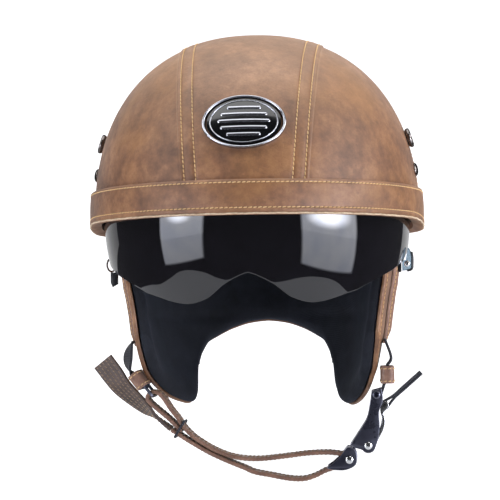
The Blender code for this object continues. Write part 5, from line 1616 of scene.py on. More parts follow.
@dataclass
class Visor:
    """A drop-down smoked visor that turns on a screw at each ear, with a finger tab."""

    palette: Palette
    half_width: float = 0.1125
    radius: float = 0.1220
    wall: float = 0.0020
    power: float = 2.3
    pivot_z: float = 0.0080
    ear_radius: float = 0.0110
    hole_radius: float = 0.0030
    top_angle: float = -8.0
    edge_radius: float = 0.0009
    edge_widths: tuple[float, ...] = (0.0, 0.14, 0.265, 0.41, 0.65, 0.77, 0.87, 0.945, 0.99)
    edge_drops: tuple[float, ...] = (0.394, 0.451, 0.536, 0.561, 0.496, 0.435, 0.382, 0.323, 0.245)
    tab_share: float = 0.96
    stop_share: float = 0.90
    tab_length: float = 0.0200
    stop_length: float = 0.0105
    tab_outline: tuple = (
        (0.14, 0.33), (0.24, 0.10), (0.25, -0.25), (0.20, -0.45), (-0.12, -0.50), (-0.12, -0.11),
        (0.015, -0.11),
    )
    clamp_outline: tuple = (
        (-0.14, -0.11), (-0.14, -0.53), (-0.24, -0.55), (-0.28, -0.50), (-0.28, -0.15), (-0.24, -0.11),
    )
    screw_profile_mm: tuple = (
        (0, 0.8), (0.7, 0.8), (0.8, 1.2), (1.4, 1.1), (1.9, 0.8), (2.2, 0.4), (2.2, 0), (0, 0),
    )

    def reach(self, x: Array) -> Array:
        """How far the lens is from its pivot line at this x: a rounded oval."""
        share = np.minimum(np.abs(x) / self.half_width, 1)
        return self.radius * np.clip(1 - share**self.power, 0, 1) ** (1 / self.power)

    def point(self, x: Array, angle: Array) -> Array:
        """Points of the outside at this x, turned down from straight ahead by the angle.

        Args:
            x: distances to the wearer's left.
            angle: in radians.

        Returns:
            The points.
        """
        reach = self.reach(x)
        x, angle, reach = np.broadcast_arrays(x, angle, reach)
        return np.stack([x, -reach * np.cos(angle), self.pivot_z - reach * np.sin(angle)], -1)

    def low_angle(self, x: Array) -> Array:
        """Angle of the lower edge at this x."""
        drop = from_table(np.abs(x) / self.half_width, self.edge_widths, self.edge_drops) * self.radius
        return np.arcsin(np.minimum(drop / self.reach(x), 1))

    def normals(self, point: Array) -> Array:
        """Outward normals: the slope of the rounded oval about the pivot line.

        Args:
            point: places on the outside.

        Returns:
            One unit direction for each.
        """
        rise = point[..., 2] - self.pivot_z
        out = np.hypot(point[..., 1], rise)
        share = point[..., 0] / self.half_width
        x = np.sign(share) * np.abs(share) ** (self.power - 1) / self.half_width
        radial = (out / self.radius) ** (self.power - 1) / self.radius / np.maximum(out, 1e-9)
        return unit(np.stack([x, radial * point[..., 1], radial * rise], -1))

    def lens(self) -> Piece:
        """The lens: columns from ear to ear, rows from its top edge to its lobed lower edge.

        Returns:
            The closed lens.
        """
        x = 0.999 * self.half_width * np.sin(np.pi * (np.linspace(0, 1, 191) - 0.5))[None, :]
        low, top = self.low_angle(x), math.radians(self.top_angle)
        share = with_edges(54, (0, 0.00005, 0.0002, 0.0004, 0.0007, 0.001), self.radius * 0.55)[:, None]
        angle = top + (low - top) * share
        surface = self.point(x, angle)
        normal = self.normals(surface)
        inset = np.minimum(angle - top, low - angle) * self.reach(x)
        fall = rounding(inset, self.edge_radius)[..., None]
        return slab("smoked_lens", surface - normal * fall, surface - normal * (self.wall - fall), sharp=60)

    def ear(self, side: Side) -> Piece:
        """A flat round ear with its pivot hole: a rounded ring about the pivot line.

        Args:
            side: which side.

        Returns:
            The closed ear.
        """
        high, r = self.wall, 0.0005
        profile = np.array((
            (self.hole_radius, high - r), (self.hole_radius + r, high), (self.ear_radius - r, high),
            (self.ear_radius, high - r), (self.ear_radius, r), (self.ear_radius - r, 0.0),
            (self.hole_radius + r, 0.0), (self.hole_radius, r), (self.hole_radius, high - r),
        ))
        seat = np.array((side.value * (self.half_width - self.wall), 0.0, self.pivot_z))
        return revolve(f"visor_ear_{side.word}", profile, seat, np.array((side.value, 0.0, 0.0)))

    def corner(self, share: float) -> Array:
        """The point of the lower edge at this share of the half width."""
        x = np.array(share * self.half_width)
        return self.point(x, self.low_angle(x))

    def beside(self, y: float, z: Array) -> Array:
        """How far out the visor is beside (y, z)."""
        share = np.minimum(np.hypot(y, z - self.pivot_z) / self.radius, 1)
        return self.half_width * (1 - share**self.power) ** (1 / self.power)

    def tab(self) -> None:
        """The clear finger tab, a dark rod along its edge, its block and its screw."""
        root, size = self.corner(self.tab_share), self.tab_length
        z = root[2] + np.array((-0.02, 0.15, 0.33)) * size
        inner = np.stack([self.beside(root[1], z) + 0.0006, z], -1)
        outer = root[[0, 2]] + np.array(self.tab_outline) * size
        rounded = smooth_path(outer[:5], 6)
        outline = np.vstack([inner, rounded, outer[5:]])
        tab = plate("clear_finger_tab", outline, root[1] - 0.0008, 0.0016, 0.0004)
        dress(tab, self.palette.tab, "visor", ["visor_tab"])
        rim = np.insert(rounded[4:22], 1, root[1] - 0.0008, axis=1)
        dress(wire("tab_dark_edge", rim, 0.0010, False), self.palette.plastic, "visor")
        clamp = root[[0, 2]] + np.array(self.clamp_outline) * size
        block = plate("tab_clamp_block", clamp, root[1] + 0.0021, 0.0042, 0.0005)
        dress(block, self.palette.plastic, "visor", ["tab_block"])
        seat = np.array((root[0] + 0.065 * size, root[1] - 0.0019, root[2] - 0.24 * size))
        profile = np.array(self.screw_profile_mm) / 1000
        screw = revolve("tab_screw_head", profile, seat, -Y_AXIS, 24)
        dress(screw, self.palette.steel, "visor", ["tab_screw"])

    def stop(self) -> Piece:
        """The end stop under the other corner.

        Returns:
            The closed block.
        """
        corner = self.corner(self.stop_share)
        shares = np.array(((-0.25, 0), (-0.25, 0.7), (-0.125, 1.0), (0.25, 0.8), (0.25, 0)))
        outline = np.array((-corner[0], corner[2] - 0.0006)) + shares * (1, -1) * self.stop_length
        return plate("visor_end_stop", outline, corner[1] + self.wall / 2, 2 * self.wall, 0.0005)

    def build(self) -> None:
        """Builds the lens, ears and fittings, and gives the tab's screw its finish."""
        dress(self.lens(), self.palette.lens, "visor", ["visor_lens"])
        for side in Side:
            dress(self.ear(side), self.palette.lens, "visor")
        self.tab()
        dress(self.stop(), self.palette.plastic, "visor", ["visor_stop"])


# Shell and padding -------------------------------------------------------------------------


@dataclass
class Padding:
    """What is inside the cover: the shell, the bead-foam liner and two lining pads."""

    palette: Palette
    liner_gap: float = 0.0006
    pocket: Dome = Dome(0.1045, 0.1175, 0.1380, 0.1195)
    pocket_degrees: tuple[float, float] = (62.0, 92.0)
    pivot_z: float = 0.0080
    bracket_reach: float = 0.0188
    clear_length: float = 0.0275
    lining_thickness: float = 0.0040
    pad_base: float = 0.0015
    pad_height: float = 0.0300
    pad_depth: float = 0.0090
    gores: int = 8

    def liner_outer(self, direction: Array) -> Array:
        """The liner's outside: close under the shell, drawn in where the visor swings.

        Args:
            direction: unit directions from the middle of the head.

        Returns:
            The points.
        """
        full = COVER.grown(SHELL_INNER - self.liner_gap).on(direction)
        near = self.pocket.on(direction)
        start, end = (math.radians(value) for value in self.pocket_degrees)
        swing = np.abs(np.arctan2(full[..., 2] - self.pivot_z, -full[..., 1]))
        reach = np.hypot(near[..., 1], near[..., 2] - self.pivot_z)
        share = ease((swing - start) / (end - start)) * ease((reach - self.bracket_reach) / self.clear_length)
        return near + (full - near) * share[..., None]

    def bowl(self, name: str, outer: Callable, inner: Callable) -> Piece:
        """A closed bowl: up its outside to the pole and down its inside, at every plan angle.

        Args:
            name: the piece's name.
            outer: gives the outside's points for directions.
            inner: gives the inside's.

        Returns:
            The closed bowl.
        """
        rise = np.linspace(0, math.pi / 2, 56)[:, None]
        turn = np.linspace(0, math.tau, 144, endpoint=False)
        direction = np.stack(
            np.broadcast_arrays(np.cos(rise) * np.cos(turn), np.cos(rise) * np.sin(turn), np.sin(rise)), -1
        )
        points = np.concatenate([outer(direction), inner(direction[::-1])])
        return rings(name, points, sharp=50)

    def crown_lining(self) -> Piece:
        """The crown pad: eight crowned gores, thin at the channels sewn between them.

        Returns:
            The closed pad.
        """
        dome = LINER_INNER.grown(-self.liner_gap)
        floor = self.pad_base + self.pad_height + self.liner_gap + self.lining_thickness / 4
        t = np.linspace(0, 1, 60)[:, None]
        turn = np.linspace(0, math.tau, 192, endpoint=False)
        z = floor + (dome.height * 0.9999 - floor) * np.sin(t * math.pi / 2)
        outer = dome.at_height(turn, z)
        channel = np.abs(np.sin(self.gores / 2 * turn)) ** 0.45
        edge = np.sqrt(np.clip(t / 0.05, 0, 1))
        depth = self.lining_thickness * (0.45 + 0.55 * channel * edge) * (0.55 + 0.45 * edge)
        inner = outer - dome.normals(outer) * depth[..., None]
        return rings("crown_pad", np.concatenate([outer, inner[::-1]]), sharp=70)

    def brow_pad(self) -> Piece:
        """The ring pad round the head: a rounded section, drawn in at eight sewn channels.

        Returns:
            The closed ring pad.
        """
        dome = LINER_INNER.grown(-self.liner_gap)
        around = np.linspace(0, math.tau, 40, endpoint=False)
        turn = np.linspace(0, math.tau, 240, endpoint=False)[:, None]
        sine, cosine = np.sin(around), np.cos(around)
        lift = np.sign(sine) * np.abs(sine) ** 0.5 * self.pad_height / 2
        depth = (1 - np.sign(cosine) * np.abs(cosine) ** 0.6) * self.pad_depth / 2
        channel = 1 - 0.35 * np.exp(-((np.sin(self.gores / 2 * turn) / 0.12) ** 2))
        flat = dome.at_height(turn, self.pad_base + self.pad_height / 2 + lift * channel)
        points = flat - dome.normals(flat) * (depth * channel)[..., None] * (1, 1, 0)
        return rings("brow_ring_pad", points, sharp=70)

    def build(self) -> None:
        """Builds the shell, the liner and the pads."""
        shell = self.bowl("inner_shell", COVER.grown(SHELL_OUTER).on, COVER.grown(SHELL_INNER).on)
        dress(shell, self.palette.shell, "helmet", ["outer_shell"])
        liner = self.bowl("bead_foam_liner", self.liner_outer, LINER_INNER.on)
        dress(liner, self.palette.foam, "helmet", ["eps_liner"])
        for piece, node in ((self.crown_lining(), "crown_lining"), (self.brow_pad(), "brow_pad")):
            dress(piece, self.palette.lining, "helmet", [node])


# Ear flaps and nape curtain ----------------------------------------------------------------


@dataclass
class Skirt:
    """Ear flaps and nape curtain: a leather outside, a padded lining and a patch on each flap."""

    palette: Palette
    half_width: float = 0.1042
    rear: float = 0.1220
    drop: float = 0.1350
    top_gap: float = 0.0006
    split_y: float = 0.0680
    leather: float = 0.0028
    lining_inset: float = 0.00408
    lining: float = 0.0085
    lining_trim: float = 0.0014
    stitch_inset: float = 0.0042
    patch_front: float = 0.0020
    patch_length: float = 0.0440
    patch_top: float = 0.0200
    patch_height: float = 0.0700
    patch_rise: float = 0.0055
    patch_rim_share: float = 0.42
    patch_slopes: tuple[float, float] = (0.25, 0.17)
    patch_stitch: float = 0.0030
    row_places_mm: tuple[float, ...] = (
        0, 0.1, 0.3, 0.6, 1.0, 1.5, 2.2, 3.0, 3.8, 4.2, 4.6, 5.4, 7, 9, 12,
    )
    patch_places_mm: tuple[float, ...] = (0, 0.1, 0.3, 0.6, 1.0, 1.6, 2.4, 3.0, 3.6, 4.6)
    depths: tuple[float, ...] = (0.0, 0.35, 0.48, 0.64, 0.80, 0.91, 1.02)
    widths_right: tuple[float, ...] = (1.0, 0.938, 0.906, 0.878, 0.822, 0.740, 0.645)
    widths_left: tuple[float, ...] = (1.0, 0.935, 0.905, 0.875, 0.833, 0.775, 0.722)
    rears: tuple[float, ...] = (1.0, 0.96, 0.93, 0.89, 0.80, 0.72, 0.64)
    edge_angles: tuple[float, ...] = (
        -17, -12, -6, 2, 12, 24, 33, 39, 43, 47, 51, 57, 64, 71, 80, 90,
    )
    edge_right: tuple[float, ...] = (
        0.6, 0.74, 0.84, 0.9, 0.955, 0.99, 1.0, 0.965, 0.905, 0.83, 0.755, 0.675, 0.63, 0.59, 0.555, 0.54,
    )
    edge_left: tuple[float, ...] = (
        0.6, 0.76, 0.87, 0.93, 0.985, 1.015, 1.0, 0.955, 0.9, 0.83, 0.755, 0.675, 0.63, 0.59, 0.555, 0.54,
    )
    seam: Seam = Seam()

    def rear_length(self, depth: Array) -> Array:
        """Length of the plan behind the ears at this depth below the rim."""
        return from_table(depth / self.drop, self.depths, self.rears) * self.rear

    def point(self, side: Side, angle: Array, depth: Array, inset: Array | float) -> Array:
        """Points of the curtain: plan angle from the side, a quarter turn being the back.

        Args:
            side: which side.
            angle: plan angles in radians.
            depth: distances below the rim.
            inset: distances in from the outside.

        Returns:
            The points.
        """
        widths = self.widths_left if side is Side.LEFT else self.widths_right
        half = from_table(depth / self.drop, self.depths, widths) * self.half_width - inset
        rear = self.rear_length(depth) - inset
        x, y = side.value * half * np.cos(angle), rear * np.sin(angle)
        return np.stack(np.broadcast_arrays(x, y, -self.top_gap - depth), -1)

    def edge_depth(self, side: Side, angle: Array) -> Array:
        """Depth of the lower edge at this plan angle."""
        drops = self.edge_left if side is Side.LEFT else self.edge_right
        return from_table(np.degrees(angle), self.edge_angles, drops) * self.drop

    def split_angle(self, depth: Array, inset: float) -> Array:
        """Plan angle of the plane that parts flap and nape, at this depth."""
        return np.arcsin(self.split_y / (self.rear_length(depth) - inset))

    def grid(self, side: Side, nape: bool, inset: float, trim: float) -> dict[str, Array]:
        """Angles, depths, and distances to the edges, on a grid of one curtain.

        The flap runs from its front edge to the split, the nape from the split to the back;
        the split is a plane, so its angle depends on the depth and is found by repeating.

        Args:
            side: which side.
            nape: whether it is the part behind the split.
            inset: distance in from the outside.
            trim: how far its free edges stop short.

        Returns:
            Angles, depths, and the distance of each point to the free edge.
        """
        fine = np.array(self.row_places_mm) / 1000
        rows = with_edges(34, fine, self.drop, both=False)[:, None]
        if nape:
            columns = np.linspace(0, 1, 60)[None, :]
        else:
            columns = 1 - with_edges(44, fine, 0.150, both=False)[None, ::-1]
        first = math.radians(self.edge_angles[0]) + trim / self.rear
        depth = np.broadcast_to(rows * 0.9 * self.drop, (len(rows), columns.shape[1]))
        for _ in range(40):
            split = self.split_angle(depth, inset)
            start, end = (split, math.pi / 2) if nape else (first, split)
            angle = start + (end - start) * columns
            edge = self.edge_depth(side, angle) - trim
            depth = (depth + edge * rows) / 2
        below = edge - depth
        ahead = (angle - first) * self.half_width if not nape else np.full_like(depth, 1.0)
        return {"angle": angle, "depth": depth, "below": below, "ahead": ahead}

    def leather_skin(self, side: Side, nape: bool) -> tuple[Array, Array]:
        """Outside and inside of the leather, its free edges rounded and sewn down.

        Args:
            side: which side.
            nape: whether it is the part behind the split.

        Returns:
            The outside's grid and the inside's.
        """
        g = self.grid(side, nape, 0.0, 0.0)
        surface = self.point(side, g["angle"], g["depth"], 0.0)
        normal = grid_normals(surface)
        normal *= np.sign((normal * surface * (1, 1, 0)).sum(-1, keepdims=True))
        free = np.minimum(g["below"], g["ahead"])
        fall = rounding(free, self.leather * 0.48)
        sewn = furrow(free - self.stitch_inset, 0.0005, 0.0011)
        swell = 0.0004 * np.exp(-(((free - 0.0021) / 0.0014) ** 2))
        top = surface + normal * (swell - sewn - fall)[..., None]
        return top, surface - normal * (self.leather - fall)[..., None]

    def edge_row(self, side: Side, nape: bool) -> tuple[Array, Array]:
        """Path of the stitches inside the free edge.

        Args:
            side: which side.
            nape: whether it is the part behind the split.

        Returns:
            Its points and their outward directions.
        """
        if nape:
            share = np.linspace(0.01, 1, 200)
            depth = np.full_like(share, 0.8 * self.drop)
            for _ in range(40):
                split = self.split_angle(depth, 0.0)
                turn = split + (math.pi / 2 - split) * share
                depth = (depth + self.edge_depth(side, turn) - self.stitch_inset) / 2
            path = self.point(side, turn, depth, 0.0)
        else:
            first = math.radians(self.edge_angles[0]) + self.stitch_inset / self.half_width
            turn = np.linspace(first, float(self.split_angle(np.array(0.9 * self.drop), 0.0)), 400)
            low = self.edge_depth(side, turn) - self.stitch_inset
            front = np.linspace(0.004, low[0], 120)
            angle = np.concatenate([np.full_like(front, first), turn])
            path = self.point(side, angle, np.concatenate([front, low]), 0.0)
            path = path[path[:, 1] < self.split_y - 0.001]
        outward = unit(path * (1, 1, 0) + (0, 0, 1e-9))
        return path - outward * 0.0003, outward

    def lining_skin(self, side: Side, nape: bool) -> tuple[Array, Array]:
        """Outside and inside of the lining: flat to the leather, crowned inside, thin at its edges.

        Args:
            side: which side.
            nape: whether it is the part behind the split.

        Returns:
            The outside's grid and the inside's.
        """
        g = self.grid(side, nape, self.lining_inset, self.lining_trim)
        surface = self.point(side, g["angle"], g["depth"], self.lining_inset)
        normal = grid_normals(surface)
        normal *= np.sign((normal * surface * (1, 1, 0)).sum(-1, keepdims=True))
        free = np.minimum(g["below"], g["ahead"])
        fat = np.clip(free / 0.011, 0, 1)
        depth = self.lining * (0.16 + 0.84 * np.sqrt(fat * (2 - fat)))
        channel = np.abs(g["depth"] - 0.52 * self.drop)
        depth = depth * (1 - 0.16 * np.exp(-((channel / 0.004) ** 2)) * fat)
        fall = rounding(free, 0.0006)
        return surface - normal * fall[..., None], surface - normal * depth[..., None]

    def skins(self, nape: bool, side: Side, lining: bool) -> tuple[Array, Array]:
        """Outside and inside of one curtain; the nape joins both sides at the back.

        Args:
            nape: whether it is the nape's.
            side: which side, for a flap.
            lining: lining rather than leather.

        Returns:
            The outside's grid and the inside's.
        """
        make = self.lining_skin if lining else self.leather_skin
        if not nape:
            return make(side, False)
        left, right = make(Side.LEFT, True), make(Side.RIGHT, True)
        return tuple(np.concatenate([a, b[:, -2::-1]], 1) for a, b in zip(left, right))

    def bend(self, piece: Piece) -> None:
        """Bakes the piece's place into its mesh; the flap is left on no body."""
        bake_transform(piece)

    def finish(self, piece: Piece, lining: bool, nodes: Sequence[str], side: Side | None) -> None:
        """Dresses one curtain: the nape on the helmet, a flap baked in place on no body.

        Args:
            piece: the curtain.
            lining: whether it is the lining.
            nodes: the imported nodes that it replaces.
            side: which side, for a flap.
        """
        piece.data.materials.append(self.palette.lining if lining else self.palette.leather)
        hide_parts(*nodes)
        if side is None:
            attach(piece, "helmet")
        else:
            self.bend(piece)
        log.info("%s: %d faces", piece.name, len(piece.data.polygons))

    def on_patch(self, side: Side, u: Array, v: Array, sink: Array | float) -> Array:
        """Points of the raised patch at shares of its length and height.

        Args:
            side: which side.
            u: share of the length, from its front edge.
            v: share of the height, from its top edge.
            sink: how far below the full rise.

        Returns:
            The points, (x, y, z) along the last axis.
        """
        depth = self.patch_top + self.patch_height * v
        angle = np.arcsin((self.patch_front + self.patch_length * u) / self.rear_length(depth))
        edge = np.minimum(
            np.minimum(u, 1 - u) / self.patch_slopes[0], np.minimum(v, 1 - v) / self.patch_slopes[1]
        )
        rise = self.patch_rim_share + (1 - self.patch_rim_share) * ease(edge)
        return self.point(side, angle, depth, -(2 * GAP + rise * self.patch_rise - sink))

    def patch(self, side: Side) -> tuple[Piece, list[tuple[Array, Array]]]:
        """The raised patch over the webbing's end, and its rows of stitches.

        Args:
            side: which side.

        Returns:
            The closed patch, and the paths of its stitches.
        """
        fine = np.array(self.patch_places_mm) / 1000
        u = with_edges(22, fine, self.patch_length)[None, :]
        v = with_edges(30, fine, self.patch_height)[:, None]
        inset = np.minimum(
            np.minimum(u, 1 - u) * self.patch_length, np.minimum(v, 1 - v) * self.patch_height
        )
        sink = rounding(inset, 0.0012) + furrow(inset - self.patch_stitch, 0.0004, 0.0008)
        u, v = np.broadcast_arrays(u, v)
        under = self.on_patch(side, u, v, self.patch_rim_share * self.patch_rise)
        piece = slab(f"webbing_patch_{side.word}", self.on_patch(side, u, v, sink), under)
        a, b = self.patch_stitch / self.patch_length, self.patch_stitch / self.patch_height
        corners = np.array(((a, b), (1 - a, b), (1 - a, 1 - b), (a, 1 - b), (a, b)))
        box = np.concatenate([np.linspace(p, q, 60)[:-1] for p, q in zip(corners, corners[1:])])
        path = self.on_patch(side, box[:, 0], box[:, 1], 0.0003)
        outward = np.broadcast_to((float(side.value), 0.0, 0.0), path.shape)
        return piece, [(path, outward)]

    def build(self) -> None:
        """Builds the curtains, the patches and their stitches."""
        words = {False: "leather", True: "lining"}
        for lining, word in words.items():
            for side in Side:
                piece = slab(f"flap_{word}_skin_{side.word}", *self.skins(False, side, lining), sharp=60)
                self.finish(piece, lining, [f"flap_{word}_{side.word}"], side)
            piece = slab(f"nape_{word}_skin", *self.skins(True, Side.LEFT, lining), sharp=60)
            self.finish(piece, lining, [f"nape_{word}"], None)
        for side in Side:
            stitches = self.seam.sew(f"flap_stitches_{side.word}", [self.edge_row(side, False)])
            stitches.data.materials.append(self.palette.thread)
            self.bend(stitches)
            piece, rows = self.patch(side)
            body = f"flap_{side.word}"
            dress(piece, self.palette.strap, body, [f"flap_patch_{side.word}"])
            stitches = self.seam.sew(f"patch_stitches_{side.word}", rows)
            dress(stitches, self.palette.thread, body)
        rows = [self.edge_row(side, True) for side in Side]
        dress(self.seam.sew("nape_stitches", rows), self.palette.thread, "helmet")


# Strap, its fittings and the buckle --------------------------------------------------------


@dataclass
class StrapPlaces:
    """Places that the strap, its fittings and the buckle share, in X and Z with Y at nought."""

    half_width: float = 0.1042
    drop: float = 0.1350
    buckle: float = 0.0380
    lever: float = 0.0312
    centre_y: float = -0.0100
    ring_bar_shares: tuple[float, float] = (-0.7450, 0.9390)
    keeper_shares: tuple[float, float] = (-0.5605, 1.1204)
    lever_rivet_shares: tuple[float, float] = (0.7590, 1.2160)
    tongue_rivet_shares: tuple[float, float] = (-0.3632, -0.2632)
    hanger_pin_shares: tuple[float, float] = (0.171, 0.966)
    lever_pin_shares: tuple[float, float] = (0.391, 0.920)
    first_run_shares: tuple[float, float] = (0.1252, 0.0475)

    def __post_init__(self) -> None:
        """Works out the places from the sizes."""
        self.ring_bar = self.on_skirt(*self.ring_bar_shares)
        self.keeper = self.on_skirt(*self.keeper_shares)
        self.lever_rivet = self.on_skirt(*self.lever_rivet_shares)
        self.tongue_rivet = self.beside(self.lever_rivet, self.buckle, self.tongue_rivet_shares)
        self.hanger_pin = self.beside(self.lever_rivet, self.buckle, self.hanger_pin_shares)
        self.lever_pin = self.beside(self.lever_rivet, self.lever, self.lever_pin_shares)
        first_run = self.way(self.keeper, self.tongue_rivet, [self.first_run_shares])[0]
        self.along = unit(first_run - self.keeper)
        self.through = np.array((-self.along[2], 0, self.along[0]))

    def on_skirt(self, across: float, down: float) -> Array:
        """A place at shares of the skirt's half width and drop."""
        return np.array((across * self.half_width, 0, -down * self.drop))

    @staticmethod
    def beside(point: Array, length: float, shares: Sequence) -> Array:
        """Places at shares of a length out from and above a point."""
        shares = np.asarray(shares, float)
        return point + np.insert(shares * length, 1, 0, axis=-1)

    @staticmethod
    def way(start: Array, end: Array, shares: Sequence) -> Array:
        """Places beside the way from start to end: shares of it along, and to its left.

        Args:
            start: where the way starts.
            end: where it ends.
            shares: (along, to the left) rows, both shares of its length.

        Returns:
            The places, one row each.
        """
        run = end - start
        left = np.array((run[2], 0, -run[0]))
        return np.array([start + run * ahead + left * aside for ahead, aside in shares])

    def at_strap(self, points: Array) -> Array:
        """Places moved to the middle of the strap's width."""
        return points + Y_AXIS * self.centre_y


def rounded_loop(
    centre: Array, one: Array, two: Array, half_one: float, half_two: float, corner: float
) -> Array:
    """A closed rounded rectangle with half sizes along two directions.

    Args:
        centre: its middle.
        one: unit direction of the first half size.
        two: unit direction of the second.
        half_one: half size along `one`.
        half_two: half size along `two`.
        corner: radius of its corners.

    Returns:
        96 points at even steps round the loop.
    """
    turn = np.linspace(0, math.pi / 2, 9)[:, None]
    straight = []
    for quarter, (a, b) in enumerate(((1, 1), (-1, 1), (-1, -1), (1, -1))):
        middle = centre + one * a * (half_one - corner) + two * b * (half_two - corner)
        angle = turn + quarter * math.pi / 2
        straight.append(middle + one * corner * np.cos(angle) + two * corner * np.sin(angle))
    ring = np.concatenate([*straight, straight[0][:1]])
    return read_path(ring, np.linspace(0, lengths(ring)[-1], 96, endpoint=False), ring)


@dataclass
class FlapFittings:
    """Webbing, leather loop and metal fittings that hang the strap and the buckle from the flaps."""

    palette: Palette
    places: StrapPlaces
    skirt: Skirt
    strap_width: float = 0.0180
    webbing_width: float = 0.0170
    webbing: float = 0.0020
    loop_wall: float = 0.0016
    loop_length: float = 0.0125
    loop_width: float = 0.0262
    ring_wire: float = 0.0012
    ring_height: float = 0.0110
    pin_shank: float = 0.0019
    bulge: float = 0.0030
    twist: float = 27.0
    free_rows: int = 24
    bend_rises: tuple[float, float] = (0.0010, 0.0075)
    tape_top_share: float = 0.64
    tape_top_degrees: float = -4.0
    sleeve_depth_right: float = 0.0057
    sleeve_depth_left: float = 0.0068
    side_ring_lean: float = 57.0
    lug_radius: float = 0.0022
    side_ring_radius: float = 0.0055
    side_ring_wire: float = 0.0006

    def sleeve(self, side: Side, centre: Array, run: Array, out: Array, depth: float) -> None:
        """A flat leather loop: a rounded band section carried round the webbing, with stitches.

        Args:
            side: which side.
            centre: the loop's middle.
            run: unit direction of the webbing.
            out: unit direction away from the flap.
            depth: clear depth inside the loop.
        """
        half_out, half_wide = (depth + self.loop_wall) / 2, (self.loop_width + self.loop_wall) / 2
        middle = self.places.at_strap(centre)
        ring = rounded_loop(middle, out, Y_AXIS, half_out, half_wide, 0.6 * half_out)
        tangent = unit(np.roll(ring, -1, 0) - np.roll(ring, 1, 0))
        run_rows = np.broadcast_to(run, ring.shape)
        outward = unit(np.cross(tangent, run_rows))
        outward *= np.sign((outward * (ring - middle)).sum(-1, keepdims=True))
        section = rounded_section(self.loop_length, self.loop_wall, 0.0006)
        name, body = f"leather_loop_band_{side.word}", f"flap_{side.word}"
        band = sweep(name, ring, run_rows, outward, section, closed=True)
        dress(band, self.palette.strap, body, [f"leather_loop_{side.word}"])
        rows = []
        for shift in (-0.36, 0.36):
            path = ring + run * shift * self.loop_length + outward * (self.loop_wall / 2 - 0.0001)
            rows.append((np.vstack([path, path[:1]]), np.vstack([outward, outward[:1]])))
        stitches = Seam(0.0032, 0.0024, 0.00036).sew(f"loop_stitches_{side.word}", rows)
        dress(stitches, self.palette.thread, body)

    def tape(self, side: Side, path: Array) -> None:
        """A flat webbing tape along the path, turned a little where it hangs free, its selvedges rounded.

        Args:
            side: which side.
            path: points of its middle line.
        """
        across, up = frames(path)
        along = lengths(path)
        free = np.clip(along / along[self.free_rows], 0, 1)
        most = self.twist if side is Side.RIGHT else 0.0
        turn = (math.radians(most) * np.sin(math.pi * free) ** 0.7)[:, None]
        outward = np.array((side.value, 0.0, 0.0))
        path = path + outward * self.webbing_width / 2 * np.sin(turn)
        across = unit(across * np.cos(turn) + outward * np.sin(turn) * np.sign(across[:, 1:2]))
        up = unit(np.cross(unit(np.gradient(path, axis=0)), across))
        section = rounded_section(self.webbing_width, self.webbing, 0.0008)
        piece = sweep(f"webbing_tape_{side.word}", path, across, up, section, sharp=60)
        if side is Side.RIGHT:
            dress(piece, self.palette.webbing, "flap_right", ["webbing_right"])
            return
        piece.data.materials.append(self.palette.webbing)
        pin = self.places.at_strap(self.places.hanger_pin)
        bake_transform(piece)
        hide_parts("webbing_left")
        log.info("%s: %d faces, ends on the receiver's pin", piece.name, len(piece.data.polygons))

    def wrap(self, pin: Array, run: Array, out: Array, radius: float) -> Array:
        """A quarter turn of webbing round a pin or a bar."""
        turn = np.linspace(0, math.pi / 2, 13)[:, None]
        return pin + out * radius * np.cos(turn) + run * radius * np.sin(turn)

    def top_of(self, side: Side) -> Array:
        """Where a tape leaves its flap, on the leather's outside.

        Args:
            side: the flap.

        Returns:
            The point.
        """
        angle = np.array(math.radians(self.tape_top_degrees))
        depth = np.array(self.tape_top_share * self.places.drop)
        return self.skirt.point(side, angle, depth, 0.0) * (1, 0, 1)

    def right(self) -> None:
        """The right flap's tape, loop and strap ring, in line with the strap's first run."""
        p = self.places
        run = unit(p.keeper - p.ring_bar)
        out = np.array((run[2], 0, -run[0]))
        bar = p.ring_bar - run * self.ring_height
        half_wide = self.strap_width / 2 + 2 * GAP + self.ring_wire
        middle = p.at_strap((p.ring_bar + bar) / 2)
        ring = rounded_loop(middle, run, Y_AXIS, self.ring_height / 2, half_wide, 0.0022)
        obj = wire("strap_ring_wire", ring, self.ring_wire, True, 16)
        dress(obj, self.palette.black_steel, "flap_right", ["strap_ring"])
        reach = self.ring_wire + GAP + self.webbing / 2
        wrap = self.wrap(bar, run, out, reach)
        middle = bar - run * (self.loop_length / 2 - self.ring_wire - GAP)
        middle = middle + out * (reach + self.webbing / 2 - self.ring_wire) / 2
        self.sleeve(Side.RIGHT, middle, run, out, self.sleeve_depth_right)
        top = self.top_of(Side.RIGHT) - X_AXIS * (GAP + self.webbing / 2)
        points = (
            top,
            top + (wrap[0] - top) * 0.3 + out * self.bulge,
            wrap[0] - run * self.loop_length,
            wrap[0] - run * self.loop_length / 2,
        )
        path = np.vstack([smooth_path(points, 12), wrap])
        self.tape(Side.RIGHT, p.at_strap(path))

    def left(self) -> None:
        """The left flap's tape and loop, down to the pin that the buckle hangs from."""
        p = self.places
        reach = self.pin_shank + GAP + self.webbing / 2
        flap = self.skirt.point(Side.LEFT, np.array(0.0), -p.hanger_pin[2] - 2 * self.loop_length, 0.0)[0]
        wall = flap + 2 * GAP + self.loop_wall
        centre = np.array((wall + self.sleeve_depth_left / 2, 0, p.hanger_pin[2] + 1.15 * self.loop_length))
        run = unit(p.hanger_pin - centre)
        out = np.array((-run[2], 0, run[0]))
        self.sleeve(Side.LEFT, centre, -Z_AXIS, X_AXIS, self.sleeve_depth_left)
        start = self.top_of(Side.LEFT) + X_AXIS * (GAP + self.webbing / 2)
        points = (
            start,
            np.array((centre[0] + self.bulge, 0, centre[2] + self.loop_length)),
            np.array((centre[0], 0, centre[2] + self.loop_length / 2)),
            centre,
        )
        path = np.vstack([smooth_path(points, 12), self.wrap(p.hanger_pin, run, out, reach)])
        self.tape(Side.LEFT, p.at_strap(path))

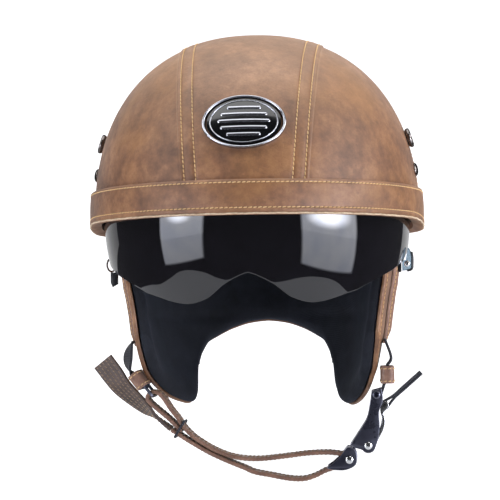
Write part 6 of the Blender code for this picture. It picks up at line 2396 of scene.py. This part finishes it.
    def side_ring(self) -> None:
        """The thin wire ring that swings in a lug on the right patch."""
        skirt, wire_radius = self.skirt, self.side_ring_wire
        depth = np.array(skirt.patch_top + self.side_ring_radius * 1.6)
        angle = np.arcsin((skirt.patch_front + skirt.patch_length * 0.28) / skirt.rear_length(depth))
        face = skirt.point(Side.RIGHT, angle, depth, -(2 * GAP + skirt.patch_rise))
        eye = face - X_AXIS * (GAP + 1.1 * self.lug_radius + wire_radius)
        lean = math.radians(self.side_ring_lean)
        reach = np.array((-math.cos(lean), -math.sin(lean), 0.0))
        radius = self.side_ring_radius - wire_radius
        turn = np.linspace(0, math.tau, 72, endpoint=False)[:, None]
        ring = eye + reach * radius + reach * radius * np.cos(turn) + Z_AXIS * radius * np.sin(turn)
        obj = wire("side_ring_wire", ring, 1.25 * wire_radius, True)
        dress(obj, self.palette.gunmetal, "side_ring", ["side_ring"])
        frame_node("ring_lug").material_slots[0].material = self.palette.gunmetal

    def build(self) -> None:
        """Builds the fittings of both flaps."""
        self.right()
        self.left()
        self.side_ring()


@dataclass
class ChinStrap:
    """One leather strap: round the ring, along to the buckle's tongue, back, and out as a free tail."""

    palette: Palette
    places: StrapPlaces
    width: float = 0.0180
    thickness: float = 0.0026
    layer_step: float = 0.0036
    turn_radius: float = 0.0035
    sewn_end: float = 0.0018
    keeper_reach: float = 0.0050
    join_gap: float = 0.0007
    keeper_wire: float = 0.0010
    twist: float = 68.0
    stitch_sink: float = 0.00012
    strap_rows: tuple[float, ...] = (-0.72, -0.24, 0.24, 0.72)
    tail_rows: tuple[float, ...] = (-0.72, -0.36, 0.0, 0.36, 0.72)
    loop_outer: tuple = ((0.66, 0.045), (0.34, 0.11), (0.07, 0.16), (-0.045, 0.145), (-0.10, 0.045))
    loop_inner: tuple = ((-0.075, -0.055), (0.03, -0.135), (0.21, -0.155), (0.50, -0.13), (0.77, -0.13))
    upper_run: tuple = (
        (0.0626, 0.0147), (0.1252, 0.0475), (0.2292, 0.0848), (0.3459, 0.1036), (0.4731, 0.0922),
        (0.6116, 0.0543), (0.7491, 0.0110), (0.8577, -0.0139), (0.9172, -0.0207),
    )
    lower_run: tuple = (
        (0.9430, 0.0535), (0.8766, 0.0877), (0.8195, 0.1290), (0.7602, 0.1578), (0.6817, 0.1706),
        (0.5685, 0.1707), (0.4700, 0.1690), (0.4106, 0.1553), (0.3316, 0.1389), (0.2547, 0.1207),
        (0.1698, 0.0964), (0.0951, 0.0694), (0.0387, 0.0478),
    )
    tail: tuple = ((-0.090, 0.0715), (-0.144, 0.116), (-0.262, 0.222), (-0.320, 0.298), (-0.375, 0.372))

    def path(self) -> Array:
        """The strap's middle line from its sewn end to the lower layer at the keeper.

        Returns:
            The points.
        """
        p = self.places
        upper = p.keeper + p.through * self.layer_step
        lower = p.keeper - p.through * self.layer_step
        turn = np.radians(np.linspace(115, -115, 9))[:, None]
        arc = p.tongue_rivet + (np.cos(turn) * (1, 0, 0) + np.sin(turn) * Z_AXIS) * self.turn_radius
        loop = p.way(p.ring_bar, p.keeper, self.loop_outer + self.loop_inner)
        upper_run, lower_run = (
            p.way(p.keeper, p.tongue_rivet, run) for run in (self.upper_run, self.lower_run)
        )
        first = [p.keeper + p.along * self.sewn_end, p.keeper, *loop, upper, *upper_run, arc[0]]
        back = [arc[-1], *lower_run, lower, lower - p.along * self.keeper_reach]
        round_pin = smooth_path(arc, 3)[1:-1]
        return p.at_strap(np.vstack([smooth_path(first, 8), round_pin, smooth_path(back, 8)]))

    def tail_path(self) -> Array:
        """The free tail's middle line.

        Returns:
            The points.
        """
        p = self.places
        start = p.keeper - p.through * self.layer_step - p.along * (self.keeper_reach + self.join_gap)
        points = [start, *p.beside(start, p.drop, self.tail)]
        return p.at_strap(smooth_path(points, 12))

    def ribbon(self, name: str, path: Array, twist: Array) -> tuple[Piece, Array, Array]:
        """A strap along the path, its width turned about its run by the twist.

        Args:
            name: the piece's name.
            path: points of its middle line.
            twist: turn about the run at each point, in radians.

        Returns:
            The strap, with its directions across and up.
        """
        run = unit(np.gradient(path, axis=0))
        side = np.broadcast_to(Y_AXIS, path.shape)
        up = unit(np.cross(run, side))
        twist = twist[:, None]
        across = side * np.cos(twist) + np.cross(run, side) * np.sin(twist)
        up = unit(np.cross(run, across))
        section = rounded_section(self.width, self.thickness, 0.0009)
        return sweep(name, path, across, up, section, sharp=60), across, up

    def rows(
        self, path: Array, across: Array, up: Array, places: Sequence[float]
    ) -> list[tuple[Array, Array]]:
        """Rows of stitches on both faces, at shares of the half width.

        Args:
            path: points of the strap's middle line.
            across: directions across it.
            up: directions away from its upper face.
            places: shares of the half width.

        Returns:
            Path and outward directions of each row.
        """
        made = []
        for face in (-1, 1):
            for place in places:
                rise = up * face * (self.thickness / 2 - self.stitch_sink)
                made.append((path + across * place * self.width / 2 + rise, up * face))
        return made

    def build(self) -> None:
        """Builds the strap, its tail, their stitches and the keeper."""
        p = self.places
        path = self.path()
        strap, across, up = self.ribbon("strap_leather_run", path, np.zeros(len(path)))
        dress(strap, self.palette.strap, "chin_strap", ["chin_strap"])
        thin = Seam(0.0031, 0.0021, 0.00030)
        rows = self.rows(path, across, up, self.strap_rows)
        dress(thin.sew("strap_stitches", rows), self.palette.strap_thread, "chin_strap")
        path = self.tail_path()
        share = np.linspace(0, 1, len(path))
        twist = math.radians(self.twist) * ease((share + 0.02) / 0.88)
        tail, across, up = self.ribbon("strap_tail_end", path, twist)
        dress(tail, self.palette.underside, "strap_tail", ["strap_tail"])
        rows = self.rows(path, across, up, self.tail_rows)
        dress(thin.sew("tail_stitches", rows), self.palette.strap_thread, "strap_tail")
        half_out = self.layer_step + self.thickness / 2 + 0.0005 + self.keeper_wire
        half_wide = self.width / 2 + 0.0005 + self.keeper_wire
        loop = rounded_loop(p.at_strap(p.keeper), p.through, Y_AXIS, half_out, half_wide, 0.0022)
        keeper = wire("keeper_cord_loop", loop, self.keeper_wire, True, 14)
        dress(keeper, self.palette.webbing, "chin_strap", ["strap_keeper"])


@dataclass
class Buckle:
    """A steel quick-release buckle: a hanging channel, a lever with its pull ribbon, and a tongue."""

    palette: Palette
    places: StrapPlaces
    inner_width: float = 0.0176
    wall: float = 0.0018
    tongue: float = 0.0190
    tongue_wall: float = 0.0016
    strap_width: float = 0.0180
    blade_width: float = 0.0156
    blade: float = 0.0024
    lever_width: float = 0.0160
    shank: float = 0.0019
    head: float = 0.0028
    head_height: float = 0.0010
    pin: float = 0.0015
    ribbon_width: float = 0.0110
    ribbon_thickness: float = 0.0016
    ribbon_length: float = 0.0360
    ribbon_lean: float = 41.0
    coil_radius: float = 0.0030
    coil_wire: float = 0.0004
    receiver_inner: tuple = (
        (-0.345, 0.016), (-0.124, 0.347), (-0.016, 0.532), (0.045, 0.808), (0.080, 1.040),
    )
    receiver_outer: tuple = ((0.270, 1.090), (0.290, 0.870), (0.215, 0.640), (0.222, 0.374), (0.187, 0.111))
    receiver_mouth: tuple = ((-0.121, -0.079), (-0.226, -0.047))
    lever_outer: tuple = ((0.221, 0.103), (0.365, 0.375), (0.407, 0.599), (0.365, 0.744), (0.446, 0.836))
    lever_tip: tuple = ((0.490, 0.940), (0.413, 1.026), (0.315, 0.974))
    lever_inner: tuple = ((0.292, 0.776), (0.327, 0.615), (0.279, 0.391), (0.131, 0.173))
    tongue_outline: tuple = (
        (-0.384, 0.089), (-0.121, 0.432), (0.011, 0.474), (0.221, 0.358), (0.290, 0.037),
        (0.184, -0.240), (-0.253, -0.400), (-0.847, -0.316), (-0.595, -0.105),
    )
    bridge_outline: tuple = (
        (-0.205, 0.315), (-0.121, 0.425), (0.011, 0.465), (0.21, 0.35), (0.225, 0.31),
    )
    blade_shares: tuple = ((0.105, 0.321), (0.458, 0.847))
    rivet_head: tuple = (
        (0, 1.0), (0.35, 0.98), (0.62, 0.88), (0.86, 0.66), (0.98, 0.36), (1.0, 0.1), (0.99, 0.0),
    )

    def arc(self, centre: Array, radius: float, first: float, last: float) -> Array:
        """Points of an arc in X and Z, angles in degrees from +X towards +Z."""
        turn = np.radians(np.linspace(first, last, 15))
        return np.stack([centre[0] + radius * np.cos(turn), centre[2] + radius * np.sin(turn)], -1)

    def flat(self, point: Array, length: float, shares: Sequence) -> Array:
        """(x, z) at shares of a length about a point."""
        return self.places.beside(point, length, shares)[:, [0, 2]]

    def rivet(self, name: str, point: Array, half: float, body: str, slot: str, node: str) -> None:
        """A rivet along Y: a shank between two low rounded heads.

        Args:
            name: the piece's name.
            point: its middle.
            half: half the distance between its heads.
            body: the body that it rides on.
            slot: the record's material slot, which also says its finish.
            node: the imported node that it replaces.
        """
        half += GAP
        upper = [(r * self.head, half + h * self.head_height) for r, h in self.rivet_head]
        upper.append((self.shank, half))
        lower = [(r, -h) for r, h in reversed(upper)]
        obj = revolve(name, np.array(upper + lower), self.places.at_strap(point), Y_AXIS, 32)
        finish = self.palette.steel if slot == "bright_steel" else self.palette.black_steel
        dress(obj, finish, body, [node])

    def receiver(self) -> None:
        """The channel: two side walls cut from one outline, joined by a base on the chin's side."""
        p, half = self.places, self.inner_width / 2 + self.wall
        inner = self.flat(p.lever_rivet, p.buckle, self.receiver_inner)
        outer = self.flat(p.lever_rivet, p.buckle, self.receiver_outer)
        mouth = self.flat(p.lever_rivet, p.buckle, self.receiver_mouth)
        end = self.arc(p.lever_rivet, 1.9 * self.head, -25, -145)
        outline = np.vstack([smooth_path(inner, 6), smooth_path(outer, 6), end, mouth])
        for side, word in ((-1, "front"), (1, "back")):
            y = p.centre_y + side * (half - self.wall / 2)
            obj = plate(f"buckle_wall_{word}", outline, y, self.wall, 0.0004)
            dress(obj, self.palette.black_steel, "receiver", ["buckle_receiver"])
        line = np.insert(smooth_path(inner, 10), 1, p.centre_y, axis=1)
        across, up = frames(line)
        inward = np.sign(np.dot(p.at_strap(p.lever_rivet) - line[10], up[10]))
        middle = line + up * inward * self.wall / 2
        section = rounded_section(2 * half - 0.0006, self.wall, 0.0004)
        base = sweep("buckle_base", middle, across, up, section)
        dress(base, self.palette.black_steel, "receiver")
        self.rivet("lever_rivet_pin", p.lever_rivet, half, "receiver", "bright_steel", "lever_rivet")
        self.rivet("hanger_rivet_pin", p.hanger_pin, half, "receiver", "black_steel", "hanger_pin")

    def lever(self) -> None:
        """The release lever: two cheeks and a bent web between them, with its spring and pin."""
        p = self.places
        hub = self.arc(p.lever_rivet, 1.9 * self.shank, 120, 300)
        shares = self.lever_outer + self.lever_tip + self.lever_inner
        edge = self.flat(p.lever_rivet, p.lever, shares)
        outline = np.vstack([hub, smooth_path(edge, 4)])
        cheek = (self.lever_width - self.ribbon_width - 0.0006) / 2
        for side, word in ((-1, "front"), (1, "back")):
            y = p.centre_y + side * (self.lever_width / 2 - cheek / 2)
            hole = [(p.lever_rivet[0], p.lever_rivet[2], self.shank + 0.0002)]
            obj = plate(f"lever_cheek_{word}", outline, y, cheek, 0.0004, hole)
            dress(obj, self.palette.steel, "release_lever", ["release_lever"])
        outer = self.flat(p.lever_rivet, p.lever, self.lever_outer[:4])
        inner = self.flat(p.lever_rivet, p.lever, tuple(reversed(self.lever_inner))[:3])
        web = np.vstack([smooth_path(outer, 4), smooth_path(inner[::-1], 4)])
        obj = plate("lever_web", web, p.centre_y, self.ribbon_width + 0.0008, 0.0003)
        dress(obj, self.palette.steel, "release_lever")
        turn = np.linspace(0, 3 * math.tau, 91)[:, None]
        coil = p.at_strap(p.lever_rivet) + self.coil_radius * round_y(turn)
        coil = coil + Y_AXIS * (turn / turn[-1] - 0.5) * self.lever_width / 4
        run = unit(np.gradient(coil, axis=0))
        side = unit(np.cross(run, Y_AXIS))
        obj = sweep("lever_coil_spring", coil, side, np.cross(side, run), circle(self.coil_wire, 8))
        dress(obj, self.palette.steel, "receiver", ["lever_spring"])
        half = self.lever_width / 2
        upper = [(0, half), (self.pin - 0.0003, half), (self.pin, half - 0.0003)]
        lower = [(r, -h) for r, h in reversed(upper)]
        obj = revolve("ribbon_pin", np.array(upper + lower), p.at_strap(p.lever_pin), Y_AXIS, 24)
        dress(obj, self.palette.steel, "release_lever", ["lever_pin"])

    def ribbon(self) -> None:
        """The pull ribbon: folded round the lever's pin, its two layers together along the tail."""
        p, lean = self.places, math.radians(self.ribbon_lean)
        run, left = round_y(np.array(((lean,), (lean + math.pi / 2,))))
        radius, half = self.pin + GAP + self.ribbon_thickness / 2, self.ribbon_thickness / 2 + 0.0001
        shares = np.array((1.0, 0.75, 0.5, 0.25))[:, None]
        out = p.lever_pin + run * self.ribbon_length * shares + left * half
        turn = np.radians(self.ribbon_lean + 75 + 210 * np.linspace(0, 1, 11))[:, None]
        round_pin = p.lever_pin + round_y(turn) * radius
        back = p.lever_pin + run * self.ribbon_length * shares[::-1] - left * half
        path = p.at_strap(smooth_path(np.vstack([out, round_pin, back]), 5))
        across, up = frames(path)
        section = rounded_section(self.ribbon_width, self.ribbon_thickness, 0.0006)
        obj = sweep("ribbon_fold", path, across, up, section, sharp=60)
        dress(obj, self.palette.webbing, "pull_ribbon", ["pull_ribbon"])

    def tongue_plates(self) -> None:
        """The tongue: two cheeks, a bridge over the strap's end and a blade that enters the channel."""
        p = self.places
        inner = self.strap_width + 0.0010
        half = inner / 2 + self.tongue_wall
        edge = self.flat(p.tongue_rivet, self.tongue, self.tongue_outline)
        outline = smooth_outline(edge, 5)
        for side, word in ((-1, "front"), (1, "back")):
            y = p.centre_y + side * (half - self.tongue_wall / 2)
            obj = plate(f"tongue_cheek_{word}", outline, y, self.tongue_wall, 0.0004)
            dress(obj, self.palette.black_steel, "chin_strap", ["buckle_tongue"])
        bridge = self.flat(p.tongue_rivet, self.tongue, self.bridge_outline)
        obj = plate("tongue_bridge", bridge, p.centre_y, inner + 0.0006, 0.0002)
        dress(obj, self.palette.black_steel, "chin_strap")
        start, end = self.flat(p.tongue_rivet, self.tongue, self.blade_shares)
        run = unit(end - start)
        side = np.array((run[1], -run[0])) * self.blade / 2
        blade = np.array((start - side, end - side, end, end + side, start + side))
        obj = plate("tongue_blade", blade, p.centre_y, self.blade_width, 0.0003)
        dress(obj, self.palette.black_steel, "chin_strap")
        self.rivet("tongue_rivet_pin", p.tongue_rivet, half, "chin_strap", "bright_steel", "tongue_rivet")

    def build(self) -> None:
        """Builds the whole buckle."""
        self.receiver()
        self.lever()
        self.ribbon()
        self.tongue_plates()


# Studio ------------------------------------------------------------------------------------


@dataclass
class Panel:
    """A soft light panel, placed by where it stands as seen from the helmet."""

    name: str
    azimuth: float
    elevation: float
    distance: float
    width: float
    height: float
    radiance: float

    def add(self) -> None:
        """Adds the panel as an area light that faces the helmet, its power worked out from its radiance."""
        away = Vector(towards(self.azimuth, self.elevation))
        light = bpy.data.lights.new(self.name, "AREA")
        light.shape = "RECTANGLE"
        light.size = self.width
        light.size_y = self.height
        light.energy = self.radiance * self.width * self.height * math.pi
        obj = bpy.data.objects.new(self.name, light)
        obj.location = away * self.distance
        obj.location.z += AIM_Z
        obj.rotation_euler = away.to_track_quat("Z", "Y").to_euler()
        obj.visible_glossy = self.elevation > 20
        bpy.context.scene.collection.objects.link(obj)


@dataclass
class Softbox:
    """A softbox that stands low in front: seen in the visor's mirror image, shaped by its four corners."""

    name: str
    azimuth: float
    elevation: float
    distance: float
    corners: tuple[tuple[float, float], ...]
    diffuser: Diffuser

    def add(self) -> None:
        """Adds its front cloth, corners given across and up from where its middle stands."""
        away, side = towards(self.azimuth, self.elevation), towards(self.azimuth + 90, 0)
        places = np.array(self.corners)
        middle = away * self.distance + Z_AXIS * AIM_Z
        points = middle + places[:, :1] * side + places[:, 1:] * np.cross(away, side)
        corners = np.array(((0, 1), (1, 1), (1, 0), (0, 0)), float)
        cloth = new_piece(self.name, points, [[0, 1, 2, 3]], corners)
        cloth.data.materials.append(self.diffuser.material())
        cloth.visible_camera = False
        cloth.visible_diffuse = False
        cloth.visible_shadow = False


@dataclass
class Studio:
    """A paper-covered round table before a plain backdrop, soft panels, and the camera."""

    floor_z: float = -0.300
    table_z: float = -0.2055
    table_outline: tuple[tuple[float, float], ...] = (
        (-0.395, 0.200), (-0.379, 0.064), (-0.337, -0.033), (-0.289, -0.098), (-0.262, -0.165),
        (-0.245, -0.218), (-0.203, -0.252), (-0.139, -0.262), (-0.075, -0.243), (0.038, -0.230),
        (0.121, -0.230), (0.181, -0.205), (0.228, -0.150), (0.240, -0.070), (0.250, 0.200),
    )
    backdrop_y: float = 1.6
    backdrop_sides: tuple[float, float] = (-2.4, 1.1)
    backdrop_height: float = 2.4
    reach: float = 6.0
    azimuth: float = 4.0
    elevation: float = -2.2
    roll: float = -0.8
    distance: float = 1.25
    lens: float = 121.2
    target: tuple[float, float, float] = (-0.0062, 0.0, -0.0202)
    room_strengths: tuple[float, float] = (0.06, 1.1)

    def paper(self, name: str, points: Array, finish: bpy.types.Material, mirrored: bool) -> Piece:
        """A flat stage piece, in or out of the visor's mirror image.

        Args:
            name: the piece's name.
            points: of its outline.
            finish: its material.
            mirrored: whether shiny surfaces reflect it.

        Returns:
            The stage piece.
        """
        sheet = new_piece(name, points, [list(range(len(points)))])
        sheet.data.materials.append(finish)
        sheet.visible_glossy = mirrored
        return sheet

    def floor(self) -> None:
        """The pale floor, the round table top on it, and the backdrop behind."""
        far, z = self.reach, self.floor_z
        white = FloorPaper("bright_seamless_paper", 0.40, ("#f4f4f4", "#fafafa"))
        corners = np.array(((-far, -far, z), (far, -far, z), (far, far, z), (-far, far, z)))
        self.paper("studio_floor", corners, white.material(), False)
        outline = smooth_outline(np.array(self.table_outline), 4)
        points = np.insert(outline, 2, self.table_z, axis=1)
        table = self.paper("table_paper", points, FloorPaper().material(), True)
        table.visible_camera = False
        (left, right), y = self.backdrop_sides, self.backdrop_y
        top = z + self.backdrop_height
        corners = np.array(((left, y, z), (right, y, z), (right, y, top), (left, y, top)))
        mirrored = self.paper("studio_backdrop", corners, Backdrop().material(), True)
        mirrored.visible_camera = False
        screen = self.paper("white_screen", corners, Backdrop("white_screen_paper", 1.0).material(), False)
        screen.visible_diffuse = False

    def camera(self) -> None:
        """The camera: level with the flaps, a little to the wearer's left."""
        away = Vector(towards(self.azimuth, self.elevation))
        data = bpy.data.cameras.new("camera")
        data.lens = self.lens
        data.sensor_width = 36
        data.clip_start = 0.05
        camera = bpy.data.objects.new("camera", data)
        camera.location = Vector(self.target) + away * self.distance
        look = away.to_track_quat("Z", "Y").to_matrix() @ Matrix.Rotation(math.radians(self.roll), 3, "Z")
        camera.rotation_euler = look.to_euler()
        bpy.context.scene.collection.objects.link(camera)
        bpy.context.scene.camera = camera

    def world(self) -> None:
        """White behind everything, and dim for what the room itself sheds on the helmet."""
        dim, white = self.room_strengths
        world = bpy.data.worlds.new("studio")
        world.use_nodes = True
        tree = world.node_tree
        background = tree.nodes["Background"]
        background.inputs["Color"].default_value = linear("#f6f7fa")
        seen = tree.nodes.new("ShaderNodeLightPath").outputs["Is Camera Ray"]
        share = tree.nodes.new("ShaderNodeMapRange")
        share.inputs["To Min"].default_value = dim
        share.inputs["To Max"].default_value = white
        tree.links.new(seen, share.inputs["Value"])
        tree.links.new(share.outputs["Result"], background.inputs["Strength"])
        bpy.context.scene.world = world

    def build(self) -> None:
        """Sets up the floor, lights, surroundings and camera."""
        self.floor()
        self.world()
        self.camera()
        for panel in (
            Panel("overhead", 0, 80, 1.3, 1.6, 1.4, 2.6),
            Panel("left_soft", -62, 32, 1.8, 1.0, 0.9, 3.4),
            Panel("right_soft", 72, 21, 1.8, 1.1, 0.9, 5.2),
            Panel("left_rim", -105, 12, 1.8, 1.0, 1.6, 0.9),
            Panel("right_rim", 105, 12, 1.8, 1.0, 1.6, 1.9),
            Softbox(
                "left_softbox", -46, -18, 1.1, ((-0.32, 0.45), (0.46, 0.40), (0.29, -0.25), (-0.39, -0.23)),
                Diffuser("left_diffuser", 4.3, 15.5, (0.47, 0.82), (0.26, 0.14)),
            ),
            Softbox(
                "right_softbox", 56, -18, 1.1, ((-0.70, 0.40), (0.37, 0.44), (0.51, -0.33), (-0.46, -0.407)),
                Diffuser("right_diffuser", 4.3, 22.0, (0.50, 0.80), (0.36, 0.17)),
            ),
        ):
            panel.add()
        bpy.context.scene.view_settings.view_transform = "Standard"


NODES: dict[str, Piece] = {}


def frame_node(name: str) -> Piece:
    """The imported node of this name."""
    return NODES[name]


def dress_kept_nodes(palette: Palette) -> None:
    """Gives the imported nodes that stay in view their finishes.

    Args:
        palette: the helmet's finishes.
    """
    kept = {
        "visor_bracket_left": palette.plastic,
        "visor_bracket_right": palette.plastic,
        "pivot_screw_left": palette.steel,
        "pivot_screw_right": palette.steel,
    }
    for name, material in kept.items():
        for material_slot in frame_node(name).material_slots:
            material_slot.material = material
        log.info("%s: kept, now %s", name, material.name)


def main() -> None:
    """Builds every sub-assembly over the frame, then the studio."""
    logging.basicConfig(level=logging.INFO, format="%(name)s %(message)s", stream=sys.stdout)
    for obj in list(bpy.data.objects):
        bpy.data.objects.remove(obj)
    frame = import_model()
    NODES.update(frame["nodes"])
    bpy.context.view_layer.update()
    palette = Palette()
    places = StrapPlaces()
    skirt = Skirt(palette)
    for assembly in (
        LeatherCover(palette),
        BrimBand(palette),
        Badge(palette),
        SideCaps(palette),
        Visor(palette),
        Padding(palette),
        skirt,
        FlapFittings(palette, places, skirt),
        ChinStrap(palette, places),
        Buckle(palette, places),
        Studio(),
    ):
        assembly.build()
        log.info("built %s", type(assembly).__name__)
    dress_kept_nodes(palette)


if __name__ == "__main__":
    main()
